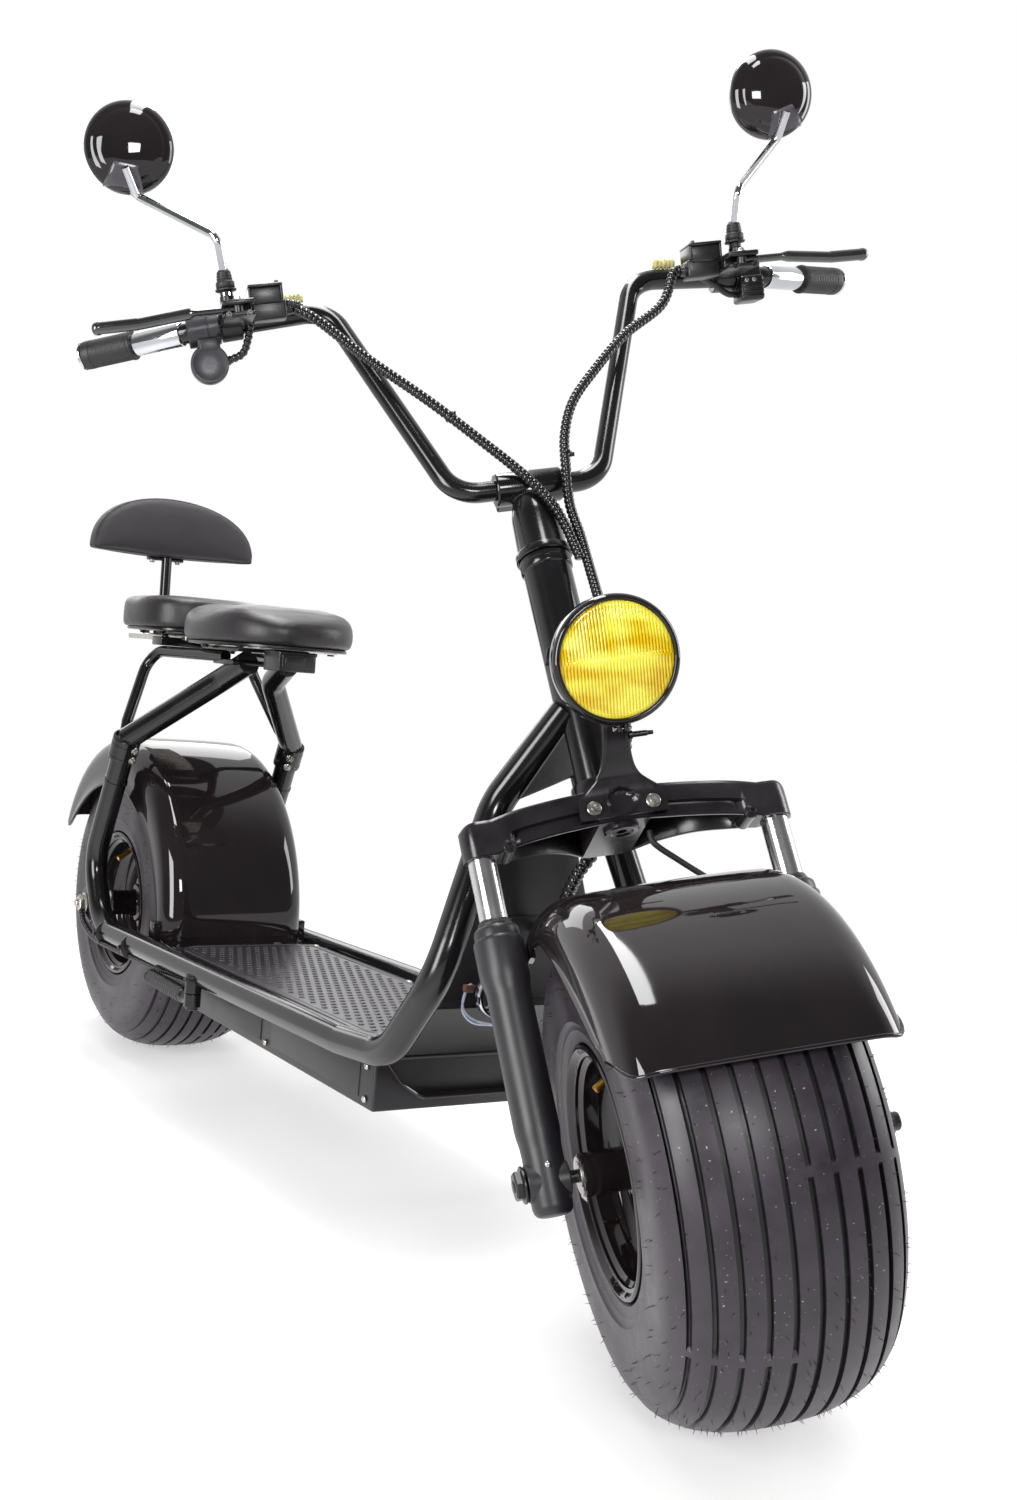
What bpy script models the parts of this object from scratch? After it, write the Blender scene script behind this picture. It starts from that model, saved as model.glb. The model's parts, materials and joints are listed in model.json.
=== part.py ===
"""Electric chopper scooter, parked on its side stand.

Every piece is modelled in the upright vehicle's own frame: metres, +Z up, the
rider faces -Y and the rider's left is +X, the ground at z = 0 and the front
axle above y = 0. Empties then turn the steering, lean the vehicle on to its
stand and set it down on the floor.
"""

import math

import bmesh
import bpy
from mathutils import Matrix, Vector

# Wheels and where they stand
WHEEL_BASE = 1.342
TYRE_RADIUS = 0.2285
TYRE_HALF_WIDTH = 0.101
TYRE_WALL = 0.009
RIM_FLANGE_RADIUS = 0.1117
RIM_HALF_WIDTH = TYRE_HALF_WIDTH - 0.005
RIM_WALL = 0.004
AXLE_RADIUS = 0.010
HUB_TUBE_RADIUS = 0.019
MOTOR_RADIUS = 0.080
MOTOR_HALF_WIDTH = 0.046
GAP = 0.0003
RUNNING_GAP = 0.0006

# Steering geometry
RAKE = math.radians(29.6)
FORK_OFFSET = 0.0616
STEER_AT_REST = math.radians(-24.2)

# Fork
LEG_X = TYRE_HALF_WIDTH + 0.0422
STANCHION_RADIUS = 0.0135
SLIDER_RADIUS = 0.0205
SLIDER_TOP_RADIUS = 0.0235
SLIDER_TOP = 0.233
SLIDER_BOTTOM = -0.030
CROWN_LOW = 0.298
CROWN_HEIGHT = 0.036
CROWN_RISE = 0.020
CROWN_END_RADIUS = 0.0170
AXLE_END = LEG_X + 0.0313

# Head and stem
HEAD_RADIUS = 0.0255
HEAD_LOW = 0.364
HEAD_HIGH = 0.640
CLAMP_AT = 0.731

# Frame
TUBE_RADIUS = 0.0168
TYRE_TO_TUBE = 0.0222
TUBE_X = TYRE_HALF_WIDTH + TYRE_TO_TUBE + TUBE_RADIUS
BETWEEN_TUBES = TUBE_X - TUBE_RADIUS - GAP
DECK_Z = TYRE_RADIUS - 0.0105
DECK_TILT = 0.015
DECK_FRONT = 0.500
DECK_HALF_WIDTH = BETWEEN_TUBES - 0.0109
DECK_REAR = WHEEL_BASE - 0.276
BOX_HALF_WIDTH = BETWEEN_TUBES - 0.0049
BOX_FRONT = 0.438
BOX_REAR = WHEEL_BASE - 0.355
BOX_BOTTOM = TYRE_RADIUS - 0.0825
BOX_TOP = TYRE_RADIUS - 0.0235
SEAT_JOINT = (TUBE_X - 0.0045, WHEEL_BASE - 0.116, TYRE_RADIUS + 0.2665)
STAY_Z = TYRE_RADIUS + 0.400
STAY_RADIUS = 0.0085

# Fenders
FRONT_FENDER_CLEARANCE = 0.0135
REAR_FENDER_CLEARANCE = 0.0325
FRONT_FENDER_HALF_WIDTH = TYRE_HALF_WIDTH + 0.0155
REAR_FENDER_HALF_WIDTH = TYRE_HALF_WIDTH + 0.0115
FENDER_THICKNESS = 0.0028
FENDER_SHOULDER = 0.034

# Seats
SADDLE_CENTRE_Y = WHEEL_BASE - 0.291
SADDLE_HALF_WIDTH = 0.110
SADDLE_HALF_LENGTH = 0.150
SADDLE_BOTTOM = TYRE_RADIUS + 0.4195
SADDLE_THICKNESS = 0.052
PAD_CENTRE_Y = WHEEL_BASE - 0.027
PAD_HALF_WIDTH = 0.110
PAD_HALF_LENGTH = 0.108
PAD_BOTTOM = TYRE_RADIUS + 0.4355
PAD_THICKNESS = 0.048
POST_Y = WHEEL_BASE + 0.121
BACKREST_HALF_WIDTH = 0.142
BACKREST_LOW = TYRE_RADIUS + 0.5535
BACKREST_HEIGHT = 0.096

# Lamp
LAMP_RADIUS = 0.0605
LAMP_CENTRE = (0.0, 0.135, TYRE_RADIUS + 0.4315)

# Bars
BAR_RADIUS = 0.011
BAR_BEND = (0.176, 0.545, TYRE_RADIUS + 0.8275)
GRIP_RADIUS = 0.0155
GRIP_INNER = (0.330, 0.548, TYRE_RADIUS + 0.8185)
GRIP_OUTER = (0.443, 0.605, TYRE_RADIUS + 0.8135)
PERCH_X = 0.285
LEVER_TIP = (0.430, 0.486, TYRE_RADIUS + 0.8185)
MIRROR_RADIUS = 0.049
MIRROR_CENTRE = (0.369, 0.574, TYRE_RADIUS + 1.0215)
MIRROR_STEM_RADIUS = 0.0045

# Wires and hoses
HARNESS_RADIUS = 0.0050
LOWER_HARNESS_RADIUS = 0.0065
HOSE_RADIUS = 0.0030

# Standing on the side stand
LEAN = math.radians(5.0)
STAND_PIVOT = (TUBE_X + 0.020, 0.470, TYRE_RADIUS - 0.0605)
STAND_SPLAY = math.radians(33.0)
STAND_RADIUS = 0.008
PIN_RADIUS = 0.0045
PEG_PIVOT = (TUBE_X + 0.012, WHEEL_BASE - 0.467, TYRE_RADIUS - 0.0525)

ROUND = 16


# Shapes

def new_mesh():
    return bmesh.new()


def ring_points(centre, across, up, radius, sides):
    """Points of a circle about centre, in the plane of two unit vectors."""
    points = []
    for step in range(sides):
        turn = 2 * math.pi * step / sides
        points.append(centre + radius * (math.cos(turn) * across + math.sin(turn) * up))
    return points


def skin(bm, rings, closed=False):
    """Quads between rings of as many points, with a cap on each end."""
    made = [[bm.verts.new(point) for point in ring] for ring in rings]
    count = len(made[0])
    pairs = list(zip(made, made[1:]))
    if closed:
        pairs.append((made[-1], made[0]))
    for near, far in pairs:
        for side in range(count):
            after = (side + 1) % count
            bm.faces.new((near[side], near[after], far[after], far[side]))
    if not closed:
        bm.faces.new(list(reversed(made[0])))
        bm.faces.new(made[-1])


def rounded(points, radius, steps=5):
    """The polyline with each inner corner replaced by an arc of that radius."""
    points = [Vector(point) for point in points]
    path = [points[0]]
    for before, corner, after in zip(points, points[1:], points[2:]):
        to_before = (before - corner).normalized()
        to_after = (after - corner).normalized()
        half = to_before.angle(to_after) / 2
        reach = radius / math.tan(half)
        most = 0.48 * min((before - corner).length, (after - corner).length)
        reach = min(reach, most)
        bend = reach * math.tan(half)
        middle = (to_before + to_after).normalized()
        centre = corner + middle * math.hypot(bend, reach)
        start = corner + to_before * reach - centre
        end = corner + to_after * reach - centre
        whole = start.angle(end)
        axis = start.cross(end).normalized()
        for step in range(steps + 1):
            path.append(centre + Matrix.Rotation(whole * step / steps, 3, axis) @ start)
    path.append(points[-1])
    return path


def sweep(bm, path, radii, sides=12):
    """A round bar along a path; radii is one radius or one for each point."""
    path = [Vector(point) for point in path]
    if not isinstance(radii, (list, tuple)):
        radii = [radii] * len(path)
    tangents = []
    for index in range(len(path)):
        before = path[max(index - 1, 0)]
        after = path[min(index + 1, len(path) - 1)]
        tangents.append((after - before).normalized())
    start = Vector((1, 0, 0)) if abs(tangents[0].x) < 0.9 else Vector((0, 0, 1))
    across = (start - tangents[0] * start.dot(tangents[0])).normalized()
    rings = []
    for point, tangent, radius in zip(path, tangents, radii):
        across = (across - tangent * across.dot(tangent)).normalized()
        rings.append(ring_points(point, across, tangent.cross(across), radius, sides))
    skin(bm, rings)


def cylinder(bm, low, high, radius, sides=ROUND):
    sweep(bm, [low, high], radius, sides)


def block(bm, low, high):
    corners = []
    for z in (low[2], high[2]):
        corners.append([(low[0], low[1], z), (high[0], low[1], z),
                        (high[0], high[1], z), (low[0], high[1], z)])
    skin(bm, corners)


def prism(bm, outline, x_low, x_high):
    """An outline of (y, z) points, extruded from x_low to x_high."""
    skin(bm, [[(x, y, z) for y, z in outline] for x in (x_low, x_high)])


def lathe(bm, profile, sides, centre=(0, 0, 0)):
    """A closed loop of (x, radius) points turned about the X axis."""
    rings = []
    for step in range(sides):
        turn = 2 * math.pi * step / sides
        rings.append([Vector((x, -radius * math.cos(turn), radius * math.sin(turn)))
                      + Vector(centre) for x, radius in profile])
    skin(bm, rings, closed=True)


def turned(bm, base, direction, profile, sides=ROUND):
    """A closed solid of revolution: (distance along direction, radius) from end to end."""
    direction = Vector(direction).normalized()
    start = Vector((1, 0, 0)) if abs(direction.x) < 0.9 else Vector((0, 0, 1))
    across = (start - direction * start.dot(direction)).normalized()
    up = direction.cross(across)
    rings = []
    for along, radius in profile:
        rings.append(ring_points(Vector(base) + direction * along, across, up, radius, sides))
    skin(bm, rings)


def mirrored(point, side):
    return Vector((point[0] * side, point[1], point[2]))


# Places on the fork and the steering column, which lean back by the rake

ALONG = Vector((0, math.sin(RAKE), math.cos(RAKE)))
FORWARD = Vector((0, -math.cos(RAKE), math.sin(RAKE)))
FRONT_AXLE = Vector((0, 0, TYRE_RADIUS))
REAR_AXLE = Vector((0, WHEEL_BASE, TYRE_RADIUS))
STEER_PIVOT = FRONT_AXLE - FORWARD * FORK_OFFSET


def fork(x, forward, along):
    """A point by its distances left of, ahead of and up along the fork legs."""
    return FRONT_AXLE + Vector((x, 0, 0)) + FORWARD * forward + ALONG * along


def column(along, x=0.0, forward=0.0):
    """The same, measured from the steering axis."""
    return fork(x, forward - FORK_OFFSET, along)


def above(x, y, z):
    """A point by its distances left of, behind and above the front axle."""
    return FRONT_AXLE + Vector((x, y, z))


def aft(x, y, z):
    """The same, from the rear axle."""
    return REAR_AXLE + Vector((x, y, z))


def deck_height(y):
    return DECK_Z - DECK_TILT * (y - DECK_FRONT)


# Empties: the whole vehicle, the steering, the wheels and the hinged pieces

def make_empty(name, pivot, parent=None, parent_pivot=(0, 0, 0)):
    empty = bpy.data.objects.new(name, None)
    bpy.context.scene.collection.objects.link(empty)
    empty.parent = parent
    empty.location = Vector(pivot) - Vector(parent_pivot)
    return empty


MATERIALS = {}


def material(name, colour, roughness, metallic):
    made = bpy.data.materials.new(name)
    made.use_nodes = True
    shader = made.node_tree.nodes["Principled BSDF"]
    shader.inputs["Base Color"].default_value = (*colour, 1)
    shader.inputs["Roughness"].default_value = roughness
    shader.inputs["Metallic"].default_value = metallic
    MATERIALS[name] = made


def finish(name, bm, look, where, sharp=32):
    """Makes the object from its mesh, in vehicle coordinates, under its empty."""
    bmesh.ops.remove_doubles(bm, verts=bm.verts, dist=1e-6)
    bmesh.ops.recalc_face_normals(bm, faces=bm.faces)
    mesh = bpy.data.meshes.new(name)
    bm.to_mesh(mesh)
    bm.free()
    mesh.shade_smooth()
    mesh.set_sharp_from_angle(angle=math.radians(sharp))
    made = bpy.data.objects.new(name, mesh)
    bpy.context.scene.collection.objects.link(made)
    made.data.materials.append(MATERIALS[look])
    empty, pivot = where
    made.parent = empty
    made.location = -Vector(pivot)
    return made


def scratch(bm):
    """A mesh object that only joins or cuts another."""
    bmesh.ops.recalc_face_normals(bm, faces=bm.faces)
    mesh = bpy.data.meshes.new("scratch")
    bm.to_mesh(mesh)
    bm.free()
    made = bpy.data.objects.new("scratch", mesh)
    bpy.context.scene.collection.objects.link(made)
    return made


def combined(first, others, operation):
    """The mesh of first after a Boolean with each of the others, as a bmesh."""
    body = scratch(first)
    for other in others:
        tool = scratch(other)
        modifier = body.modifiers.new(operation, "BOOLEAN")
        modifier.operation = operation
        modifier.solver = "EXACT"
        modifier.object = tool
        graph = bpy.context.evaluated_depsgraph_get()
        mesh = bpy.data.meshes.new_from_object(body.evaluated_get(graph))
        body.modifiers.clear()
        body.data = mesh
        bpy.data.objects.remove(tool)
    joined = bmesh.new()
    joined.from_mesh(body.data)
    bpy.data.objects.remove(body)
    return joined


def union(first, *others):
    return combined(first, others, "UNION")


def cut(first, *others):
    return combined(first, others, "DIFFERENCE")


# Wheels

def tyre_section():
    """Closed (x, radius) loop: round crown, upright sidewalls, open to the rim."""
    seat = RIM_FLANGE_RADIUS + GAP
    middle = (TYRE_RADIUS + RIM_FLANGE_RADIUS) / 2 - 0.005
    section = []
    for wall, order, steps in ((0.0, 1, 10), (TYRE_WALL, -1, 4)):
        half = TYRE_HALF_WIDTH - wall
        crown = TYRE_RADIUS - middle - wall
        foot = middle - seat
        line = []
        for step in range(steps + 1):
            turn = math.pi * step / steps
            x = -half * math.copysign(abs(math.cos(turn)) ** (2 / 2.5), math.cos(turn))
            line.append((x, middle + crown * math.sin(turn) ** (2 / 2.5)))
        bead = half * 0.93
        line = [(-bead, seat), (-half * 0.985, seat + foot * 0.5)] + line
        line = line + [(half * 0.985, seat + foot * 0.5), (bead, seat)]
        section += line[::order]
    return section


def rim_section(hub_half, hub_radius, casing_half, casing_radius):
    """Closed (x, radius) loop of a deep rim with a middle disc or motor casing and a hub."""
    flange = RIM_FLANGE_RADIUS
    half = RIM_HALF_WIDTH
    outer = [(0.030, flange - 0.030), (0.044, flange - 0.0125), (half - 0.005, flange - 0.0115),
             (half - 0.004, flange - 0.001), (half, flange - 0.001)]
    inner = [(half - 0.003, flange - 0.0115 - RIM_WALL),
             (0.060, flange - 0.0125 - RIM_WALL), (0.048, flange - 0.030 - RIM_WALL),
             (casing_half, casing_radius), (casing_half + 0.006, hub_radius + 0.010),
             (casing_half + 0.010, hub_radius), (hub_half, hub_radius),
             (hub_half, AXLE_RADIUS + RUNNING_GAP)]
    right = outer + inner
    return right + [(-x, radius) for x, radius in reversed(right)]


def make_wheels(front, rear):
    for name, where, centre, section in (
        ("front_rim", front, FRONT_AXLE,
         rim_section(LEG_X - SLIDER_RADIUS - 0.0087, HUB_TUBE_RADIUS, 0.010, 0.072)),
        ("rear_rim_motor", rear, REAR_AXLE,
         rim_section(TUBE_X - 0.034, HUB_TUBE_RADIUS, MOTOR_HALF_WIDTH, MOTOR_RADIUS - 0.006)),
    ):
        bm = new_mesh()
        lathe(bm, section, 24, centre)
        finish(name, bm, "black_paint", where)
    for name, where, centre in (("front_tyre", front, FRONT_AXLE), ("rear_tyre", rear, REAR_AXLE)):
        bm = new_mesh()
        lathe(bm, tyre_section(), 32, centre)
        finish(name, bm, "tyre", where, sharp=50)


def fender_shell(centre, radius, half, first, last, skirt, steps):
    """A curved shell over a wheel: flat crown, round shoulders and side skirts.

    first and last are angles up from straight ahead, skirt(share) how far the
    side skirts hang below the shoulder at that share of the way round.
    """
    corner = FENDER_SHOULDER
    rings = []
    for step in range(steps + 1):
        angle = first + (last - first) * step / steps
        low = radius - corner - skirt(step / steps)
        line = []
        for wall in (0.0, FENDER_THICKNESS):
            outer = radius - wall
            flat = half - corner
            side = [(half - wall, low)]
            for bend in range(4):
                turn = math.pi / 2 * bend / 3
                side.append((flat + (corner - wall) * math.cos(turn),
                             outer - (corner - wall) * (1 - math.sin(turn))))
            side.append((flat * 0.5, outer + 0.0015))
            whole = side + [(-x, r) for x, r in reversed(side)]
            line += whole if wall == 0 else whole[::-1]
        ahead = Vector((0, -math.cos(angle), math.sin(angle)))
        rings.append([centre + Vector((x, 0, 0)) + ahead * r for x, r in line])
    bm = new_mesh()
    skin(bm, rings)
    return bm


def make_fenders(steering, chassis):
    def front_skirt(share):
        return 0.004 + 0.022 * math.sin(math.pi * min(share * 1.3, 1.0))

    def rear_skirt(share):
        return 0.004 + 0.036 * math.sin(math.pi * (1 - share) ** 0.7)

    bm = fender_shell(FRONT_AXLE, TYRE_RADIUS + FRONT_FENDER_CLEARANCE, FRONT_FENDER_HALF_WIDTH,
                      math.radians(38), math.radians(125), front_skirt, 10)
    lugs = []
    for side in (1, -1):
        lug = new_mesh()
        near = (FRONT_FENDER_HALF_WIDTH - 0.004) * side
        far = (LEG_X - SLIDER_TOP_RADIUS - GAP) * side
        skin(lug, [[fork(x, forward, along) for forward, along in (
            (-0.010, 0.197), (0.010, 0.197), (0.010, 0.211), (-0.010, 0.211))] for x in (near, far)])
        lugs.append(lug)
    finish("front_fender", union(bm, *lugs), "gloss_black", steering)
    bm = fender_shell(REAR_AXLE, TYRE_RADIUS + REAR_FENDER_CLEARANCE, REAR_FENDER_HALF_WIDTH,
                      math.radians(-1), math.radians(154), rear_skirt, 16)
    lugs = []
    for side in (1, -1):
        lug = new_mesh()
        low, high = sorted(((REAR_FENDER_HALF_WIDTH - 0.004) * side, BETWEEN_TUBES * side))
        block(lug, aft(low, -0.236, -0.022), aft(high, -0.218, 0.010))
        lugs.append(lug)
    finish("rear_fender", union(bm, *lugs), "gloss_black", chassis)


def make_fork(steering):
    ends = ((1, "left"), (-1, "right"))
    for side, hand in ends:
        x = LEG_X * side
        bm = new_mesh()
        cylinder(bm, fork(x, 0, SLIDER_TOP + GAP), fork(x, 0, CROWN_LOW - GAP), STANCHION_RADIUS)
        finish(f"stanchion_{hand}", bm, "chrome", steering)
        bm = new_mesh()
        top = SLIDER_TOP - SLIDER_BOTTOM
        turned(bm, fork(x, 0, SLIDER_BOTTOM), ALONG, [
            (0.0, 0.014), (0.004, 0.0175), (0.060, 0.0185), (0.075, SLIDER_RADIUS),
            (top - 0.062, SLIDER_RADIUS), (top - 0.045, SLIDER_TOP_RADIUS),
            (top - 0.010, SLIDER_TOP_RADIUS), (top - 0.002, SLIDER_TOP_RADIUS - 0.003),
            (top, SLIDER_TOP_RADIUS - 0.008)])
        hole = new_mesh()
        cylinder(hole, FRONT_AXLE + Vector(((LEG_X - 0.05) * side, 0, 0)),
                 FRONT_AXLE + Vector(((LEG_X + 0.05) * side, 0, 0)), AXLE_RADIUS + GAP)
        finish(f"slider_{hand}", cut(bm, hole), "satin_black", steering)
    bm = new_mesh()
    nut = 0.0165
    face = LEG_X + SLIDER_RADIUS
    middle = AXLE_RADIUS
    turned(bm, FRONT_AXLE - Vector((AXLE_END, 0, 0)), (1, 0, 0), [
        (0, nut * 0.8), (0.001, nut), (AXLE_END - face - GAP * 2, nut),
        (AXLE_END - face - GAP * 2, middle),
        (AXLE_END + face + GAP * 2, middle), (AXLE_END + face + GAP * 2, nut),
        (2 * AXLE_END - 0.001, nut), (2 * AXLE_END, nut * 0.8)], 12)
    finish("front_axle", bm, "steel", steering)


def crown_rings(inset, low, high, reach):
    """Sections across the crown: (x, back edge, front edge) from one leg to the other."""
    rows = [(0.0, -0.098, 0.004), (0.022, -0.094, 0.004), (0.045, -0.070, 0.004),
            (0.075, -0.045, 0.008), (0.105, -0.030, 0.014),
            (LEG_X - STANCHION_RADIUS, -CROWN_END_RADIUS, CROWN_END_RADIUS),
            (LEG_X, -CROWN_END_RADIUS, CROWN_END_RADIUS)]
    for turn in (30, 55, 75, 88):
        half = CROWN_END_RADIUS * math.cos(math.radians(turn))
        rows.append((LEG_X + CROWN_END_RADIUS * math.sin(math.radians(turn)), -half, half))
    rows = [row for row in rows if row[0] <= reach]
    rows = [(-x, back, front) for x, back, front in reversed(rows[1:])] + rows
    rings = []
    for x, back, front in rows:
        rise = CROWN_RISE * max(0.0, 1 - (x / (LEG_X - STANCHION_RADIUS)) ** 2)
        rings.append([fork(x, back + inset, low + rise), fork(x, front - inset, low + rise),
                      fork(x, front - inset, high + rise), fork(x, back + inset, high + rise)])
    return rings


def make_crown(steering):
    bm = new_mesh()
    skin(bm, crown_rings(0, CROWN_LOW, CROWN_LOW + CROWN_HEIGHT, 1))
    pockets = []
    for side in (1, -1):
        pocket = new_mesh()
        rings = [ring for ring in crown_rings(0.006, CROWN_LOW - 0.02, CROWN_LOW + 0.012, 0.112)
                 if ring[0].x * side > 0.04]
        skin(pocket, rings)
        pockets.append(pocket)
    bm = cut(bm, *pockets)
    boss = new_mesh()
    turned(boss, fork(0, -0.018, CROWN_LOW + CROWN_RISE - 0.006), ALONG,
           [(0, 0.014), (0.003, 0.017), (0.012, 0.017)], 16)
    seat = new_mesh()
    cylinder(seat, column(CROWN_LOW + CROWN_HEIGHT), column(HEAD_LOW - RUNNING_GAP), 0.022, 20)
    finish("fork_crown", union(bm, boss, seat), "cast_black", steering)


def make_stem(steering):
    top = column(CLAMP_AT)
    bm = new_mesh()
    turned(bm, column(HEAD_HIGH + RUNNING_GAP), ALONG, [
        (0, 0.030), (0.008, 0.030), (0.010, 0.0265), (0.055, 0.0245), (0.075, 0.019)], ROUND)
    neck = new_mesh()
    turned(neck, column(HEAD_HIGH + 0.040), ALONG, [(0, 0.020), (CLAMP_AT - HEAD_HIGH - 0.036, 0.015)], 16)
    clamp = new_mesh()
    turned(clamp, top - Vector((0.036, 0, 0)), (1, 0, 0), [
        (0, 0.0165), (0.002, 0.018), (0.070, 0.018), (0.072, 0.0165)], ROUND)
    lip = new_mesh()
    half = 0.034
    rings = []
    for x in (-half, half):
        rings.append([top + Vector((x, 0, 0)) + ALONG * a + FORWARD * f for a, f in (
            (-0.012, -0.030), (-0.012, -0.012), (0.012, -0.012), (0.012, -0.030))])
    skin(lip, rings)
    hole = new_mesh()
    cylinder(hole, top - Vector((0.05, 0, 0)), top + Vector((0.05, 0, 0)), BAR_RADIUS + GAP, 16)
    finish("steering_stem", cut(union(bm, neck, clamp, lip), hole), "black_paint", steering)


def make_head(chassis):
    bm = new_mesh()
    length = HEAD_HIGH - HEAD_LOW
    turned(bm, column(HEAD_LOW), ALONG, [
        (0, HEAD_RADIUS + 0.003), (0.016, HEAD_RADIUS + 0.003), (0.018, HEAD_RADIUS),
        (length - 0.014, HEAD_RADIUS), (length - 0.012, HEAD_RADIUS + 0.002),
        (length, HEAD_RADIUS + 0.002)], 24)
    finish("head_tube", bm, "black_paint", chassis)


def side_tube_path(side):
    joint = mirrored(SEAT_JOINT, side)
    points = [
        column(0.462, x=0.0185),
        above(0.070, 0.318, 0.2715),
        above(TUBE_X - 0.002, 0.290, 0.1015),
        above(TUBE_X, 0.375, -0.0005),
        (TUBE_X, 0.480, deck_height(0.480)),
        (TUBE_X, WHEEL_BASE - 0.072, deck_height(WHEEL_BASE - 0.072) - 0.006),
        aft(TUBE_X, -0.016, 0.0715),
    ]
    points = [mirrored(point, side) for point in points]
    down = (points[-1] - joint).normalized()
    return rounded(points + [joint + down * 0.004], 0.075, 4)


def axle_plate(side):
    """The plate with the rear axle's hole, edge on to the side tube."""
    outline = []
    for step in range(9):
        turn = math.radians(-100 + 200 * step / 8)
        outline.append((WHEEL_BASE + 0.024 * math.cos(turn), TYRE_RADIUS + 0.024 * math.sin(turn)))
    outline += [(WHEEL_BASE - 0.028, TYRE_RADIUS + 0.040), (WHEEL_BASE - 0.036, TYRE_RADIUS - 0.020)]
    low, high = sorted((side * (TUBE_X - 0.005), side * (TUBE_X + 0.005)))
    plate = new_mesh()
    prism(plate, outline, low, high)
    return plate


def gusset(side):
    """The plate welded into the corner between the head tube and the down tube."""
    top = column(0.480, x=0.022)
    low = column(0.392, x=0.022)
    foot = above(0.0655, 0.3205, 0.2765)
    lift = (top - low).cross(foot - low).normalized() * 0.002
    plate = new_mesh()
    skin(plate, [[mirrored(point + way, side) for point in (top, low, foot)] for way in (-lift, lift)])
    return plate


def peg_lug(side):
    """A boss under the tube, with the pin and pin head that its peg turns on."""
    lug = new_mesh()
    x, y, z = mirrored(PEG_PIVOT, side)
    top = z + 0.034
    knuckle = 0.009 + RUNNING_GAP
    turned(lug, (x, y, top), (0, 0, -1), [
        (0, 0.011), (0.034 - knuckle, 0.011), (0.034 - knuckle, PIN_RADIUS),
        (0.034 + knuckle, PIN_RADIUS), (0.034 + knuckle, 0.008), (0.037 + knuckle, 0.008)], 16)
    return lug


def stand_lug():
    """The lug welded under the left tube, with the stand's pin and pin head."""
    pivot = Vector(STAND_PIVOT)
    axis = stand_axis()
    lug = new_mesh()
    knuckle = 0.006 + RUNNING_GAP
    start = 0.006 + knuckle
    turned(lug, pivot - axis * start, axis, [
        (0, 0.012), (0.001, 0.013), (0.006, 0.013), (0.006, PIN_RADIUS),
        (start + knuckle, PIN_RADIUS), (start + knuckle, 0.009), (start + knuckle + 0.003, 0.009)], 16)
    web = new_mesh()
    base = pivot - axis * start
    sweep(web, [base, base - stand_way() * 0.024, (TUBE_X, pivot.y, deck_height(pivot.y))], 0.0055, 10)
    return union(lug, web)


def make_side_tubes(chassis):
    for side, hand in ((1, "left"), (-1, "right")):
        bm = new_mesh()
        sweep(bm, side_tube_path(side), TUBE_RADIUS, 12)
        welded = [axle_plate(side), gusset(side), peg_lug(side)]
        if side > 0:
            welded.append(stand_lug())
        hole = new_mesh()
        cylinder(hole, REAR_AXLE + Vector((side * (TUBE_X - 0.04), 0, 0)),
                 REAR_AXLE + Vector((side * (TUBE_X + 0.04), 0, 0)), AXLE_RADIUS + GAP)
        head = new_mesh()
        cylinder(head, column(HEAD_LOW - 0.05), column(HEAD_HIGH), HEAD_RADIUS + GAP, 24)
        finish(f"side_tube_{hand}", cut(union(bm, *welded), hole, head), "black_paint", chassis)


def make_rear_axle(chassis):
    bm = new_mesh()
    nut = 0.0155
    face = TUBE_X + 0.005 + GAP
    end = face + 0.016
    shoulder = TUBE_X - 0.005 - GAP
    half = [(shoulder - 0.020, AXLE_RADIUS), (shoulder - 0.020, 0.0145), (shoulder, 0.0145),
            (shoulder, AXLE_RADIUS), (face, AXLE_RADIUS), (face, nut), (end - 0.001, nut),
            (end, nut * 0.8)]
    profile = [(end - x, r) for x, r in reversed(half)] + [(end + x, r) for x, r in half]
    turned(bm, REAR_AXLE - Vector((end, 0, 0)), (1, 0, 0), profile, 12)
    finish("rear_axle", bm, "steel", chassis)


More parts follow.
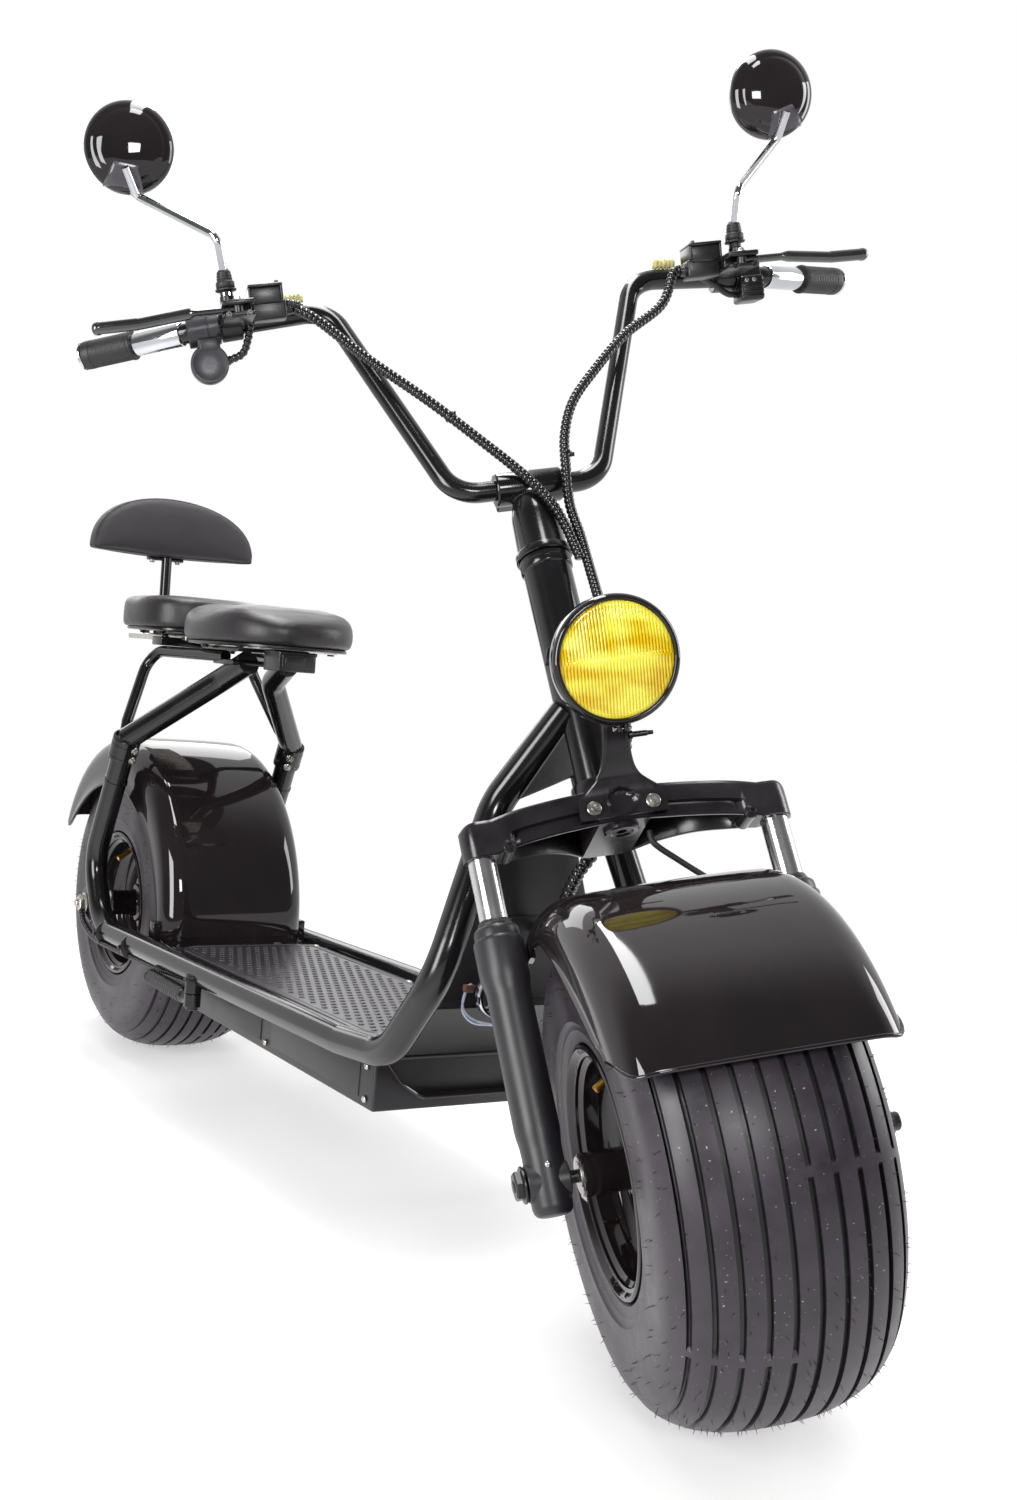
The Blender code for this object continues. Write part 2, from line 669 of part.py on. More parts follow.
def make_floor(chassis):
    bm = new_mesh()
    block(bm, (-BOX_HALF_WIDTH, BOX_FRONT, BOX_BOTTOM), (BOX_HALF_WIDTH, BOX_REAR, BOX_TOP))
    finish("battery_box", bm, "box_black", chassis)
    bm = new_mesh()
    low = BOX_TOP + GAP
    outline = [(DECK_FRONT - 0.055, low), (DECK_REAR, low), (DECK_REAR, deck_height(DECK_REAR)),
               (DECK_FRONT - 0.055, deck_height(DECK_FRONT - 0.055))]
    prism(bm, outline, -BETWEEN_TUBES, BETWEEN_TUBES)
    finish("deck_plate", bm, "black_paint", chassis)
    bm = new_mesh()
    front, rear = DECK_FRONT - 0.03, DECK_REAR - 0.012
    corner = 0.035
    half = DECK_HALF_WIDTH - 0.006
    outline = []
    for x, y, start in ((half, front, -90), (half, rear, 0), (-half, rear, 90), (-half, front, 180)):
        cx = x - math.copysign(corner, x)
        cy = y + (corner if y == front else -corner)
        for step in range(5):
            turn = math.radians(start + 90 * step / 4)
            outline.append((cx + corner * math.cos(turn), cy + corner * math.sin(turn)))
    rings = [[(x, y, deck_height(y) + lift) for x, y in outline] for lift in (GAP, 0.004)]
    skin(bm, rings)
    finish("deck_mat", bm, "rubber", chassis)
    bm = new_mesh()
    rings = []
    for height, y, half in ((0.2415, 0.345, 0.052), (0.1015, 0.352, 0.104), (0.0615, 0.356, 0.112),
                            (0.0575, 0.338, 0.112), (0.0165, 0.386, BETWEEN_TUBES),
                            (-0.0145, 0.418, BETWEEN_TUBES)):
        rings.append([above(-half, y, height), above(half, y, height),
                      above(half, y + 0.004, height), above(-half, y + 0.004, height)])
    skin(bm, rings)
    finish("front_panel", bm, "black_paint", chassis)
    bm = new_mesh()
    rings = []
    corners = ((0.116, 0.0), (0.094, 0.0275), (0.066, 0.0455))
    for x, drop in corners + tuple((-x, drop) for x, drop in reversed(corners)):
        rings.append([(x * share, y, BOX_TOP + 0.0035 - drop * (share * 2.4 - 1.4))
                      for share, y in ((1, BOX_FRONT - 0.018), (1, BOX_FRONT - GAP),
                                       (0.975, BOX_FRONT - GAP), (0.975, BOX_FRONT - 0.018))])
    skin(bm, rings)
    finish("nose_lip", bm, "black_paint", chassis)
    bm = new_mesh()
    turned(bm, above(-0.033, 0.338 - GAP, 0.0715), (0, -1, 0), [
        (0, 0.018), (0.004, 0.020), (0.010, 0.022), (0.020, 0.022), (0.022, 0.019)], 20)
    finish("horn", bm, "satin_black", chassis)


def make_seat_frame(chassis):
    pieces = []
    ends = []
    for side in (1, -1):
        joint = mirrored(SEAT_JOINT, side)
        bend = mirrored(aft(0.040, -0.234, 0.3660), side)
        top = mirrored(aft(0.030, -0.300, 0.3935), side)
        tube = new_mesh()
        sweep(tube, rounded([joint, bend, top], 0.05, 4), TUBE_RADIUS + 0.0005, 12)
        low = joint + Vector((-0.004 * side, 0.026, 0.012))
        corner = Vector((0.079 * side, WHEEL_BASE - 0.042, STAY_Z))
        front = Vector((0.050 * side, WHEEL_BASE - 0.264, STAY_Z))
        stay = new_mesh()
        sweep(stay, rounded([low, corner, front], 0.03, 4), STAY_RADIUS, 8)
        path = side_tube_path(side)
        up = (path[-1] - path[-2]).normalized()
        collar = new_mesh()
        cylinder(collar, path[-1] - up * 0.030, path[-1] + up * 0.006, TUBE_RADIUS + 0.0045)
        pieces += [tube, stay, collar]
        end = new_mesh()
        cylinder(end, path[-1] - up * 0.05, path[-1] + up * GAP, TUBE_RADIUS + GAP, 24)
        ends.append(end)
    web = new_mesh()
    block(web, aft(-0.056, -0.302, 0.3885), aft(0.056, -0.232, 0.3965))
    whole = union(web, *pieces)
    clear = new_mesh()
    block(clear, (-0.2, WHEEL_BASE - 0.44, SADDLE_BOTTOM - 0.007),
          (0.2, WHEEL_BASE + 0.26, SADDLE_BOTTOM + 0.1))
    finish("seat_frame", cut(whole, clear, *ends), "black_paint", chassis)
    bm = new_mesh()
    front = WHEEL_BASE - 0.397
    block(bm, (-0.060, front, SADDLE_BOTTOM - 0.0065), (0.060, front + 0.205, SADDLE_BOTTOM - GAP))
    tray = new_mesh()
    block(tray, (-0.038, front - 0.020, SADDLE_BOTTOM - 0.034),
          (0.018, front + 0.030, SADDLE_BOTTOM - 0.004))
    foot = new_mesh()
    block(foot, (-0.058, front + 0.117, STAY_Z + STAY_RADIUS + GAP),
          (0.058, front + 0.155, SADDLE_BOTTOM - 0.004))
    finish("saddle_plate", union(bm, tray, foot), "steel", chassis)
    bm = new_mesh()
    front = WHEEL_BASE - 0.107
    block(bm, (-0.050, front, PAD_BOTTOM - 0.018), (0.050, POST_Y + 0.022, PAD_BOTTOM - 0.008))
    rail = new_mesh()
    block(rail, (-0.040, front + 0.010, PAD_BOTTOM - 0.010), (0.040, front + 0.165, PAD_BOTTOM - GAP))
    foot = new_mesh()
    block(foot, (-0.084, front + 0.013, STAY_Z + STAY_RADIUS + GAP),
          (0.084, front + 0.051, PAD_BOTTOM - 0.012))
    finish("pad_plate", union(bm, rail, foot), "steel", chassis)


def cushion(centre_y, half_width, half_length, bottom, thickness, squareness):
    """A pad with a superellipse outline, a flat bottom and a rounded rim."""
    rings = []
    for share, lift in ((0.95, 0.0), (1.0, 0.25), (1.0, 0.60), (0.94, 0.86), (0.75, 1.0)):
        ring = []
        for step in range(28):
            turn = 2 * math.pi * step / 28
            cosine, sine = math.cos(turn), math.sin(turn)
            power = 2 / squareness
            x = half_width * math.copysign(abs(cosine) ** power, cosine)
            y = half_length * math.copysign(abs(sine) ** power, sine)
            ring.append((x * share, centre_y + y * share, bottom + thickness * lift))
        rings.append(ring)
    bm = new_mesh()
    skin(bm, rings)
    return bm


def make_seats(chassis):
    bm = cushion(SADDLE_CENTRE_Y, SADDLE_HALF_WIDTH, SADDLE_HALF_LENGTH, SADDLE_BOTTOM,
                 SADDLE_THICKNESS, 2.3)
    finish("saddle", bm, "vinyl", chassis)
    bm = cushion(PAD_CENTRE_Y, PAD_HALF_WIDTH, PAD_HALF_LENGTH, PAD_BOTTOM, PAD_THICKNESS, 2.8)
    finish("passenger_pad", bm, "vinyl", chassis)
    bm = new_mesh()
    cylinder(bm, (0, POST_Y, PAD_BOTTOM - 0.008 + GAP), (0, POST_Y, BACKREST_LOW - GAP), 0.0085, 16)
    finish("backrest_post", bm, "black_paint", chassis)
    bm = new_mesh()
    rings = []
    for share, offset in ((0.90, 0.0), (1.0, 0.010), (1.0, 0.034), (0.92, 0.046), (0.70, 0.052)):
        ring = []
        for step in range(25):
            turn = math.pi * step / 24
            x = BACKREST_HALF_WIDTH * share * math.cos(turn)
            up = BACKREST_HEIGHT * (share * math.sin(turn) ** 0.85 if share < 1 else math.sin(turn) ** 0.85)
            wrap = 0.028 * (x / BACKREST_HALF_WIDTH) ** 2
            ring.append((x, POST_Y + 0.026 - offset - wrap, BACKREST_LOW + up))
        rings.append(ring)
    skin(bm, rings)
    finish("backrest_pad", bm, "fabric", chassis)


def lamp_outline(grow):
    """The lamp shell's (distance back, radius) outline, grown by a clearance."""
    radius = LAMP_RADIUS + grow
    return [(0, radius - 0.005), (0.003, radius), (0.018, radius), (0.020, radius - 0.004),
            (0.040, radius - 0.010), (0.058, 0.034 + grow), (0.066 + grow, 0.014)]


def make_lamp(steering):
    centre = Vector(LAMP_CENTRE)
    facing = Vector((0, -1, 0.02)).normalized()
    bm = new_mesh()
    turned(bm, centre + facing * 0.008, -facing, lamp_outline(0), 28)
    hollow = new_mesh()
    bore = LAMP_RADIUS - 0.006
    turned(hollow, centre + facing * 0.02, -facing, [(0, bore), (0.018, bore)], 28)
    finish("lamp_shell", cut(bm, hollow), "satin_black", steering)
    bm = new_mesh()
    turned(bm, centre + facing * 0.0023, facing, [
        (0, LAMP_RADIUS - 0.0063), (0.003, LAMP_RADIUS - 0.0065), (0.007, 0.040), (0.009, 0.018)], 28)
    finish("lamp_lens", bm, "yellow_glass", steering)
    bm = new_mesh()
    rings = []
    for along, forward, half, thick in ((0.322, 0.0103, 0.043, 0.006), (0.345, 0.0103, 0.043, 0.006),
                                        (0.360, 0.016, 0.020, 0.008), (0.384, 0.034, 0.013, 0.008),
                                        (0.398, 0.048, 0.013, 0.008), (0.418, 0.055, 0.013, 0.008)):
        rings.append([fork(x, forward + f, along) for x, f in (
            (-half, 0), (half, 0), (half, -thick), (-half, -thick))])
    skin(bm, rings)
    clear = new_mesh()
    turned(clear, centre + facing * 0.008, -facing, lamp_outline(GAP), 28)
    finish("lamp_bracket", cut(bm, clear), "cast_black", steering)


def bar_path():
    top = column(CLAMP_AT)
    half = [top, top + Vector((0.080, 0, 0)), Vector(BAR_BEND), Vector(GRIP_INNER),
            Vector(GRIP_OUTER)]
    left = rounded(half, 0.040, 4)
    right = [mirrored(point, -1) for point in reversed(left)]
    return right + left[1:]


def make_bars(steering):
    path = bar_path()
    bm = new_mesh()
    sweep(bm, path, BAR_RADIUS, 10)
    finish("handlebar", bm, "black_paint", steering)
    inner, outer = Vector(GRIP_INNER), Vector(GRIP_OUTER)
    along = (outer - inner).normalized()
    reach = (outer - inner).length
    for side, hand in ((1, "left"), (-1, "right")):
        base = mirrored(inner + along * 0.040, side)
        way = mirrored(along, side)
        bm = new_mesh()
        turned(bm, base, way, [(0, 0.013), (0.030, 0.013), (0.031, GRIP_RADIUS),
                               (reach - 0.038, GRIP_RADIUS), (reach - 0.030, 0.0125)], 16)
        hole = new_mesh()
        cylinder(hole, base - way * 0.02, base + way * (reach - 0.040 + GAP), BAR_RADIUS + GAP, 16)
        finish(f"grip_{hand}", cut(bm, hole), "rubber", steering)


def bar_point(x):
    """The handlebar's centre at a distance to the left, between its bend and the grip."""
    bend, inner = Vector(BAR_BEND), Vector(GRIP_INNER)
    return bend + (inner - bend) * ((x - bend.x) / (inner.x - bend.x))


def make_controls(steering):
    hub = bar_point(PERCH_X)
    way = (Vector(GRIP_INNER) - bar_point(0.2)).normalized()
    for side, hand in ((1, "left"), (-1, "right")):
        collar = new_mesh()
        turned(collar, mirrored(hub - way * 0.012, side), mirrored(way, side), [
            (0, 0.015), (0.0015, 0.0165), (0.0225, 0.0165), (0.024, 0.015)], 16)
        solids = [collar]
        for near, far in (
            (above(0.262, 0.458, 0.8165), above(0.297, 0.540, 0.8345)),
            (above(0.226, 0.490, 0.8155), above(0.264, 0.516, 0.8355)),
            (above(0.228, 0.486, 0.8315), above(0.266, 0.522, 0.8575)),
            (above(0.255, 0.450, 0.8220), above(0.320, 0.476, 0.8290)),
        ):
            low, high = sorted((near.x * side, far.x * side))
            solid = new_mesh()
            block(solid, (low, near.y, near.z), (high, far.y, far.z))
            solids.append(solid)
        slot = solids.pop()
        boss = new_mesh()
        foot = mirrored(above(0.288, 0.505, 0.8295), side)
        cylinder(boss, foot, foot + Vector((0, 0, 0.016)), 0.008, 12)
        hole = new_mesh()
        cylinder(hole, mirrored(hub - way * 0.03, side), mirrored(hub + way * 0.03, side),
                 BAR_RADIUS + GAP, 16)
        bm = cut(union(*solids, boss), hole, slot)
        finish(f"brake_perch_{hand}", bm, "satin_black", steering)
        root = above(0.280, 0.4675, 0.8255)
        bend = above(0.330, 0.462, 0.8245)
        tip = Vector(LEVER_TIP)
        path = [mirrored(point, side) for point in rounded([root, bend, tip], 0.05, 4)]
        radii = [0.0032] * 3 + [0.0045] * (len(path) - 4) + [0.0040]
        bm = new_mesh()
        sweep(bm, path, radii, 8)
        ball = new_mesh()
        turned(ball, mirrored(tip - Vector((0.006, 0, 0)), side), mirrored((1, 0, 0), side), [
            (0, 0.004), (0.002, 0.0065), (0.007, 0.0075), (0.011, 0.0060), (0.013, 0.003)], 10)
        finish(f"brake_lever_{hand}", union(bm, ball), "satin_black", steering)
    bm = new_mesh()
    spot = bar_point(0.3095)
    turned(bm, mirrored(spot - way * 0.009, -1), mirrored(way, -1), [(0, 0.0165), (0.018, 0.0165)], 16)
    pod = new_mesh()
    turned(pod, mirrored(spot + Vector((0, -0.016, -0.040)), -1), (0, 1, 0), [
        (0, 0.018), (0.002, 0.020), (0.016, 0.020), (0.018, 0.018)], 20)
    neck = new_mesh()
    low, high = sorted((-(spot.x + 0.008), -(spot.x - 0.008)))
    block(neck, (low, spot.y - 0.015, spot.z - 0.036), (high, spot.y, spot.z - 0.010))
    hole = new_mesh()
    cylinder(hole, mirrored(spot - way * 0.03, -1), mirrored(spot + way * 0.03, -1), BAR_RADIUS + GAP, 16)
    finish("throttle_pod", cut(union(bm, pod, neck), hole), "satin_black", steering)
    bm = new_mesh()
    turned(bm, spot - way * 0.0095, way, [(0, 0.0165), (0.019, 0.0165)], 16)
    box = new_mesh()
    block(box, spot + Vector((-0.010, -0.026, -0.030)), spot + Vector((0.010, 0.006, -0.004)))
    hole = new_mesh()
    cylinder(hole, spot - way * 0.03, spot + way * 0.03, BAR_RADIUS + GAP, 16)
    finish("switch_block", cut(union(bm, box), hole), "satin_black", steering)


def make_mirrors(steering):
    centre = Vector(MIRROR_CENTRE)
    for side, hand in ((1, "left"), (-1, "right")):
        middle = mirrored(centre, side)
        boot = new_mesh()
        turned(boot, mirrored(above(0.288, 0.505, 0.8455 + GAP), side), (0, 0, 1), [
            (0, 0.0075), (0.004, 0.0075), (0.004, 0.0115), (0.012, 0.0112), (0.014, 0.009),
            (0.026, 0.0078), (0.029, 0.005)], 12)
        stem = new_mesh()
        points = [above(0.288, 0.505, 0.8675), above(0.291, 0.492, 0.9055), above(0.366, 0.558, 0.9675),
                  above(0.369, 0.560, 0.9835)]
        sweep(stem, rounded([mirrored(point, side) for point in points], 0.014, 3), MIRROR_STEM_RADIUS, 8)
        shell = new_mesh()
        turned(shell, middle, (0, -1, 0), [
            (0, MIRROR_RADIUS - 0.0015), (0.002, MIRROR_RADIUS), (0.010, MIRROR_RADIUS),
            (0.018, MIRROR_RADIUS - 0.008), (0.025, MIRROR_RADIUS - 0.026), (0.027, 0.012)], 24)
        recess = new_mesh()
        cylinder(recess, middle + Vector((0, 0.01, 0)), middle - Vector((0, 0.0035, 0)),
                 MIRROR_RADIUS - 0.003, 24)
        finish(f"mirror_body_{hand}", cut(union(shell, stem, boot), recess), "gloss_black", steering)
        glass = new_mesh()
        cylinder(glass, middle - Vector((0, 0.0035 - GAP, 0)), middle - Vector((0, 0.001, 0)),
                 MIRROR_RADIUS - 0.003 - GAP, 24)
        finish(f"mirror_glass_{hand}", glass, "mirror", steering)


def route(points, spacing):
    """A smooth path through the points, with a point about every spacing."""
    points = [Vector(point) for point in points]
    ends = [points[0] * 2 - points[1]] + points + [points[-1] * 2 - points[-2]]
    path = []
    for a, b, c, d in zip(ends, ends[1:], ends[2:], ends[3:]):
        steps = max(1, round((c - b).length / spacing))
        for step in range(steps):
            t = step / steps
            path.append((b * 2 + (c - a) * t + (a * 2 - b * 5 + c * 4 - d) * t ** 2
                         + (b * 3 - a - c * 3 + d) * t ** 3) / 2)
    return path + [points[-1]]


def cable(name, points, radius, look, where):
    """A cable along its route, as a curve with a round section and closed ends."""
    curve = bpy.data.curves.new(name, "CURVE")
    curve.dimensions = "3D"
    curve.bevel_depth = radius
    curve.bevel_resolution = 1
    curve.use_fill_caps = True
    path = route(points, radius * 5)
    spline = curve.splines.new("POLY")
    spline.points.add(len(path) - 1)
    for spot, point in zip(spline.points, path):
        spot.co = (*point, 1)
    made = bpy.data.objects.new(name, curve)
    bpy.context.scene.collection.objects.link(made)
    made.data.materials.append(MATERIALS[look])
    empty, pivot = where
    made.parent = empty
    made.location = -Vector(pivot)


def make_cables(steering, chassis):
    cable("harness_right", [
        above(-0.2255, 0.508, 0.8260), above(-0.2150, 0.508, 0.8258), above(-0.1908, 0.505, 0.8098),
        above(-0.1495, 0.480, 0.7651), above(-0.0901, 0.445, 0.7074), above(-0.0453, 0.420, 0.6604),
        above(-0.0102, 0.394, 0.6205), above(0.0110, 0.372, 0.5892), above(0.0235, 0.363, 0.5609),
        above(0.0292, 0.3370, 0.5262)], HARNESS_RADIUS, "rubber", steering)
    cable("harness_left", [
        above(0.2255, 0.508, 0.8260), above(0.2150, 0.508, 0.8258), above(0.1934, 0.495, 0.7906),
        above(0.1399, 0.470, 0.7593), above(0.0950, 0.445, 0.7227), above(0.0617, 0.425, 0.6898),
        above(0.0453, 0.410, 0.6552), above(0.0376, 0.389, 0.6182), above(0.0350, 0.378, 0.5809),
        above(0.0380, 0.360, 0.5486), above(0.0375, 0.335, 0.5168), above(0.0363, 0.310, 0.4890),
        above(0.0340, 0.285, 0.4665), above(0.0220, 0.245, 0.4430), above(0.0060, 0.215, 0.4310),
        above(0.0, 0.1960, 0.4303)], HARNESS_RADIUS, "rubber", steering)
    cable("harness_lower", [
        column(0.500, x=0.0290, forward=0.019), column(0.440, x=0.0345, forward=0.020),
        column(0.395, x=0.0375, forward=-0.006), column(0.366, x=0.0335, forward=-0.036), above(0.0270, 0.2725, 0.2330),
        above(0.0140, 0.2830, 0.2030), above(0.0120, 0.2985, 0.1700), above(0.0160, 0.3165, 0.1430),
        above(0.0175, 0.3355, 0.1366), above(0.0180, 0.3492, 0.1364)], LOWER_HARNESS_RADIUS, "rubber", chassis)
    cable("brake_hose", [
        fork(0.030, -0.030, CROWN_LOW + 0.0177), fork(0.033, -0.032, 0.302), fork(0.055, -0.036, 0.282),
        fork(0.085, -0.040, 0.256), fork(LEG_X - 0.041, -0.038, 0.236), fork(LEG_X - 0.0318, -0.0318, 0.222),
        fork(LEG_X - 0.0178, -0.0178, 0.209)], HOSE_RADIUS, "rubber", steering)


def make_hinged(stand, pegs):
    pivot = Vector(STAND_PIVOT)
    out = stand_way()
    reach = stand_reach()
    foot = pivot + out * reach
    bm = new_mesh()
    sweep(bm, rounded([pivot, pivot + out * reach * 0.96], 0.02), STAND_RADIUS, 10)
    pad = new_mesh()
    turned(pad, foot, floor_up(), [(0, 0.018), (0.004, 0.018), (0.010, 0.010)], 12)
    knuckle = new_mesh()
    axis = stand_axis()
    cylinder(knuckle, pivot - axis * 0.006, pivot + axis * 0.006, 0.013, 16)
    slot = new_mesh()
    cylinder(slot, pivot - axis * 0.02, pivot - axis * 0.006, 0.018, 16)
    other = new_mesh()
    cylinder(other, pivot + axis * 0.006, pivot + axis * 0.02, 0.018, 16)
    hole = new_mesh()
    cylinder(hole, pivot - axis * 0.03, pivot + axis * 0.03, PIN_RADIUS + GAP, 16)
    finish("side_stand", cut(union(bm, pad, knuckle), slot, other, hole), "black_paint", stand)
    for side, hand, where in pegs:
        place = mirrored(PEG_PIVOT, side)
        knuckle = new_mesh()
        cylinder(knuckle, place - Vector((0, 0, 0.009)), place + Vector((0, 0, 0.009)), 0.011, 16)
        bar = new_mesh()
        turned(bar, place, (0, 1, 0), [
            (0, 0.0075), (0.012, 0.0085), (0.060, 0.010), (0.150, 0.011), (0.156, 0.009)], 12)
        hole = new_mesh()
        cylinder(hole, place - Vector((0, 0, 0.02)), place + Vector((0, 0, 0.02)), PIN_RADIUS + GAP, 16)
        finish(f"peg_{hand}", cut(union(bar, knuckle), hole), "black_paint", where)


def floor_up():
    """The floor's upward direction, seen in the upright vehicle's frame."""
    return Vector((-math.sin(LEAN), 0, math.cos(LEAN)))


def stand_way():
    """The stand leg's direction, down and outward from its pivot."""
    return Vector((math.sin(STAND_SPLAY), 0, -math.cos(STAND_SPLAY)))


def stand_axis():
    """The stand's hinge pin, square to its leg and to the tube that it folds along."""
    return Vector((math.cos(STAND_SPLAY), 0, math.sin(STAND_SPLAY)))


def tyre_contact():
    """How far the leaning rear tyre's lowest point lies from its axle, along the floor's normal."""
    up = floor_up()
    return min(Vector((x, 0, -radius)).dot(up) for x, radius in tyre_section())


def stand_reach():
    """The leg's length that puts its foot on the floor when both tyres touch it."""
    up = floor_up()
    floor = REAR_AXLE.dot(up) + tyre_contact()
    pivot = Vector(STAND_PIVOT)
    return (pivot.dot(up) - floor) / -stand_way().dot(up)


def lowest(name, matrix):
    mesh = bpy.data.objects[name].data
    return min((matrix @ vertex.co).z for vertex in mesh.vertices)


def set_down(vehicle):
    """Leans the vehicle on its stand and pitches it until both tyres touch z = 0."""
    steer = (Matrix.Translation(STEER_PIVOT) @ Matrix.Rotation(STEER_AT_REST, 4, ALONG)
             @ Matrix.Translation(-STEER_PIVOT))
    lean = Matrix.Rotation(LEAN, 4, "Y")
    low, high = -0.05, 0.05
    for _ in range(40):
        pitch = (low + high) / 2
        turn = lean @ Matrix.Rotation(pitch, 4, "X")
        front = lowest("front_tyre", turn @ steer)
        rear = lowest("rear_tyre", turn)
        if front > rear:
            low = pitch
        else:
            high = pitch
    vehicle.matrix_world = Matrix.Translation((0, 0, -rear)) @ turn
    bpy.context.view_layer.update()
    nodes = [made for made in bpy.data.objects if made.type == "MESH"]
    points = [made.matrix_world @ vertex.co for made in nodes for vertex in made.data.vertices]
    middle = Vector()
    for axis in (0, 1):
        across = [point[axis] for point in points]
        middle[axis] = (min(across) + max(across)) / 2
    vehicle.matrix_world = Matrix.Translation(-middle) @ vehicle.matrix_world


def build():
    for old in list(bpy.data.objects):
        bpy.data.objects.remove(old)
    for name, colour, roughness, metallic in (
        ("black_paint", (0.012, 0.012, 0.013), 0.25, 0.0),
        ("gloss_black", (0.008, 0.008, 0.009), 0.05, 0.0),
        ("satin_black", (0.018, 0.018, 0.019), 0.45, 0.0),
        ("cast_black", (0.020, 0.020, 0.021), 0.40, 0.0),
        ("box_black", (0.025, 0.025, 0.027), 0.55, 0.0),
        ("chrome", (0.75, 0.75, 0.76), 0.08, 1.0),
        ("steel", (0.45, 0.45, 0.46), 0.30, 1.0),
        ("tyre", (0.030, 0.030, 0.031), 0.75, 0.0),
        ("rubber", (0.022, 0.022, 0.023), 0.70, 0.0),
        ("vinyl", (0.022, 0.022, 0.024), 0.50, 0.0),
        ("fabric", (0.020, 0.020, 0.021), 0.90, 0.0),
        ("yellow_glass", (0.90, 0.72, 0.02), 0.10, 0.0),
        ("mirror", (0.85, 0.85, 0.86), 0.03, 1.0),
    ):
        material(name, colour, roughness, metallic)
    vehicle = make_empty("vehicle", (0, 0, 0))
    turning = make_empty("steering", STEER_PIVOT, vehicle)
    turning.rotation_mode = "AXIS_ANGLE"
    turning.rotation_axis_angle = (STEER_AT_REST, *ALONG)
    front_spin = make_empty("front_spin", FRONT_AXLE, turning, STEER_PIVOT)
    rear_spin = make_empty("rear_spin", REAR_AXLE, vehicle)
    stand_hinge = make_empty("stand_hinge", STAND_PIVOT, vehicle)
    pegs = []
    for side, hand in ((1, "left"), (-1, "right")):
        place = mirrored(PEG_PIVOT, side)
        pegs.append((side, hand, (make_empty(f"{hand}_peg_hinge", place, vehicle), place)))
    chassis = (vehicle, (0, 0, 0))
    steering = (turning, STEER_PIVOT)
    make_wheels((front_spin, FRONT_AXLE), (rear_spin, REAR_AXLE))
    make_fenders(steering, chassis)
    make_fork(steering)
    make_crown(steering)
    make_stem(steering)
    make_head(chassis)
    make_side_tubes(chassis)
    make_rear_axle(chassis)
    make_floor(chassis)
    make_seat_frame(chassis)
    make_seats(chassis)
    make_lamp(steering)
    make_bars(steering)
    make_controls(steering)
    make_mirrors(steering)
    make_cables(steering, chassis)
    make_hinged((stand_hinge, STAND_PIVOT), pegs)
    set_down(vehicle)


build()
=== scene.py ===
# %% [markdown]
# # An electric chopper scooter, dressed for a studio photograph
#
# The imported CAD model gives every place, size and joint. This notebook-like
# script puts the finished surfaces round it: tyres with their grooves, clear
# lacquer, cast aluminium, sewn seats and the wound cable harness. It reads
# nothing but the frame, and leaves the rendering to whoever runs it.

import json
import math

import bmesh
import bpy
import numpy as np
from mathutils import Matrix, Vector
from mathutils.bvhtree import BVHTree


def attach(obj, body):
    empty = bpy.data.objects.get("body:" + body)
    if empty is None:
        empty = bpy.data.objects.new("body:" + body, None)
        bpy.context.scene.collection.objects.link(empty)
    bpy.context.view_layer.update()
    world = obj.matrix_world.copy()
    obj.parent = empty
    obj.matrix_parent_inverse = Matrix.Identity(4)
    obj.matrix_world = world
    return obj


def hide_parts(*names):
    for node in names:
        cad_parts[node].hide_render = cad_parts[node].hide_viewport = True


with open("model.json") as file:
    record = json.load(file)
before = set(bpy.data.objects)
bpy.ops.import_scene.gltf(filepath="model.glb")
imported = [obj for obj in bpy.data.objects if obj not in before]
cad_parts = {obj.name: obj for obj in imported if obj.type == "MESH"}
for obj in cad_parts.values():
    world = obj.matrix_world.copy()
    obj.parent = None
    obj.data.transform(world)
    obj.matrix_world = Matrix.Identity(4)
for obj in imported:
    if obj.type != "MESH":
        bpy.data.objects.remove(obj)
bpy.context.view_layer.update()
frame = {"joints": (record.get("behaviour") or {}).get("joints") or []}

# %% [markdown]
# The scooter leans on its side stand with the bars turned, so nothing on it
# lies square to the room. Every piece below is drawn in the upright vehicle's
# own frame instead: +X the rider's left, -Y the way it drives, +Z up, the
# ground at zero and the front axle above y = 0. Two matrices then carry a
# piece to its place, one for what the frame carries and one for what the
# handlebar turns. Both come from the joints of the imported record, so they
# follow the CAD if its lean or steering angle changes.

# %% The upright vehicle's frame, and the turned fork's
WHEEL_BASE = 1.342
TYRE_RADIUS = 0.2285
TYRE_HALF_WIDTH = 0.101
RAKE = math.radians(29.6)
FORK_OFFSET = 0.0616

JOINTS = {joint["name"]: joint for joint in frame["joints"]}
ALONG = Vector((0, math.sin(RAKE), math.cos(RAKE)))
FORWARD = Vector((0, -math.cos(RAKE), math.sin(RAKE)))
FRONT_AXLE = Vector((0, 0, TYRE_RADIUS))
REAR_AXLE = Vector((0, WHEEL_BASE, TYRE_RADIUS))


def joint_place(name):
    return Vector(JOINTS[name]["pos_m"])


def joint_axis(name):
    return Vector(JOINTS[name]["axis"]).normalized()


def columns(x, y, z):
    return Matrix((x, y, z)).transposed()


left = joint_axis("rear_wheel_spin")
up = -joint_axis("left_peg_fold")
turn = columns(left, up.cross(left), up)
CHASSIS = Matrix.Translation(joint_place("rear_wheel_spin") - turn @ REAR_AXLE) @ turn.to_4x4()

left = joint_axis("front_wheel_spin")
along = joint_axis("steer")
turn = columns(left, left.cross(along), along) @ columns(Vector((1, 0, 0)), FORWARD, ALONG).inverted()
STEERED = Matrix.Translation(joint_place("front_wheel_spin") - turn @ FRONT_AXLE) @ turn.to_4x4()
print("front axle in the row frame:", [round(value, 4) for value in STEERED @ FRONT_AXLE])


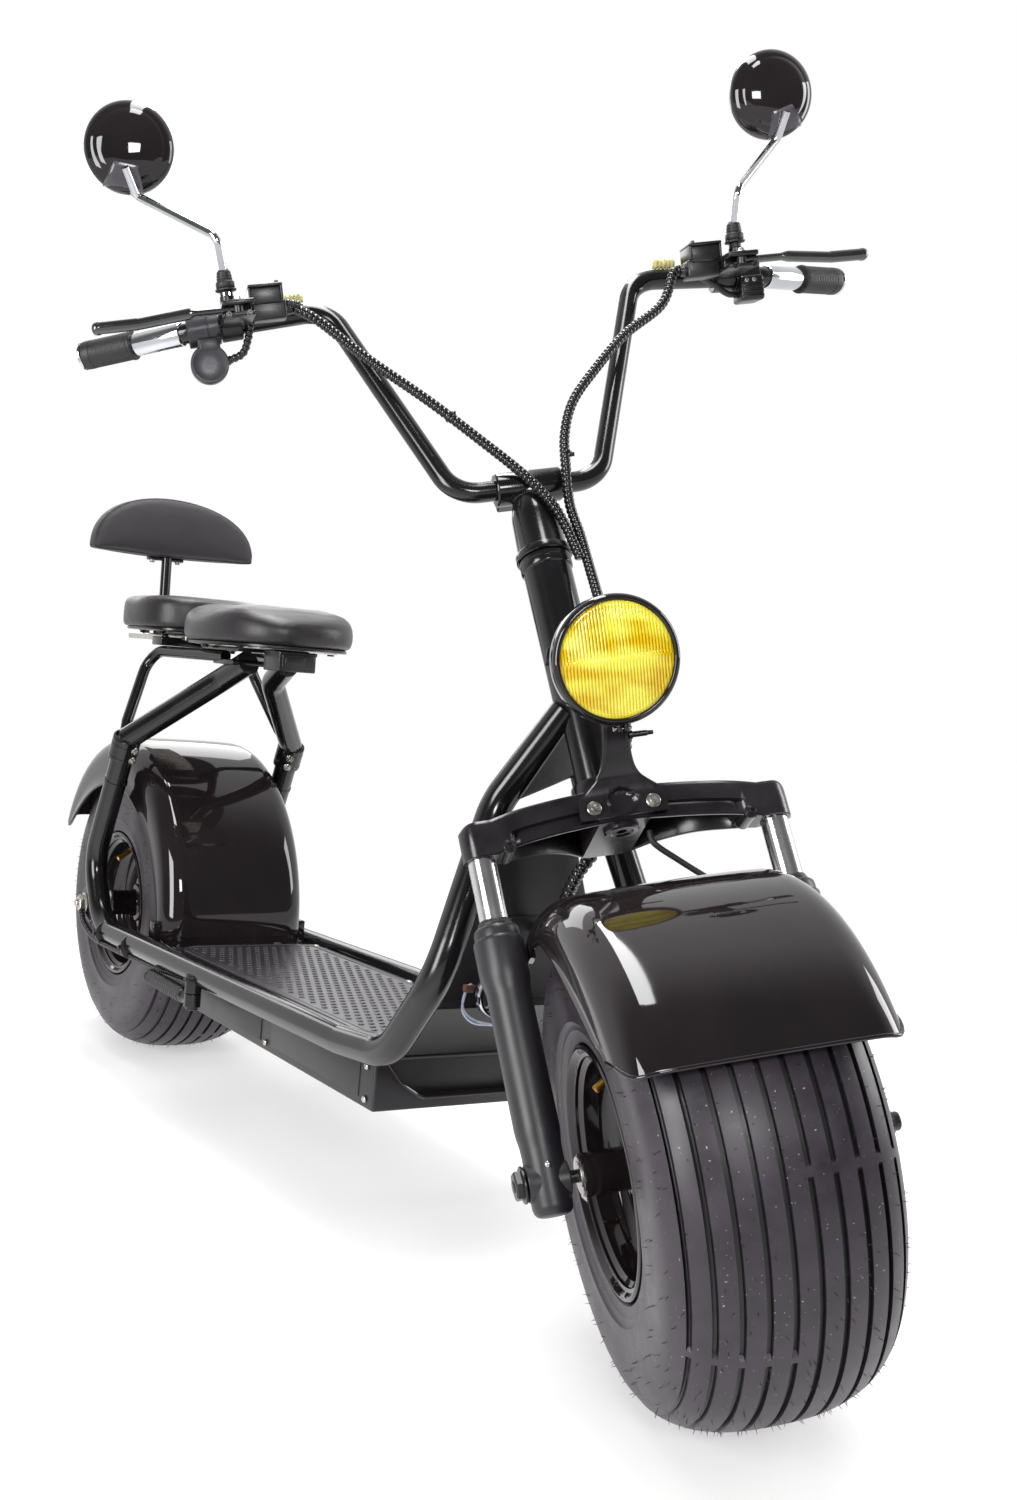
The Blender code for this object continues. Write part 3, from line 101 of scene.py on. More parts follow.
def fork(x, forward, along):
    """A point left of, ahead of and up along the fork legs, from the front axle."""
    return FRONT_AXLE + Vector((x, 0, 0)) + FORWARD * forward + ALONG * along


def column(along, x=0.0, forward=0.0):
    """The same, from the steering axis."""
    return fork(x, forward - FORK_OFFSET, along)


# %% [markdown]
# ## Colours and finishes
#
# A finish starts from what the surface really is and how it was made. Colours
# are written as sRGB hex, as a paint chart gives them, and one function turns
# them into the linear values that a renderer adds up. Each finish varies a
# little over a hand's breadth, in colour and in gloss, and carries a fine
# grain as bump: that is what tells the eye cast metal from lacquer. The
# grain's size is given in millimetres and read from Object coordinates, which
# are metres here.

# %% One function adds a node, one turns hex to linear
def linear(colour):
    """#rrggbb in sRGB to linear RGBA."""
    shares = [int(colour[place:place + 2], 16) / 255 for place in (1, 3, 5)]
    return [((share + 0.055) / 1.055) ** 2.4 if share > 0.04045 else share / 12.92
            for share in shares] + [1.0]


def add(tree, kind, inputs=None, **fields):
    """Adds a node, sets its fields, and sets or links its inputs."""
    node = tree.nodes.new(kind)
    for name, value in fields.items():
        setattr(node, name, value)
    for name, value in (inputs or {}).items():
        if isinstance(value, bpy.types.NodeSocket):
            tree.links.new(value, node.inputs[name])
        else:
            node.inputs[name].default_value = value
    return node


# %% A finish: colour patches, gloss patches and grain
MIX_A, MIX_B, MIX_RESULT = 6, 7, 2


def make_finish(name, light, dark, gloss, patch_mm, grain_mm, grain_depth_mm, **constants):
    """A Principled material. gloss is (smoothest, roughest); constants are sockets of the shader."""
    made = bpy.data.materials.new(name)
    made.use_nodes = True
    tree = made.node_tree
    shader = tree.nodes["Principled BSDF"]
    for socket, value in constants.items():
        shader.inputs[socket.replace("_", " ")].default_value = value
    place = add(tree, "ShaderNodeTexCoord").outputs["Object"]
    patch = add(tree, "ShaderNodeTexNoise",
                {"Vector": place, "Scale": 1000 / patch_mm, "Detail": 5.0, "Roughness": 0.6})
    spread = add(tree, "ShaderNodeMapRange",
                 {"Value": patch.outputs["Fac"], "From Min": 0.35, "From Max": 0.65})
    colour = add(tree, "ShaderNodeMix",
                 {0: spread.outputs["Result"], MIX_A: linear(dark), MIX_B: linear(light)}, data_type="RGBA")
    rough = add(tree, "ShaderNodeMapRange",
                {"Value": patch.outputs["Fac"], "From Min": 0.3, "From Max": 0.7,
                 "To Min": gloss[0], "To Max": gloss[1]})
    grain = add(tree, "ShaderNodeTexNoise",
                {"Vector": place, "Scale": 1000 / grain_mm, "Detail": 3.0, "Roughness": 0.55})
    bump = add(tree, "ShaderNodeBump",
               {"Height": grain.outputs["Fac"], "Distance": grain_depth_mm / 1000, "Strength": 1.0})
    tree.links.new(colour.outputs[MIX_RESULT], shader.inputs["Base Color"])
    tree.links.new(rough.outputs["Result"], shader.inputs["Roughness"])
    tree.links.new(bump.outputs["Normal"], shader.inputs["Normal"])
    return made


def object_place(tree):
    """The Object coordinates that a finish already reads."""
    return next(node for node in tree.nodes if node.type == "TEX_COORD").outputs["Object"]


FINISHES = {
    # Powder coat bakes to a smooth skin with a faint ripple, like orange peel.
    "powder_coat": make_finish("powder_coated_steel_tube", "#0f0e10", "#0a090a", (0.13, 0.2), 90, 2.2, 0.01,
                               IOR=1.5),
    # Sprayed lacquer under a clear coat: almost a mirror, with barely a ripple.
    "lacquer": make_finish("lacquered_sheet_steel", "#1a1516", "#120f10", (0.03, 0.06),
                           150, 3.5, 0.003, IOR=1.5),
    # Cast aluminium keeps the sand's grain under its satin paint.
    "cast": make_finish("painted_cast_aluminium", "#1e1b1e", "#131113", (0.16, 0.26), 40, 0.9, 0.035),
    "satin": make_finish("satin_painted_die_casting", "#141315", "#0d0c0e", (0.26, 0.36), 50, 0.8, 0.01),
    "leg": make_finish("satin_enamelled_fork_leg", "#1d1b1e", "#151316", (0.36, 0.44), 80, 1.2, 0.006),
    # The mat's rubber keeps the dull skin of its mould.
    "mat": make_finish("moulded_deck_rubber", "#2f2b30", "#232024", (0.28, 0.38), 60, 0.6, 0.01),
    # The throttle's nylon shell is a bluish grey that scatters light.
    "pod": make_finish("glass_filled_nylon", "#2e2d33", "#222127", (0.3, 0.4), 30, 0.7, 0.008),
    # Powder coat lies rougher on flat sheet than on tube.
    "box": make_finish("satin_powder_coated_sheet", "#1b191c", "#131214", (0.36, 0.48), 120, 0.8, 0.016),
    # Anodising leaves the lever's polish: black, yet a mirror along its edges.
    "lever": make_finish("black_anodised_aluminium", "#1d1a1d", "#121012", (0.12, 0.18),
                         60, 1.5, 0.003, IOR=1.9),
    # The mirror's hood is bare grey plastic, still shiny from its mould.
    "hood": make_finish("moulded_abs_hood", "#47434a", "#39363c", (0.16, 0.24), 30, 0.8, 0.003),
    # The fork tube's hard chrome is ground, so its mirror is softened.
    "hard_chrome": make_finish("ground_hard_chrome", "#dedcdc", "#cfccce", (0.17, 0.24),
                               60, 1.5, 0.002, Metallic=1.0),
    # Chrome plate is a bluish metal mirror.
    "chrome": make_finish("chrome_plate", "#cdced2", "#b8babf", (0.04, 0.1), 60, 1.5, 0.0015, Metallic=1.0),
    # Zinc plate is paler and duller, with a drawn grain.
    "zinc": make_finish("zinc_plated_steel", "#c9c6bf", "#a9a69f", (0.22, 0.34),
                        20, 0.6, 0.006, Metallic=1.0),
    # Tyre rubber is matt and slightly grey with dust where it has rolled.
    "tyre": make_finish("tyre_rubber", "#2d262f", "#1f1a21", (0.34, 0.48), 35, 0.8, 0.022),
    "grip": make_finish("moulded_grip_rubber", "#1b1a1b", "#121112", (0.44, 0.56), 25, 0.6, 0.02),
    "plastic": make_finish("injection_moulded_plastic", "#131213", "#0c0c0d", (0.24, 0.34), 45, 0.5, 0.006),
    "mirror": make_finish("silvered_mirror_glass", "#eef0f1", "#e3e6e8", (0.01, 0.02),
                          90, 4.0, 0.0005, Metallic=1.0),
    "brass": make_finish("brass_valve", "#c99a3c", "#a97e2c", (0.22, 0.34), 12, 0.5, 0.004, Metallic=1.0),
}
print("finishes:", len(FINISHES))

# %% [markdown]
# ## Shapes that every piece is made of
#
# Most of a scooter is bent tube, turned parts and pressed sheet. All three are
# one idea in mesh terms: a row of rings with as many points each, and a skin of
# quads between them. A tube puts a circle at each point of its path, a turned
# part changes the circle's radius along a straight axis, and a sheet's ring is
# its flat cross-section. So one skin function carries nearly everything, and
# only the way the rings are placed differs.

# %% Rings and the skin between them
def smooth_step(value, low, high):
    share = min(max((value - low) / (high - low), 0.0), 1.0)
    return share * share * (3 - 2 * share)


def skin(bm, rings, loop=False, capped=True):
    """Quads between rings of as many points. loop joins the last ring to the first."""
    made = [[bm.verts.new(point) for point in ring] for ring in rings]
    pairs = list(zip(made, made[1:]))
    if loop:
        pairs.append((made[-1], made[0]))
    for near, far in pairs:
        for side in range(len(near)):
            after = (side + 1) % len(near)
            bm.faces.new((near[side], near[after], far[after], far[side]))
    if capped and not loop:
        bm.faces.new(list(reversed(made[0])))
        bm.faces.new(made[-1])
    return bm


def square_to(direction):
    """Two unit vectors square to a direction and to each other."""
    start = Vector((1, 0, 0)) if abs(direction.x) < 0.9 else Vector((0, 0, 1))
    across = (start - direction * start.dot(direction)).normalized()
    return across, direction.cross(across)


def full_turn(steps):
    """Even angles once round."""
    return [2 * math.pi * step / steps for step in range(steps)]


def ring(centre, across, up, radius, sides):
    return [centre + radius * (math.cos(turn) * across + math.sin(turn) * up) for turn in full_turn(sides)]


def on_wheel(centre, x, radius, turn):
    """A point round a wheel's axle, its angle counted from the front, upwards."""
    return centre + Vector((x, -radius * math.cos(turn), radius * math.sin(turn)))


# %% A smooth route through points, and a polyline with its corners rounded
def route(points, spacing):
    points = [Vector(point) for point in points]
    ends = [points[0] * 2 - points[1]] + points + [points[-1] * 2 - points[-2]]
    path = []
    for a, b, c, d in zip(ends, ends[1:], ends[2:], ends[3:]):
        steps = max(1, round((c - b).length / spacing))
        for step in range(steps):
            t = step / steps
            path.append((b * 2 + (c - a) * t + (a * 2 - b * 5 + c * 4 - d) * t ** 2
                         + (b * 3 - a - c * 3 + d) * t ** 3) / 2)
    return path + [points[-1]]


def rounded(points, radius, steps=10):
    points = [Vector(point) for point in points]
    path = [points[0]]
    for before, corner, after in zip(points, points[1:], points[2:]):
        back = (before - corner).normalized()
        ahead = (after - corner).normalized()
        half = back.angle(ahead) / 2
        reach = min(radius / math.tan(half), 0.48 * min((before - corner).length, (after - corner).length))
        centre = corner + (back + ahead).normalized() * math.hypot(reach * math.tan(half), reach)
        start, end = corner + back * reach - centre, corner + ahead * reach - centre
        axis = start.cross(end).normalized()
        for step in range(steps + 1):
            path.append(centre + Matrix.Rotation(start.angle(end) * step / steps, 3, axis) @ start)
    return path + [points[-1]]


# %% A tube along a path, a turned part and a box with soft edges
def tube(bm, path, radii, sides=24):
    """radii is one radius, or one for each point of the path."""
    path = [Vector(point) for point in path]
    if not isinstance(radii, list):
        radii = [radii] * len(path)
    tangents = [(after - before).normalized()
                for before, after in zip([path[0]] + path[:-1], path[1:] + [path[-1]])]
    across = square_to(tangents[0])[0]
    rings = []
    for point, tangent, radius in zip(path, tangents, radii):
        across = (across - tangent * across.dot(tangent)).normalized()
        rings.append(ring(point, across, tangent.cross(across), radius, sides))
    return skin(bm, rings)


def revolved(bm, base, direction, profile, sides=48):
    """profile holds (distance along the axis, radius) from end to end."""
    direction = Vector(direction).normalized()
    across, up = square_to(direction)
    return skin(bm, [ring(Vector(base) + direction * along, across, up, radius, sides)
                     for along, radius in profile])


def turned(bm, base, direction, profile, sides=48):
    """The same for a part off the lathe, its profile in millimetres, as on a workshop drawing."""
    return revolved(bm, base, direction, [(along / 1000, radius / 1000) for along, radius in profile], sides)


def lathe(bm, loop, sides, centre):
    """A closed loop of (x, radius) points turned about a wheel's axle."""
    return skin(bm, [[on_wheel(centre, x, radius, turn) for x, radius in loop] for turn in full_turn(sides)],
                loop=True)


def soft_box(bm, low, high, edge=0.0015, steps=3):
    """A box whose edges are rounded, as a casting's or a folded sheet's are."""
    low, high = (Vector([pick(pair) for pair in zip(low, high)]) for pick in (min, max))
    corners = [[(low.x, low.y, z), (high.x, low.y, z), (high.x, high.y, z), (low.x, high.y, z)]
               for z in (low.z, high.z)]
    before = set(bm.edges)
    skin(bm, corners)
    fresh = [made for made in bm.edges if made not in before]
    bmesh.ops.bevel(bm, geom=fresh, offset=edge, segments=steps, profile=0.5, affect="EDGES")
    return bm


def mirrored(point, side):
    return Vector((point[0] * side, point[1], point[2]))


def above(x, y, z):
    """A point left of, behind and above the front axle."""
    return FRONT_AXLE + Vector((x, y, z))


def aft(x, y, z):
    """The same, from the rear axle."""
    return REAR_AXLE + Vector((x, y, z))


# %% Finish a piece: merge, turn its faces out, smooth it and carry it to its place
HANDS = ((1, "left"), (-1, "right"))


def mesh_of(name, bm):
    """The mesh of a finished bmesh, its faces pointing outwards."""
    bmesh.ops.recalc_face_normals(bm, faces=bm.faces)
    mesh = bpy.data.meshes.new(name)
    bm.to_mesh(mesh)
    bm.free()
    return mesh


def placed(name, data):
    made = bpy.data.objects.new(name, data)
    bpy.context.scene.collection.objects.link(made)
    return made


def settle(name, mesh, finish, body, stands_for=(), sharp=35):
    """Carries a mesh to its place, on the steering's side or on the frame's, and hides the CAD parts it stands
    for.
    """
    mesh.transform(STEERED if body in ("steering", "front_wheel") else CHASSIS)
    mesh.shade_smooth()
    mesh.set_sharp_from_angle(angle=math.radians(sharp))
    mesh.materials.clear()
    mesh.materials.append(FINISHES[finish])
    made = placed(name, mesh)
    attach(made, body)
    if stands_for:
        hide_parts(*stands_for)
    return made


def piece(name, bm, finish, body="frame", stands_for=(), sharp=35):
    """A piece drawn in the upright vehicle, on the frame's side or on the steering's."""
    bmesh.ops.remove_doubles(bm, verts=bm.verts, dist=2e-6)
    return settle(name, mesh_of(name, bm), finish, body, stands_for, sharp)


print("shape helpers ready")

# %% [markdown]
# ## The camera, the light and the floor
#
# The photograph was taken from ahead of the right-hand side, a little above
# the deck. The camera's place was worked out from the two wheels, the fork and
# the deck edges, whose real sizes are known, so it is written in the upright
# vehicle's frame. The picture was cropped off centre, which a small lens shift
# repeats.

# %% The camera
CAMERA_PLACE = Vector((-0.963, -1.037, 0.627))
CAMERA_YAW, CAMERA_PITCH, CAMERA_ROLL = 0.5269, -0.0962, 0.0793
FOCAL_PIXELS, SHIFT_RIGHT, SHIFT_UP = 1592.9, 103.6, 75.6
IMAGE_HEIGHT = 1500

ahead = Vector((math.sin(CAMERA_YAW) * math.cos(CAMERA_PITCH),
                math.cos(CAMERA_YAW) * math.cos(CAMERA_PITCH), math.sin(CAMERA_PITCH)))
right = ahead.cross(Vector((0, 0, 1))).normalized()
over = right.cross(ahead)
level = right * math.cos(CAMERA_ROLL) + over * math.sin(CAMERA_ROLL)
upright = -right * math.sin(CAMERA_ROLL) + over * math.cos(CAMERA_ROLL)
lens = bpy.data.cameras.new("studio_camera")
lens.sensor_fit = "VERTICAL"
lens.sensor_height = 24
lens.lens = 24 * FOCAL_PIXELS / IMAGE_HEIGHT
lens.shift_x = SHIFT_RIGHT / IMAGE_HEIGHT
lens.shift_y = SHIFT_UP / IMAGE_HEIGHT
lens.clip_start = 0.05
camera = placed("studio_camera", lens)
camera.matrix_world = (CHASSIS @ Matrix.Translation(CAMERA_PLACE)
                       @ columns(level, upright, -ahead).to_4x4())
bpy.context.scene.camera = camera
print("lens", round(lens.lens, 2), "mm on a 24 mm high sensor")

# %% [markdown]
# Black lacquer shows hardly anything but what it mirrors, so the lights are
# soft boxes. A wide one overhead gives the plain light, but no gloss sees it,
# or it would lie on every crown as a grey patch. A narrow strip beside it draws
# the long highlights along the tubes, tall boxes stand on each side, one stands
# behind, and a small one near the camera is the square glint in the mirrors.
# The white surround is the world and the floor as the camera and the gloss see
# them, which leaves the object's own light level plain.

# %% Soft boxes
ROW_CENTRE = CHASSIS @ Vector((0, 0.6, 0.55))


def soft_light(name, place, width, height, watts, mirrored_too=True):
    lamp = bpy.data.lights.new(name, "AREA")
    lamp.shape = "RECTANGLE"
    lamp.size, lamp.size_y = width, height
    lamp.energy = watts
    made = placed(name, lamp)
    made.location = place
    made.visible_glossy = mirrored_too
    made.rotation_euler = (ROW_CENTRE - Vector(place)).to_track_quat("-Z", "Y").to_euler()
    return made


LIGHTS = (
    soft_light("overhead_box", (0.2, -0.2, 3.0), 2.6, 3.4, 84, mirrored_too=False),
    soft_light("strip_box", (0.1, 0.3, 2.9), 0.5, 2.8, 66),
    soft_light("right_box", (-3.0, -1.0, 1.3), 1.1, 2.0, 92),
    soft_light("left_box", (2.9, -1.3, 1.6), 0.9, 2.0, 46),
    soft_light("front_box", (-1.3, -3.3, 1.8), 0.75, 0.55, 40),
    soft_light("rear_box", (0.6, 3.2, 2.0), 2.4, 1.6, 34),
)
print("lights:", len(LIGHTS))

# %% A white surround that the lacquer mirrors too
world = bpy.data.worlds.new("studio")
world.use_nodes = True
bpy.context.scene.world = world
tree = world.node_tree
lit = tree.nodes["Background"]
lit.inputs["Color"].default_value = linear("#f4f4f6")
lit.inputs["Strength"].default_value = 0.55
# The white screen stands behind the object. Towards the camera the room is
# dimmer, so black paint stays black there.
towards_screen = (CHASSIS.to_3x3() @ ahead).normalized()
sight = add(tree, "ShaderNodeTexCoord").outputs["Generated"]
facing = add(tree, "ShaderNodeVectorMath", {0: sight, 1: tuple(towards_screen)}, operation="DOT_PRODUCT")
screen = add(tree, "ShaderNodeMapRange",
             {"Value": facing.outputs["Value"], "From Min": -0.35, "From Max": 0.25,
              "To Min": 0.16, "To Max": 1.0}, interpolation_type="SMOOTHSTEP")
ray = add(tree, "ShaderNodeLightPath")
brightness = add(tree, "ShaderNodeMath", {0: ray.outputs["Is Camera Ray"], 1: screen.outputs["Result"]},
                 operation="MAXIMUM")
seen = add(tree, "ShaderNodeBackground",
           {"Color": linear("#ffffff"), "Strength": brightness.outputs["Value"]})
straight = add(tree, "ShaderNodeMath", {0: ray.outputs["Is Camera Ray"], 1: ray.outputs["Is Glossy Ray"]},
               operation="MAXIMUM")
either = add(tree, "ShaderNodeMath", {0: straight.outputs["Value"], 1: ray.outputs["Is Transmission Ray"]},
             operation="MAXIMUM")
mixed = add(tree, "ShaderNodeMixShader",
            {0: either.outputs["Value"], 1: lit.outputs["Background"], 2: seen.outputs["Background"]})
tree.links.new(mixed.outputs["Shader"], tree.nodes["World Output"].inputs["Surface"])

# %% The floor
bm = bmesh.new()
bmesh.ops.create_grid(bm, x_segments=2, y_segments=2, size=14)
mesh = bpy.data.meshes.new("studio_floor")
bm.to_mesh(mesh)
bm.free()
floor = placed("studio_floor", mesh)
FLOOR_PAPER = make_finish("matt_paper", "#fbf9f9", "#f8f6f6", (0.85, 0.95), 900, 6, 0.01)
tree = FLOOR_PAPER.node_tree
place = object_place(tree)
from_middle = add(tree, "ShaderNodeVectorMath", {0: place, 1: (0.1, 0.1, 0.0)}, operation="DISTANCE")
fade = add(tree, "ShaderNodeMapRange", {"Value": from_middle.outputs["Value"], "From Min": 0.7,
                                        "From Max": 1.9, "To Min": 0.45}, interpolation_type="SMOOTHSTEP")
paper_white = add(tree, "ShaderNodeEmission", {"Color": linear("#ffffff"), "Strength": 1.0})
blended = add(tree, "ShaderNodeMixShader",
              {0: fade.outputs["Result"], 1: tree.nodes["Principled BSDF"].outputs["BSDF"],
               2: paper_white.outputs["Emission"]})
tree.links.new(blended.outputs["Shader"], tree.nodes["Material Output"].inputs["Surface"])
mesh.materials.append(FLOOR_PAPER)
print("floor laid")

# %% [markdown]
# ## Tyres
#
# A fat scooter tyre is moulded in one piece: a round crown with ten shallow
# grooves running round it, each broken here and there by a short bridge of
# rubber, then a smooth sidewall with a rim guard ring. The outline follows one
# formula, so it is drawn as points a fixed distance apart along the curve, and
# the grooves are cut by lowering the points that fall inside one. The bridges
# only need a second rule, the angle at which a groove is left uncut.

# %% The tyre's outline, measured along its curve
RIM_FLANGE_RADIUS = 0.1117
TYRE_MIDDLE = (TYRE_RADIUS + RIM_FLANGE_RADIUS) / 2 - 0.005
GROOVE_PITCH, GROOVE_HALF, GROOVE_DEPTH = 0.0204, 0.0026, 0.0042
GROOVES = [(place - 4.5) * GROOVE_PITCH for place in range(10)]


def tyre_curve(turn):
    """The outer surface from one side wall, over the crown, to the other."""
    cosine, sine = math.cos(turn), math.sin(turn)
    return (-TYRE_HALF_WIDTH * math.copysign(abs(cosine) ** 0.8, cosine),
            TYRE_MIDDLE + (TYRE_RADIUS - TYRE_MIDDLE) * sine ** 0.8)


fine = np.array([tyre_curve(math.pi * step / 4000) for step in range(4001)])
reach = np.concatenate([[0], np.cumsum(np.hypot(*np.diff(fine, axis=0).T))])
reach -= reach[-1] / 2
HALF_REACH = reach[-1]


def tyre_point(along):
    return float(np.interp(along, reach, fine[:, 0])), float(np.interp(along, reach, fine[:, 1]))


stations = []
for groove, middle in enumerate(GROOVES):
    for offset, cut in ((-0.0034, 0), (-GROOVE_HALF, 0), (-0.002, 1), (0.002, 1), (GROOVE_HALF, 0),
                        (0.0034, 0)):
        stations.append((middle + offset, cut, groove))
    stations.append((middle + GROOVE_PITCH * 0.36, 0, groove))
    stations.append((middle + GROOVE_PITCH * 0.64, 0, groove))
edge = GROOVES[-1] + GROOVE_PITCH * 0.8
for share in (0.05, 0.25, 0.45, 0.65, 0.82, 0.94, 1.0):
    for hand in (1, -1):
        stations.append((hand * (edge + (HALF_REACH - edge) * share), 0, 0))
stations = sorted(set(stations))
print("points across the tyre:", len(stations), "edge at", round(edge, 4), "of", round(float(HALF_REACH), 4))


# %% The tyre with its grooves and their bridges
def tyre_rings(steps):
    """Rings of (x, radius) points round the wheel."""
    half = TYRE_HALF_WIDTH
    wall = [(half * 1.0, 0.158), (half * 0.995, 0.149), (half * 0.988, 0.139), (half * 0.9905, 0.1365),
            (half * 0.9905, 0.1325), (half * 0.972, 0.131), (half * 0.957, 0.1275), (half * 0.958, 0.1245),
            (half * 0.945, 0.1225), (half * 0.934, 0.1145), (half * 0.905, 0.1121), (half * 0.8, 0.1121),
            (half * 0.86, 0.13), (half * 0.9, 0.165), (half * 0.6, 0.21), (0.0, 0.218)]
    for step in range(steps):
        share = step / steps
        line = []
        for along, cut, groove in stations:
            x, radius = tyre_point(along)
            phase = 0.33 + (0.46 if groove > 4 else 0.0)
            open_here = cut and (share * 5 + phase) % 1.0 > 0.036
            if open_here:
                radius -= GROOVE_DEPTH * (TYRE_RADIUS - TYRE_MIDDLE) / math.hypot(
                    TYRE_RADIUS - TYRE_MIDDLE, abs(along) * 0.35)
            line.append((x, radius, 1.0 if open_here else 0.0))
        yield (line + [(x, radius, 0.0) for x, radius in wall]
               + [(-x, radius, 0.0) for x, radius in reversed(wall[:-1])])


def make_tyre(centre, steps):
    """The tyre's skin, with an attribute that is 1 on the floor of a groove, where the finish paints shade."""
    bm = bmesh.new()
    rings, floors = [], []
    for turn, line in zip(full_turn(steps), tyre_rings(steps)):
        rings.append([on_wheel(centre, x, radius, turn) for x, radius, floor_here in line])
        floors += [floor_here for x, radius, floor_here in line]
    skin(bm, rings, loop=True)
    # The groove attribute marks where shade is painted on the groove floors.
    layer = bm.verts.layers.float.new("groove")
    for vert, floor_here in zip(bm.verts, floors):
        vert[layer] = floor_here
    return bm


# Shade is painted near black on the floor of each groove, and dust dries to pale specks on the tread.
tree = FINISHES["tyre"].node_tree
rubber = tree.nodes["Principled BSDF"]
tread_colour = rubber.inputs["Base Color"].links[0].from_socket
place = object_place(tree)
dust = add(tree, "ShaderNodeTexNoise", {"Vector": place, "Scale": 1000 / 2.6, "Detail": 1.0})
specks = add(tree, "ShaderNodeMapRange", {"Value": dust.outputs["Fac"], "From Min": 0.73, "From Max": 0.8})
dusted = add(tree, "ShaderNodeMix", {0: specks.outputs["Result"],
                                     MIX_A: tread_colour, MIX_B: linear("#8d898d")}, data_type="RGBA")
# Painted shade: where the groove attribute is 1, the tread colour is mixed to near black.
depth = add(tree, "ShaderNodeAttribute", attribute_name="groove")
painted_groove_shade = add(tree, "ShaderNodeMix", {0: depth.outputs["Fac"], MIX_A: dusted.outputs[MIX_RESULT],
                                      MIX_B: linear("#040304")}, data_type="RGBA")
tree.links.new(painted_groove_shade.outputs[MIX_RESULT], rubber.inputs["Base Color"])


WHEELS = (("front", "front_wheel", FRONT_AXLE), ("rear", "rear_wheel", REAR_AXLE))
for end, body, centre in WHEELS:
    made = piece(f"{end}_tyre_rubber", make_tyre(centre, 420), "tyre", body, [f"{end}_tyre"], sharp=28)
    print(made.name, len(made.data.polygons), "faces")

# %% [markdown]
# New tyres carry whiskers: rubber that was squeezed into the mould's vent
# holes. They are a few millimetres long and stand wherever a vent was, so
# Geometry Nodes scatters one tapered whisker over the faces, square to the
# surface, with a fixed seed. The tread selection is left to the distribution's
# density, and the real tyre's whiskers are so thin that these are drawn a
# little thicker, to show at all.

# %% Whiskers by Geometry Nodes
def node_group(name, sockets):
    """A geometry tree with a mesh in, a mesh out and named inputs."""
    tree = bpy.data.node_groups.new(name, "GeometryNodeTree")
    tree.interface.new_socket("Geometry", in_out="INPUT", socket_type="NodeSocketGeometry")
    tree.interface.new_socket("Geometry", in_out="OUTPUT", socket_type="NodeSocketGeometry")
    for label, kind in sockets:
        tree.interface.new_socket(label, in_out="INPUT", socket_type=f"NodeSocket{kind}")
    return tree, add(tree, "NodeGroupInput").outputs, add(tree, "NodeGroupOutput")


def grown(source, tree, values, name):
    """The plain mesh that a tree makes of a source mesh, with its inputs set by their identifiers."""
    holder = placed(name, source)
    modifier = holder.modifiers.new(name, "NODES")
    modifier.node_group = tree
    for item in tree.interface.items_tree:
        if item.in_out == "INPUT" and item.name in values:
            modifier[item.identifier] = values[item.name]
    graph = bpy.context.evaluated_depsgraph_get()
    mesh = bpy.data.meshes.new_from_object(holder.evaluated_get(graph))
    bpy.data.objects.remove(holder)
    mesh.name = name
    return mesh


def end_tree(tree, geometry, outgoing, material):
    """Every tree ends alike: instances made real, smooth faces, one material."""
    real = add(tree, "GeometryNodeRealizeInstances", {"Geometry": geometry})
    smooth = add(tree, "GeometryNodeSetShadeSmooth", {"Geometry": real.outputs["Geometry"]})
    painted = add(tree, "GeometryNodeSetMaterial",
                  {"Geometry": smooth.outputs["Geometry"], "Material": material})
    tree.links.new(painted.outputs["Geometry"], outgoing.inputs["Geometry"])


whiskers, given, outgoing = node_group("tyre_whiskers", (
    ("Length", "Float"), ("Thickness", "Float"), ("Density", "Float"), ("Seed", "Int")))
spots = add(whiskers, "GeometryNodeDistributePointsOnFaces",
            {"Mesh": given["Geometry"], "Density": given["Density"], "Seed": given["Seed"]})
hair = add(whiskers, "GeometryNodeMeshCone",
           {"Vertices": 5, "Side Segments": 1, "Radius Top": 0.0001, "Radius Bottom": given["Thickness"],
            "Depth": given["Length"]})
turns = add(whiskers, "FunctionNodeRandomValue", data_type="FLOAT_VECTOR")
turns.inputs[0].default_value, turns.inputs[1].default_value = (-0.5, -0.5, 0), (0.5, 0.5, 0)
leaning = add(whiskers, "FunctionNodeRotateRotation",
              {"Rotation": spots.outputs["Rotation"], "Rotate By": turns.outputs["Value"]},
              rotation_space="LOCAL")
planted = add(whiskers, "GeometryNodeInstanceOnPoints",
              {"Points": spots.outputs["Points"], "Instance": hair.outputs["Mesh"],
               "Rotation": leaning.outputs["Rotation"]})
end_tree(whiskers, planted.outputs["Instances"], outgoing, FINISHES["tyre"])


def whisker_ground(centre):
    """The tread and side walls as a coarse shell, for the whiskers to stand on."""
    bm = bmesh.new()
    line = [tyre_point(HALF_REACH * share / 12) for share in range(-12, 13)]
    line = [(line[0][0], 0.15)] + line + [(line[-1][0], 0.15)]
    made = [[bm.verts.new(on_wheel(centre, x, radius, turn)) for x, radius in line] for turn in full_turn(72)]
    for near, far in zip(made, made[1:] + made[:1]):
        for side in range(len(near) - 1):
            bm.faces.new((near[side], near[side + 1], far[side + 1], far[side]))
    return mesh_of("ground", bm)


for seed, (end, body, centre) in enumerate(WHEELS):
    mesh = grown(whisker_ground(centre), whiskers,
                 {"Length": 0.0045, "Thickness": 0.00042, "Density": 2300.0, "Seed": 11 + seed},
                 f"{end}_tyre_whiskers")
    settle(f"{end}_tyre_whiskers", mesh, "tyre", body, (), 60)
    print(end, "whiskers:", len(mesh.polygons) // 7)

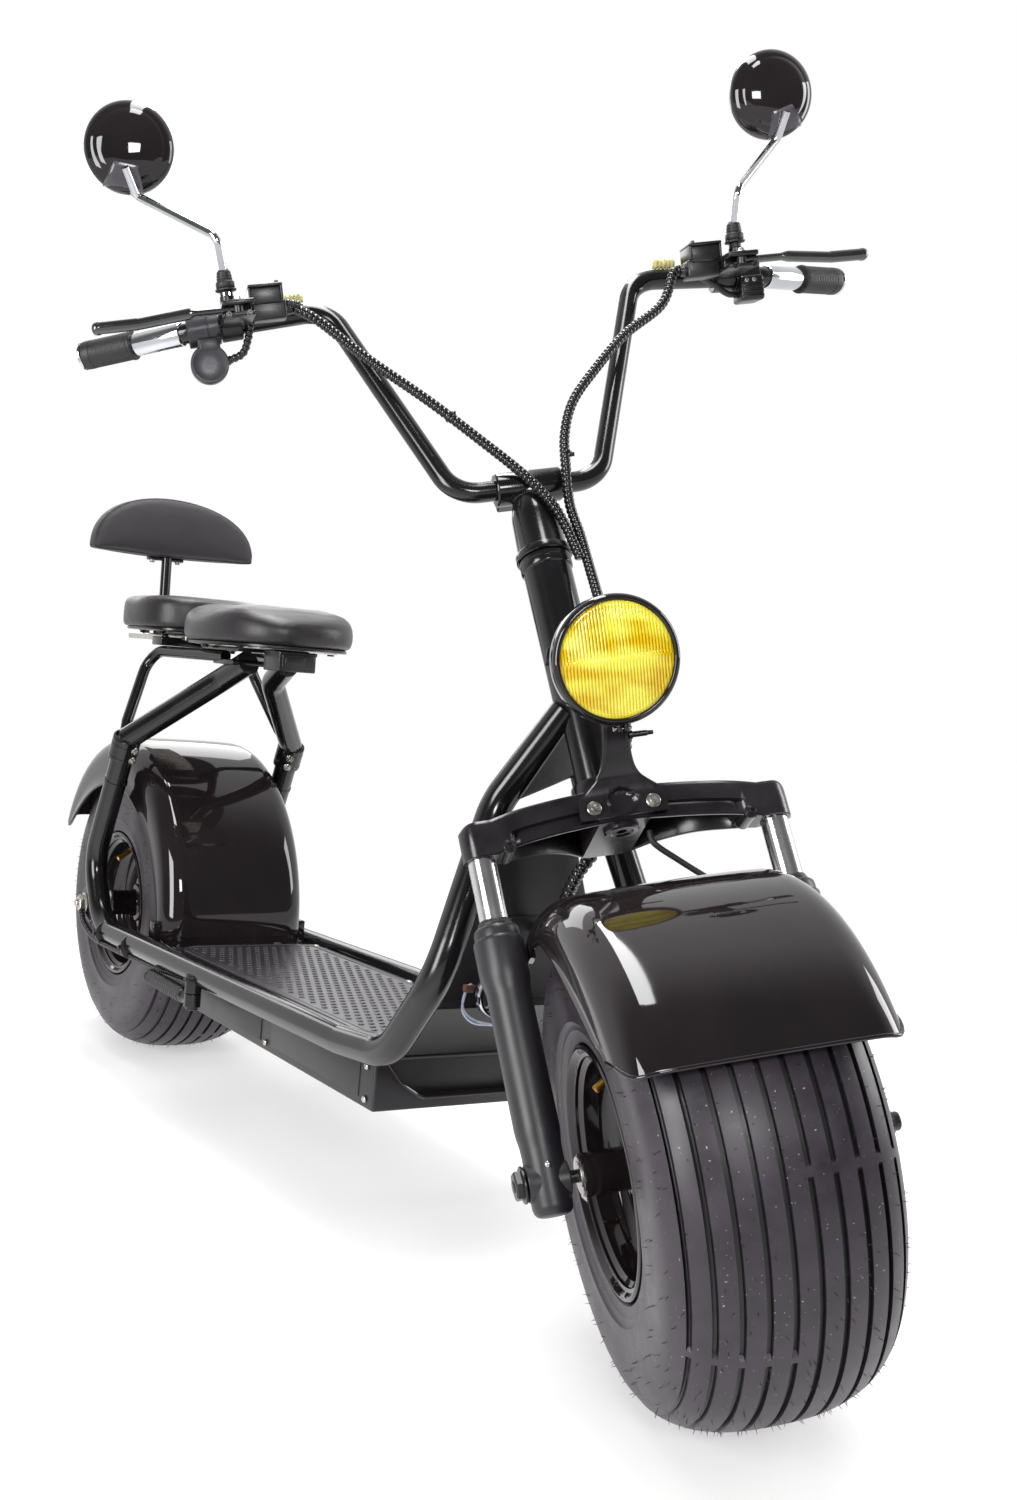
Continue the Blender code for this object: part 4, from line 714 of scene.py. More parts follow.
# %% [markdown]
# ## Rims and hubs
#
# The rims are pressed steel, eight inches across and very wide, so the side is
# a deep glossy bowl with a rolled lip and a few pressed steps. The rear one
# holds a hub motor: a drum with a bolted cover. Both are one closed outline
# turned about the axle. The steps have small radii, because only a rounded
# edge catches a line of light.

# %% Rims
RIM_HALF_WIDTH = TYRE_HALF_WIDTH - 0.005
RIM_SIDES = 128


def rim_loop(hub_half, plate_x, plate_radius, cover):
    """One side's (x, radius) points from the tyre's seat, over the lip, down to the axle."""
    half, flange = RIM_HALF_WIDTH, RIM_FLANGE_RADIUS
    side = [(0.0, flange - 0.03), (0.028, flange - 0.03), (0.04, flange - 0.0125),
            (half - 0.006, flange - 0.0112), (half - 0.0045, flange - 0.002),
            (half - 0.003, flange - 0.0005), (half - 0.0012, flange - 0.0004), (half, flange - 0.0018),
            (half + 0.0002, flange - 0.004), (half - 0.0012, flange - 0.0056),
            (half - 0.005, flange - 0.0072), (half - 0.01, flange - 0.0124),
            (half - 0.0125, flange - 0.0158), (0.07, flange - 0.0166), (0.064, flange - 0.0172),
            (0.06, flange - 0.0196), (0.0565, flange - 0.0245), (0.054, flange - 0.027),
            (0.05, flange - 0.0282)]
    side += [(plate_x + 0.004, plate_radius + 0.004), (plate_x + 0.001, plate_radius + 0.001),
             (plate_x, plate_radius - 0.003)]
    side += cover
    side += [(hub_half - 0.0012, 0.019), (hub_half, 0.0178), (hub_half, 0.0106), (0.0, 0.0106)]
    return side + [(-x, radius) for x, radius in reversed(side[1:-1])]


FRONT_COVER = [(0.0105, 0.06), (0.0125, 0.0585), (0.0128, 0.05), (0.0105, 0.0485), (0.011, 0.033),
               (0.015, 0.027), (0.024, 0.0225), (0.04, 0.02), (0.06, 0.0192)]
MOTOR_COVER = [(0.0475, 0.07), (0.0495, 0.069), (0.05, 0.063), (0.0525, 0.0615), (0.056, 0.048),
               (0.0565, 0.04), (0.06, 0.038), (0.061, 0.03), (0.064, 0.028), (0.065, 0.0215),
               (0.068, 0.0195)]
for end, body, centre, hub_half, plate_x, plate_radius, cover, node in (
    ("front", "front_wheel", FRONT_AXLE, 0.114, 0.0105, 0.074, FRONT_COVER, "front_rim"),
    ("rear", "rear_wheel", REAR_AXLE, 0.106, 0.046, 0.076, MOTOR_COVER, "rear_rim_motor"),
):
    loop = rim_loop(hub_half, plate_x, plate_radius, cover)
    made = piece(f"{end}_rim_bowl", lathe(bmesh.new(), loop, RIM_SIDES, centre),
                 "lacquer", body, [node], sharp=40)
    print(made.name, len(made.data.polygons), "faces")

# %% Bearing seals and valve stems
for end, body, centre, hub_half in (("front", "front_wheel", FRONT_AXLE, 0.114),
                                    ("rear", "rear_wheel", REAR_AXLE, 0.106)):
    seals, valve = bmesh.new(), bmesh.new()
    for side, hand in HANDS:
        turned(seals, centre + Vector(((hub_half - 0.0005) * side, 0, 0)), (side, 0, 0), [
            (0, 17.2), (1.2, 17.2), (1.7, 16.6), (1.3, 15.8), (1.3, 12.8), (2, 12.2), (2, 10.6)], 40)
    piece(f"{end}_bearing_seals", seals, "zinc", body)
    foot = centre + Vector((-0.052, 0.028, 0.088))
    turned(valve, foot, Vector((-0.85, -0.12, -0.52)), [
        (0, 7.5), (3, 7.2), (6, 4.6), (18, 4.2), (18.2, 3.4), (31, 3.4), (31.2, 4), (41, 4), (42, 3.2)], 20)
    piece(f"{end}_valve_stem", valve, "brass", body)

# %% [markdown]
# ## Fenders
#
# Each fender is sheet steel pressed to a trough: a nearly flat crown, round
# shoulders and side skirts whose edge is rolled back on itself, which stiffens
# it and gives the lacquer a bright line to end in. The section is drawn once
# and swept round the axle, while the skirts change depth on the way.

# %% Fender shells
FENDER_THICKNESS, FENDER_SHOULDER = 0.0028, 0.034


def fender_section(radius, half, low):
    """Closed (x, radius) loop: outside from skirt to skirt, then back along the inside."""
    flat = half - FENDER_SHOULDER
    loop = []
    for wall in (0.0, FENDER_THICKNESS):
        corner = FENDER_SHOULDER - wall
        side = [(half - wall, low)]
        if wall == 0.0:
            side = [(half - 0.001, low - 0.0006), (half + 0.0006, low - 0.0008),
                    (half + 0.0014, low + 0.0004), (half + 0.0012, low + 0.0026), (half, low + 0.0042)]
        side.append((half - wall, low + (radius - FENDER_SHOULDER - low) * 0.5 + 0.002))
        for bend in range(10):
            turn = math.pi / 2 * bend / 9
            side.append((flat + corner * math.cos(turn), radius - wall - corner * (1 - math.sin(turn))))
        side += [(flat * 0.72, radius - wall + 0.0009), (flat * 0.36, radius - wall + 0.0014)]
        whole = side + [(0.0, radius - wall + 0.0016)] + [(-x, level) for x, level in reversed(side)]
        loop += whole if wall == 0.0 else whole[::-1]
    return loop


def fender_shell(centre, radius, half, first, last, skirt, steps, trim):
    """A bent sheet between two angles. trim is how far, in degrees, the front corners are rounded back."""
    rings = []
    for step in range(steps + 1):
        share = step / steps
        low = radius - FENDER_SHOULDER - skirt(share)
        ring_points = []
        for x, level in fender_section(radius, half, low):
            back = trim * smooth_step(radius - level, 0.004, radius - low)
            back *= 1 - smooth_step(share, 0.0, 0.22)
            angle = math.radians(first + back + (last - first) * share)
            ring_points.append(on_wheel(centre, x, level, angle))
        rings.append(ring_points)
    shell = skin(bmesh.new(), rings)
    # The front edge is rolled over a wire, and the roll catches the light.
    return tube(shell, rings[0][4:len(rings[0]) // 2 - 4], 0.0019, 12)


front_fender = fender_shell(FRONT_AXLE, TYRE_RADIUS + 0.0135, TYRE_HALF_WIDTH + 0.0155, 38, 125,
                            lambda share: 0.004 + 0.022 * math.sin(math.pi * min(share * 1.3, 1.0)), 72, 8)
rear_fender = fender_shell(REAR_AXLE, TYRE_RADIUS + 0.0325, TYRE_HALF_WIDTH + 0.0115, -6, 154,
                           lambda share: 0.004 + 0.036 * math.sin(math.pi * (1 - share) ** 0.7), 110, 3)
for side, hand in HANDS:
    near, far = (TYRE_HALF_WIDTH + 0.0125) * side, 0.1188 * side
    skin(front_fender, [[fork(x, f, a) for f, a in ((-0.01, 0.197), (0.01, 0.197), (0.01, 0.211),
                                                   (-0.01, 0.211))] for x in (near, far)])
    low, high = sorted((0.109 * side, 0.1224 * side))
    soft_box(rear_fender, aft(low, -0.236, -0.022), aft(high, -0.218, 0.01), 0.002)
piece("front_fender_sheet", front_fender, "lacquer", "steering", ["front_fender"], sharp=45)
piece("rear_fender_sheet", rear_fender, "lacquer", "frame", ["rear_fender"], sharp=45)
print("fenders pressed")

# %% [markdown]
# ## Three Geometry Nodes tools for what repeats
#
# A scooter is held together by dozens of like fasteners, a row of weld scallops
# and cables wound in tape. Each of the three repeats one small shape, so each is
# one node tree with named inputs. Bolts stand on loose points, each with the
# direction it faces. Weld scallops and tape turns follow a path: the tree
# resamples it by length and turns every copy along the tangent.

# %% Bolts on points
def loose_points(rows):
    """A mesh of single points from (place, direction) rows, the direction kept as an attribute."""
    mesh = bpy.data.meshes.new("points")
    mesh.from_pydata([tuple(place) for place, way in rows], [], [])
    ways = mesh.attributes.new("way", "FLOAT_VECTOR", "POINT")
    for spot, (place, way) in zip(ways.data, rows):
        spot.vector = Vector(way).normalized()
    return mesh


def shape_source(name, bm):
    """A small shape that only lends its mesh to a node tree."""
    return bpy.data.objects.new(name, mesh_of(name, bm))


def socket_head():
    """An Allen bolt one unit in radius on its washer: dark hexagon socket, chamfered rim."""
    bm = revolved(bmesh.new(), (0, 0, 0), (0, 0, 1), [
        (0, 1.5), (0.22, 1.5), (0.28, 1.42), (0.28, 1.0), (1.15, 1.0), (1.28, 0.88), (1.28, 0.6)], 18)
    lid = [face for face in bm.faces if len(face.verts) > 4 and face.calc_center_median().z > 1]
    bmesh.ops.inset_region(bm, faces=lid, thickness=0.06)
    bmesh.ops.translate(bm, verts=list({vert for face in lid for vert in face.verts}), vec=(0, 0, -0.75))
    return bm


def hex_head():
    """A hexagon head one unit in radius, with a washer and a chamfer."""
    bm = revolved(bmesh.new(), (0, 0, 0), (0, 0, 1), [(0, 1.3), (0.16, 1.3), (0.2, 1.25), (0.2, 0.6)], 20)
    return revolved(bm, (0, 0, 0.19), (0, 0, 1), [(0, 1.0), (0.56, 1.0), (0.68, 0.86)], 6)


def button_head():
    """A low domed screw one unit in radius, with a cross slot left as a dimple."""
    return revolved(bmesh.new(), (0, 0, 0), (0, 0, 1), [
        (0, 1.0), (0.12, 1.0), (0.34, 0.86), (0.5, 0.6), (0.54, 0.36), (0.4, 0.3), (0.36, 0.1)], 18)


HEADS = {"socket": shape_source("socket_head", socket_head()), "hex": shape_source("hex_head", hex_head()),
         "button": shape_source("button_head", button_head())}

fasteners, given, outgoing = node_group("fasteners", (
    ("Head", "Object"), ("Radius", "Float"), ("Seed", "Int"), ("Finish", "Material")))
head = add(fasteners, "GeometryNodeObjectInfo", {"Object": given["Head"]})
way = add(fasteners, "GeometryNodeInputNamedAttribute", {"Name": "way"}, data_type="FLOAT_VECTOR")
aligned = add(fasteners, "FunctionNodeAlignRotationToVector", {"Vector": way.outputs["Attribute"]}, axis="Z")
stood = add(fasteners, "GeometryNodeInstanceOnPoints",
            {"Points": given["Geometry"], "Instance": head.outputs["Geometry"],
             "Rotation": aligned.outputs["Rotation"], "Scale": given["Radius"]})
spin = add(fasteners, "FunctionNodeRandomValue", {"Seed": given["Seed"]}, data_type="FLOAT")
spin.inputs[2].default_value, spin.inputs[3].default_value = 0.0, 2 * math.pi
upright_turn = add(fasteners, "ShaderNodeCombineXYZ", {"Z": spin.outputs[1]})
spun = add(fasteners, "GeometryNodeRotateInstances",
           {"Instances": stood.outputs["Instances"], "Rotation": upright_turn.outputs["Vector"]})
end_tree(fasteners, spun.outputs["Instances"], outgoing, given["Finish"])


def bolts(name, rows, kind, radius, finish="zinc", body="frame"):
    """All bolts of one kind and size that a body carries, as one piece."""
    mesh = grown(loose_points(rows), fasteners,
                 {"Head": HEADS[kind], "Radius": radius, "Seed": 5, "Finish": FINISHES[finish]}, name)
    return settle(name, mesh, finish, body, (), 30)


# %% Shapes along a path: weld scallops and turns of tape
def polyline(paths):
    mesh = bpy.data.meshes.new("paths")
    points, edges = [], []
    for path in paths:
        edges += [(len(points) + step, len(points) + step + 1) for step in range(len(path) - 1)]
        points += [tuple(point) for point in path]
    mesh.from_pydata(points, edges, [])
    return mesh


beading, given, outgoing = node_group("shapes_along_a_path", (
    ("Shape", "Object"), ("Radius", "Float"), ("Spacing", "Float"), ("Lean", "Float"),
    ("Finish", "Material")))
line = add(beading, "GeometryNodeMeshToCurve", {"Mesh": given["Geometry"]})
spaced = add(beading, "GeometryNodeResampleCurve",
             {"Curve": line.outputs["Curve"], "Length": given["Spacing"]}, mode="LENGTH")
shape = add(beading, "GeometryNodeObjectInfo", {"Object": given["Shape"]})
tangent = add(beading, "GeometryNodeInputTangent")
aligned = add(beading, "FunctionNodeAlignRotationToVector", {"Vector": tangent.outputs["Tangent"]}, axis="Z")
stood = add(beading, "GeometryNodeInstanceOnPoints",
            {"Points": spaced.outputs["Curve"], "Instance": shape.outputs["Geometry"],
             "Rotation": aligned.outputs["Rotation"], "Scale": given["Radius"]})
lean = add(beading, "ShaderNodeCombineXYZ", {"X": given["Lean"]})
leaned = add(beading, "GeometryNodeRotateInstances",
             {"Instances": stood.outputs["Instances"], "Rotation": lean.outputs["Vector"]})
end_tree(beading, leaned.outputs["Instances"], outgoing, given["Finish"])

SCALLOP = shape_source("weld_scallop", revolved(bmesh.new(), (0, 0, -0.42), (0, 0, 1), [
    (0, 0.55), (0.16, 0.86), (0.34, 1.0), (0.52, 1.0), (0.7, 0.84), (0.84, 0.5)], 12))
TAPE_TURN = shape_source("tape_turn", revolved(bmesh.new(), (0, 0, -0.6), (0, 0, 1), [
    (0, 0.72), (0.08, 0.86), (0.22, 0.96), (0.42, 1.0), (0.64, 1.0), (0.86, 0.96), (1.0, 0.86),
    (1.08, 0.72)], 20))


def along_paths(name, paths, shape, radius, spacing, lean, finish, body):
    mesh = grown(polyline(paths), beading,
                 {"Shape": shape, "Radius": radius, "Spacing": spacing, "Lean": lean,
                  "Finish": FINISHES[finish]}, name)
    return settle(name, mesh, finish, body, (), 50)


def welds(name, paths, radius=0.0026, body="frame"):
    """A weld bead: overlapping scallops, as a hand-run bead leaves them, under the same paint."""
    return along_paths(name, paths, SCALLOP, radius, radius * 0.95, 0.25, "powder_coat", body)


def arc(centre, across, up, radius, first, last, steps=24):
    """Points on a circle, from one angle to another in degrees."""
    turns = [math.radians(first + (last - first) * step / steps) for step in range(steps + 1)]
    return [centre + radius * (math.cos(turn) * across + math.sin(turn) * up) for turn in turns]


print("tools for bolts, welds and tape ready")

# %% [markdown]
# ## Fork
#
# Each leg is a satin black casting with a chromed tube in it and a dust seal
# on top. Turned profiles suit it: the small steps and radii at the collar are
# what catches the light. The axle carrier is a cross cylinder, and the axle
# ends in a flanged nut.

# %% Fork legs
LEG_X = TYRE_HALF_WIDTH + 0.0422
CROWN_LOW, CROWN_RISE, CROWN_HEIGHT = 0.298, 0.02, 0.036
for side, hand in HANDS:
    x = LEG_X * side
    slider = turned(bmesh.new(), fork(x, 0, -0.03), ALONG, [
        (0, 12), (1.2, 15), (4, 17.1), (7.8, 18), (56, 18.4), (62.5, 18.8), (70, 20), (76, 20.4),
        (198, 20.4), (204, 20.9), (212, 22.7), (218, 23.4), (222, 23.5), (247.5, 23.5), (250, 23.1),
        (251.2, 22.2), (251.8, 21.3), (258, 21.2), (260.6, 20.5), (262.2, 19), (263, 16.4), (263, 14.2)], 64)
    turned(slider, fork(x - 0.0187 * side, 0, 0), (side, 0, 0), [
        (0, 15), (1.5, 16.6), (36.2, 16.6), (37.8, 15.8), (38.2, 14.5)], 40)
    soft_box(slider, fork(x - 0.006, -0.024, 0.15), fork(x + 0.006, -0.012, 0.19), 0.002)
    piece(f"slider_{hand}_casting", slider, "leg", "steering", [f"slider_{hand}"])
    tube_bm = turned(bmesh.new(), fork(x, 0, 0.2333), ALONG, [(0, 13.4), (64.4, 13.4)], 48)
    piece(f"stanchion_{hand}_tube", tube_bm, "hard_chrome", "steering", [f"stanchion_{hand}"])
    seal = turned(bmesh.new(), fork(x, 0, 0.2328), ALONG, [
        (0, 15), (0.6, 16.2), (2.6, 16.2), (3.4, 15.2), (5.2, 15), (6.4, 14), (6.4, 13)], 40)
    piece(f"dust_seal_{hand}", seal, "grip", "steering")
axle = turned(bmesh.new(), fork(-0.1745, 0, 0), (1, 0, 0), [
    (0, 4.5), (1, 5.8), (348, 5.8), (349, 4.5)], 24)
for side, hand in HANDS:
    foot = fork(0.1641 * side, 0, 0)
    turned(axle, foot, (side, 0, 0), [
        (0, 16), (0.6, 16.5), (1.8, 16.5), (2.4, 15.8), (2.4, 6)], 36)
    turned(axle, foot + Vector((0.0022 * side, 0, 0)), (side, 0, 0), [
        (0, 13.6), (5.6, 13.8), (7, 11.8)], 6)
turned(axle, fork(0.1735, 0, 0), (1, 0, 0), [
    (0, 8.2), (0.6, 8.8), (5.8, 8.8), (7, 8), (7.4, 5.6)], 28)
piece("front_axle_steel", axle, "satin", "steering", ["front_axle"], sharp=25)
bolts("fork_drain_screws", [(fork(LEG_X * side, 0.0187, 0.012), FORWARD) for side, hand in HANDS],
      "button", 0.003, "zinc", "steering")
print("fork legs made")

# %% [markdown]
# The crown is one aluminium casting. To save weight the founder leaves a deep
# pocket under each arm and a shallow one in its front, so thin lips run round
# them, and those lips are what shines. The casting is skinned from cross-sections: every section
# has the same points, and the pocket's depth alone goes to zero where the arm
# meets the collars and the middle boss.

# %% The crown casting
CROWN_PLAN = [(0.0, -0.098, 0.004), (0.022, -0.094, 0.004), (0.045, -0.07, 0.004), (0.075, -0.045, 0.008),
              (0.105, -0.03, 0.014), (0.1297, -0.0175, 0.017), (LEG_X, -0.017, 0.017)]


def crown_section(x, back, front, drop):
    span = LEG_X - 0.0135
    low = CROWN_LOW + CROWN_RISE * max(0.0, 1 - (x / span) ** 2)
    top = low + CROWN_HEIGHT - drop
    reach = abs(x)
    depth = 0.027 * smooth_step(reach, 0.025, 0.034) * (1 - smooth_step(reach, 0.098, 0.114))
    lip = min(0.0012, depth)
    half = (front - back) / 2
    soft, small = min(0.005, half * 0.7), min(0.0014, half * 0.3)
    wall = min(0.0046, half * 0.8)
    carve = 0.0095 * smooth_step(reach, 0.024, 0.033) * (1 - smooth_step(reach, 0.104, 0.116))
    rows = [(front, low + 0.001), (front, low + 0.002), (front - min(carve, 0.0016), low + 0.0036),
            (front - carve, low + 0.0038), (front - carve, low + 0.014), (front, low + 0.016),
            (front, top - 0.0055), (front - 0.0006, top - 0.003), (front - small, top - 0.0013),
            (front - soft, top), (back + soft, top), (back + small, top - 0.0013),
            (back + 0.0006, top - 0.003), (back, top - 0.0055), (back, low + 0.006), (back, low + 0.0014),
            (back + small, low), (back + wall * 0.8, low), (back + wall, low + lip),
            (back + wall * 1.3, low + depth), (front - wall * 1.3, low + depth), (front - wall, low + lip),
            (front - wall * 0.8, low), (front - small, low)]
    return [fork(x, forward, level) for forward, level in rows]


half_plan = [(point.x, point.y, point.z, 0.0) for point in route(CROWN_PLAN, 0.0022)]
for turn in range(8, 89, 8):
    width = 0.017 * math.cos(math.radians(turn))
    half_plan.append((LEG_X + 0.017 * math.sin(math.radians(turn)), -width, width,
                      0.007 * math.sin(math.radians(turn)) ** 3))
whole_plan = [(-x, back, front, drop) for x, back, front, drop in reversed(half_plan[1:])] + half_plan
crown = skin(bmesh.new(), [crown_section(*row) for row in whole_plan])
turned(crown, fork(0, -0.018, CROWN_LOW + CROWN_RISE + 0.004), -ALONG, [
    (0, 17.2), (7.5, 17.2), (9.2, 15.6), (9.2, 11.2), (7.8, 9.6), (7.8, 5), (1, 4.6)], 40)
for side, hand in HANDS:
    turned(crown, fork(0.118 * side, -0.0165, 0.3045), FORWARD, [
        (0, 5.8), (1.2, 6.8), (31.8, 6.8), (33, 5.8)], 24)
turned(crown, column(CROWN_LOW + CROWN_HEIGHT - 0.004), ALONG, [
    (0, 26.5), (9.5, 26.2), (11, 23.8), (23.5, 23.2), (26.2, 26.2), (31.8, 26.6), (33, 25.5)], 56)
piece("fork_crown_casting", crown, "cast", "steering", ["fork_crown"], sharp=32)
bolts("crown_pinch_bolts", [(fork(0.118 * side, 0.0163, 0.3045), FORWARD) for side, hand in HANDS],
      "socket", 0.0032, "satin", "steering")
print("crown cast")

# %% [markdown]
# The lamp bracket is a thick plate: a foot bolted to the crown, with a round
# hollow between its bolts, and a neck that leans forward to the lamp. A height
# field draws it, the front face stepping back where the hollow is.

# %% The lamp bracket
BRACKET_SHAPE = [(0.3205, 0.0103, 0.0428), (0.324, 0.0103, 0.0432), (0.336, 0.0103, 0.0428),
                 (0.343, 0.0106, 0.0408), (0.348, 0.0117, 0.0362), (0.353, 0.0134, 0.0292),
                 (0.359, 0.0158, 0.0218), (0.366, 0.0202, 0.0172), (0.376, 0.0276, 0.0145),
                 (0.388, 0.0374, 0.0132), (0.399, 0.0486, 0.013), (0.408, 0.053, 0.013),
                 (0.418, 0.055, 0.013)]
rings = []
for level, forward, half in [tuple(point) for point in route(BRACKET_SHAPE, 0.002)]:
    front, back = [], []
    for step in range(33):
        share = -1 + step / 16
        x = half * share
        hollow = 1 - smooth_step(math.hypot(x, level - 0.3345), 0.0128, 0.0142)
        round_off = 0.0012 * smooth_step(abs(share), 0.9, 1.0)
        rib = 0.0008 * smooth_step(abs(x), half - 0.0042, half - 0.0022) * smooth_step(level, 0.352, 0.366)
        front.append(fork(x, forward - 0.0044 * hollow - round_off + rib * 0.6, level))
        back.append(fork(x, forward - 0.0066 - 0.0012 * smooth_step(level, 0.345, 0.37), level))
    rings.append(front + back[::-1])
bracket = skin(bmesh.new(), rings)
for side, hand in HANDS:
    soft_box(bracket, fork(0.0105 * side, 0.046, 0.402), fork(0.015 * side, 0.056, 0.42), 0.0012)
piece("lamp_bracket_casting", bracket, "cast", "steering", ["lamp_bracket"], sharp=38)
bolts("bracket_bolts", [(fork(0.029 * side, 0.0103, 0.331), FORWARD) for side, hand in HANDS],
      "socket", 0.0046, "zinc", "steering")
plug = turned(bmesh.new(), fork(0.013, 0.037, 0.39), (1, -0.1, 0), [
    (0, 4.2), (3, 4.2), (3.6, 3), (17, 2.8), (17.6, 2.2), (23, 2)], 18)
piece("lamp_side_plug", plug, "plastic", "steering")

# %% [markdown]
# ## Headlight
#
# The lamp is a pressed bowl with a thin split bezel, screwed together at the
# bottom, and a moulded lens of yellow glass. Fine upright flutes spread the
# beam. They are real geometry here, because a highlight has to break on them;
# the upper and lower fields are half a flute apart, with a plain band between.
# Behind the glass sits a bright reflector with its bulb, which gives the glass
# something to show.

# %% The lamp shell and bezel
LAMP_CENTRE = Vector((0, 0.135, 0.66))
LAMP_FACING = Vector((0, -1, 0.02)).normalized()
LAMP_SIDE, LAMP_UP = Vector((1, 0, 0)), LAMP_FACING.cross(Vector((1, 0, 0)))
lamp_front = LAMP_CENTRE + LAMP_FACING * 0.008
shell = turned(bmesh.new(), lamp_front, -LAMP_FACING, [
    (11, 50), (6, 53.5), (1.2, 54.3), (0.2, 55), (-0.3, 56.2), (0.2, 57.6), (1.4, 59.2), (3.4, 60.3),
    (6, 60.6), (16, 60.6), (17.8, 60), (18.8, 58.4), (19.2, 56.8), (23, 56.3), (32, 54.1), (42, 49.4),
    (50, 43.2), (57, 35.2), (62, 26.2), (65, 18), (66.2, 11)], 112)
for side in (1, -1):
    low = lamp_front - LAMP_FACING * 0.015 + LAMP_SIDE * (0.0012 * side) - LAMP_UP * 0.06
    soft_box(shell, low, low + LAMP_SIDE * (0.0042 * side) + LAMP_FACING * 0.011 - LAMP_UP * 0.007, 0.001)
piece("lamp_shell_bowl", shell, "lacquer", "steering", ["lamp_shell"], sharp=50)
screw = turned(bmesh.new(), lamp_front - LAMP_FACING * 0.0095 - LAMP_SIDE * 0.009 - LAMP_UP * 0.0642,
               LAMP_SIDE, [(0, 1.8), (0.4, 2.4), (2.4, 2.4), (2.6, 1.4), (18, 1.4)], 16)
piece("lamp_bezel_screw", screw, "zinc", "steering")

# %% The fluted lens, its reflector and its bulb
LENS_RADIUS, FLUTE = 0.0541, 0.0031


def lens_valley(x, z):
    """1 in the valley between two flutes and 0 on a flute's back. The upper field is half a flute aside."""
    return math.sin(math.pi * (x / FLUTE + (0.5 if z > 0 else 0.0))) ** 2


def lens_front(x, z):
    """How far the glass stands forward at a point of the lens."""
    radius = math.hypot(x, z)
    dome = 0.0028 + 0.0062 * max(0.0, 1 - (radius / LENS_RADIUS) ** 2) ** 0.8
    field = (1 - smooth_step(radius, 0.049, 0.0505)) * smooth_step(abs(z), 0.0024, 0.0034)
    return dome - 0.001 * field * lens_valley(x, z)


# Each ring here is one upright chord of the glass, front and back, so the flutes run along it without a step.
COLUMNS, ROWS = 5 * int(2 * LENS_RADIUS / FLUTE), 60
rings, valley_shade_values = [], []
for column_step in range(COLUMNS + 1):
    x = LENS_RADIUS * 0.9985 * (2 * column_step / COLUMNS - 1)
    chord = math.sqrt(LENS_RADIUS ** 2 - x * x)
    front, back = [], []
    for row in range(ROWS + 1):
        z = chord * (2 * row / ROWS - 1)
        front.append(LAMP_CENTRE + LAMP_SIDE * x + LAMP_UP * z + LAMP_FACING * (0.0023 + lens_front(x, z)))
        valley_shade_values.append(lens_valley(x, z))
    for row in range(11):
        z = chord * 0.995 * (1 - 2 * row / 10)
        hollow = 0.0022 + 0.003 * max(0.0, 1 - (math.hypot(x, z) / LENS_RADIUS) ** 2)
        back.append(LAMP_CENTRE + LAMP_SIDE * x + LAMP_UP * z + LAMP_FACING * hollow)
        valley_shade_values.append(0.5)
    rings.append(front + back)
lens_skin = skin(bmesh.new(), rings)
# The flute attribute is 1 in each valley, where shade is painted into the glass's colour.
layer = lens_skin.verts.layers.float.new("flute")
for vert, value in zip(lens_skin.verts, valley_shade_values):
    vert[layer] = value
lens_glass = bpy.data.materials.new("fluted_yellow_glass")
lens_glass.use_nodes = True
tree = lens_glass.node_tree
glass = tree.nodes["Principled BSDF"]
for field, value in (("Roughness", 0.05), ("IOR", 1.52), ("Transmission Weight", 0.35),
                     ("Coat Weight", 0.15), ("Coat Roughness", 0.03)):
    glass.inputs[field].default_value = value
place = add(tree, "ShaderNodeTexCoord").outputs["Object"]
# Painted light: pale pools 30 mm wide, as the mirror behind would shine through the glass, are painted into
# its colour. Painted shade: the valleys between the flutes are darkened to amber.
spread_out = add(tree, "ShaderNodeMapping", {"Vector": place, "Scale": (0.55, 0.8, 1.5)})
light_pool_noise = add(tree, "ShaderNodeTexNoise",
            {"Vector": spread_out.outputs["Vector"], "Scale": 1000 / 30, "Detail": 1.5})
painted_light_pool = add(tree, "ShaderNodeMapRange", {"Value": light_pool_noise.outputs["Fac"], "From Min": 0.42, "From Max": 0.64})
ground = add(tree, "ShaderNodeMix", {0: painted_light_pool.outputs["Result"],
                                     MIX_A: linear("#f3cf00"), MIX_B: linear("#fffa66")}, data_type="RGBA")
valley = add(tree, "ShaderNodeMix", {0: painted_light_pool.outputs["Result"],
                                     MIX_A: linear("#a58300"), MIX_B: linear("#f4dc00")}, data_type="RGBA")
depth = add(tree, "ShaderNodeAttribute", attribute_name="flute")
valley_shade_line = add(tree, "ShaderNodeMapRange",
                 {"Value": depth.outputs["Fac"], "From Min": 0.45, "From Max": 0.95})
tones = add(tree, "ShaderNodeMix", {0: valley_shade_line.outputs["Result"], MIX_A: ground.outputs[MIX_RESULT],
                                    MIX_B: valley.outputs[MIX_RESULT]}, data_type="RGBA")
tree.links.new(tones.outputs[MIX_RESULT], glass.inputs["Base Color"])
FINISHES["lens"] = lens_glass
FINISHES["reflector"] = make_finish("vacuum_plated_reflector", "#f4f4f2", "#e6e6e4", (0.1, 0.18),
                                    30, 2.0, 0.004, Metallic=1.0)
piece("lamp_lens_glass", lens_skin, "lens", "steering", ["lamp_lens"], sharp=60)
bowl = turned(bmesh.new(), LAMP_CENTRE + LAMP_FACING * 0.0012, -LAMP_FACING, [
    (0, 52), (6, 49), (13, 40), (18, 28), (20, 14), (20.5, 4), (22.5, 4), (22, 15), (20, 30), (14.5, 42),
    (7.5, 51.2), (1, 53.5)], 72)
turned(bowl, LAMP_CENTRE - LAMP_FACING * 0.02, LAMP_FACING, [
    (0, 7), (4, 7), (5, 5.2), (15, 5), (17.5, 3.8), (18.5, 1.2)], 24)
piece("lamp_reflector", bowl, "reflector", "steering", sharp=60)
print("headlight made")

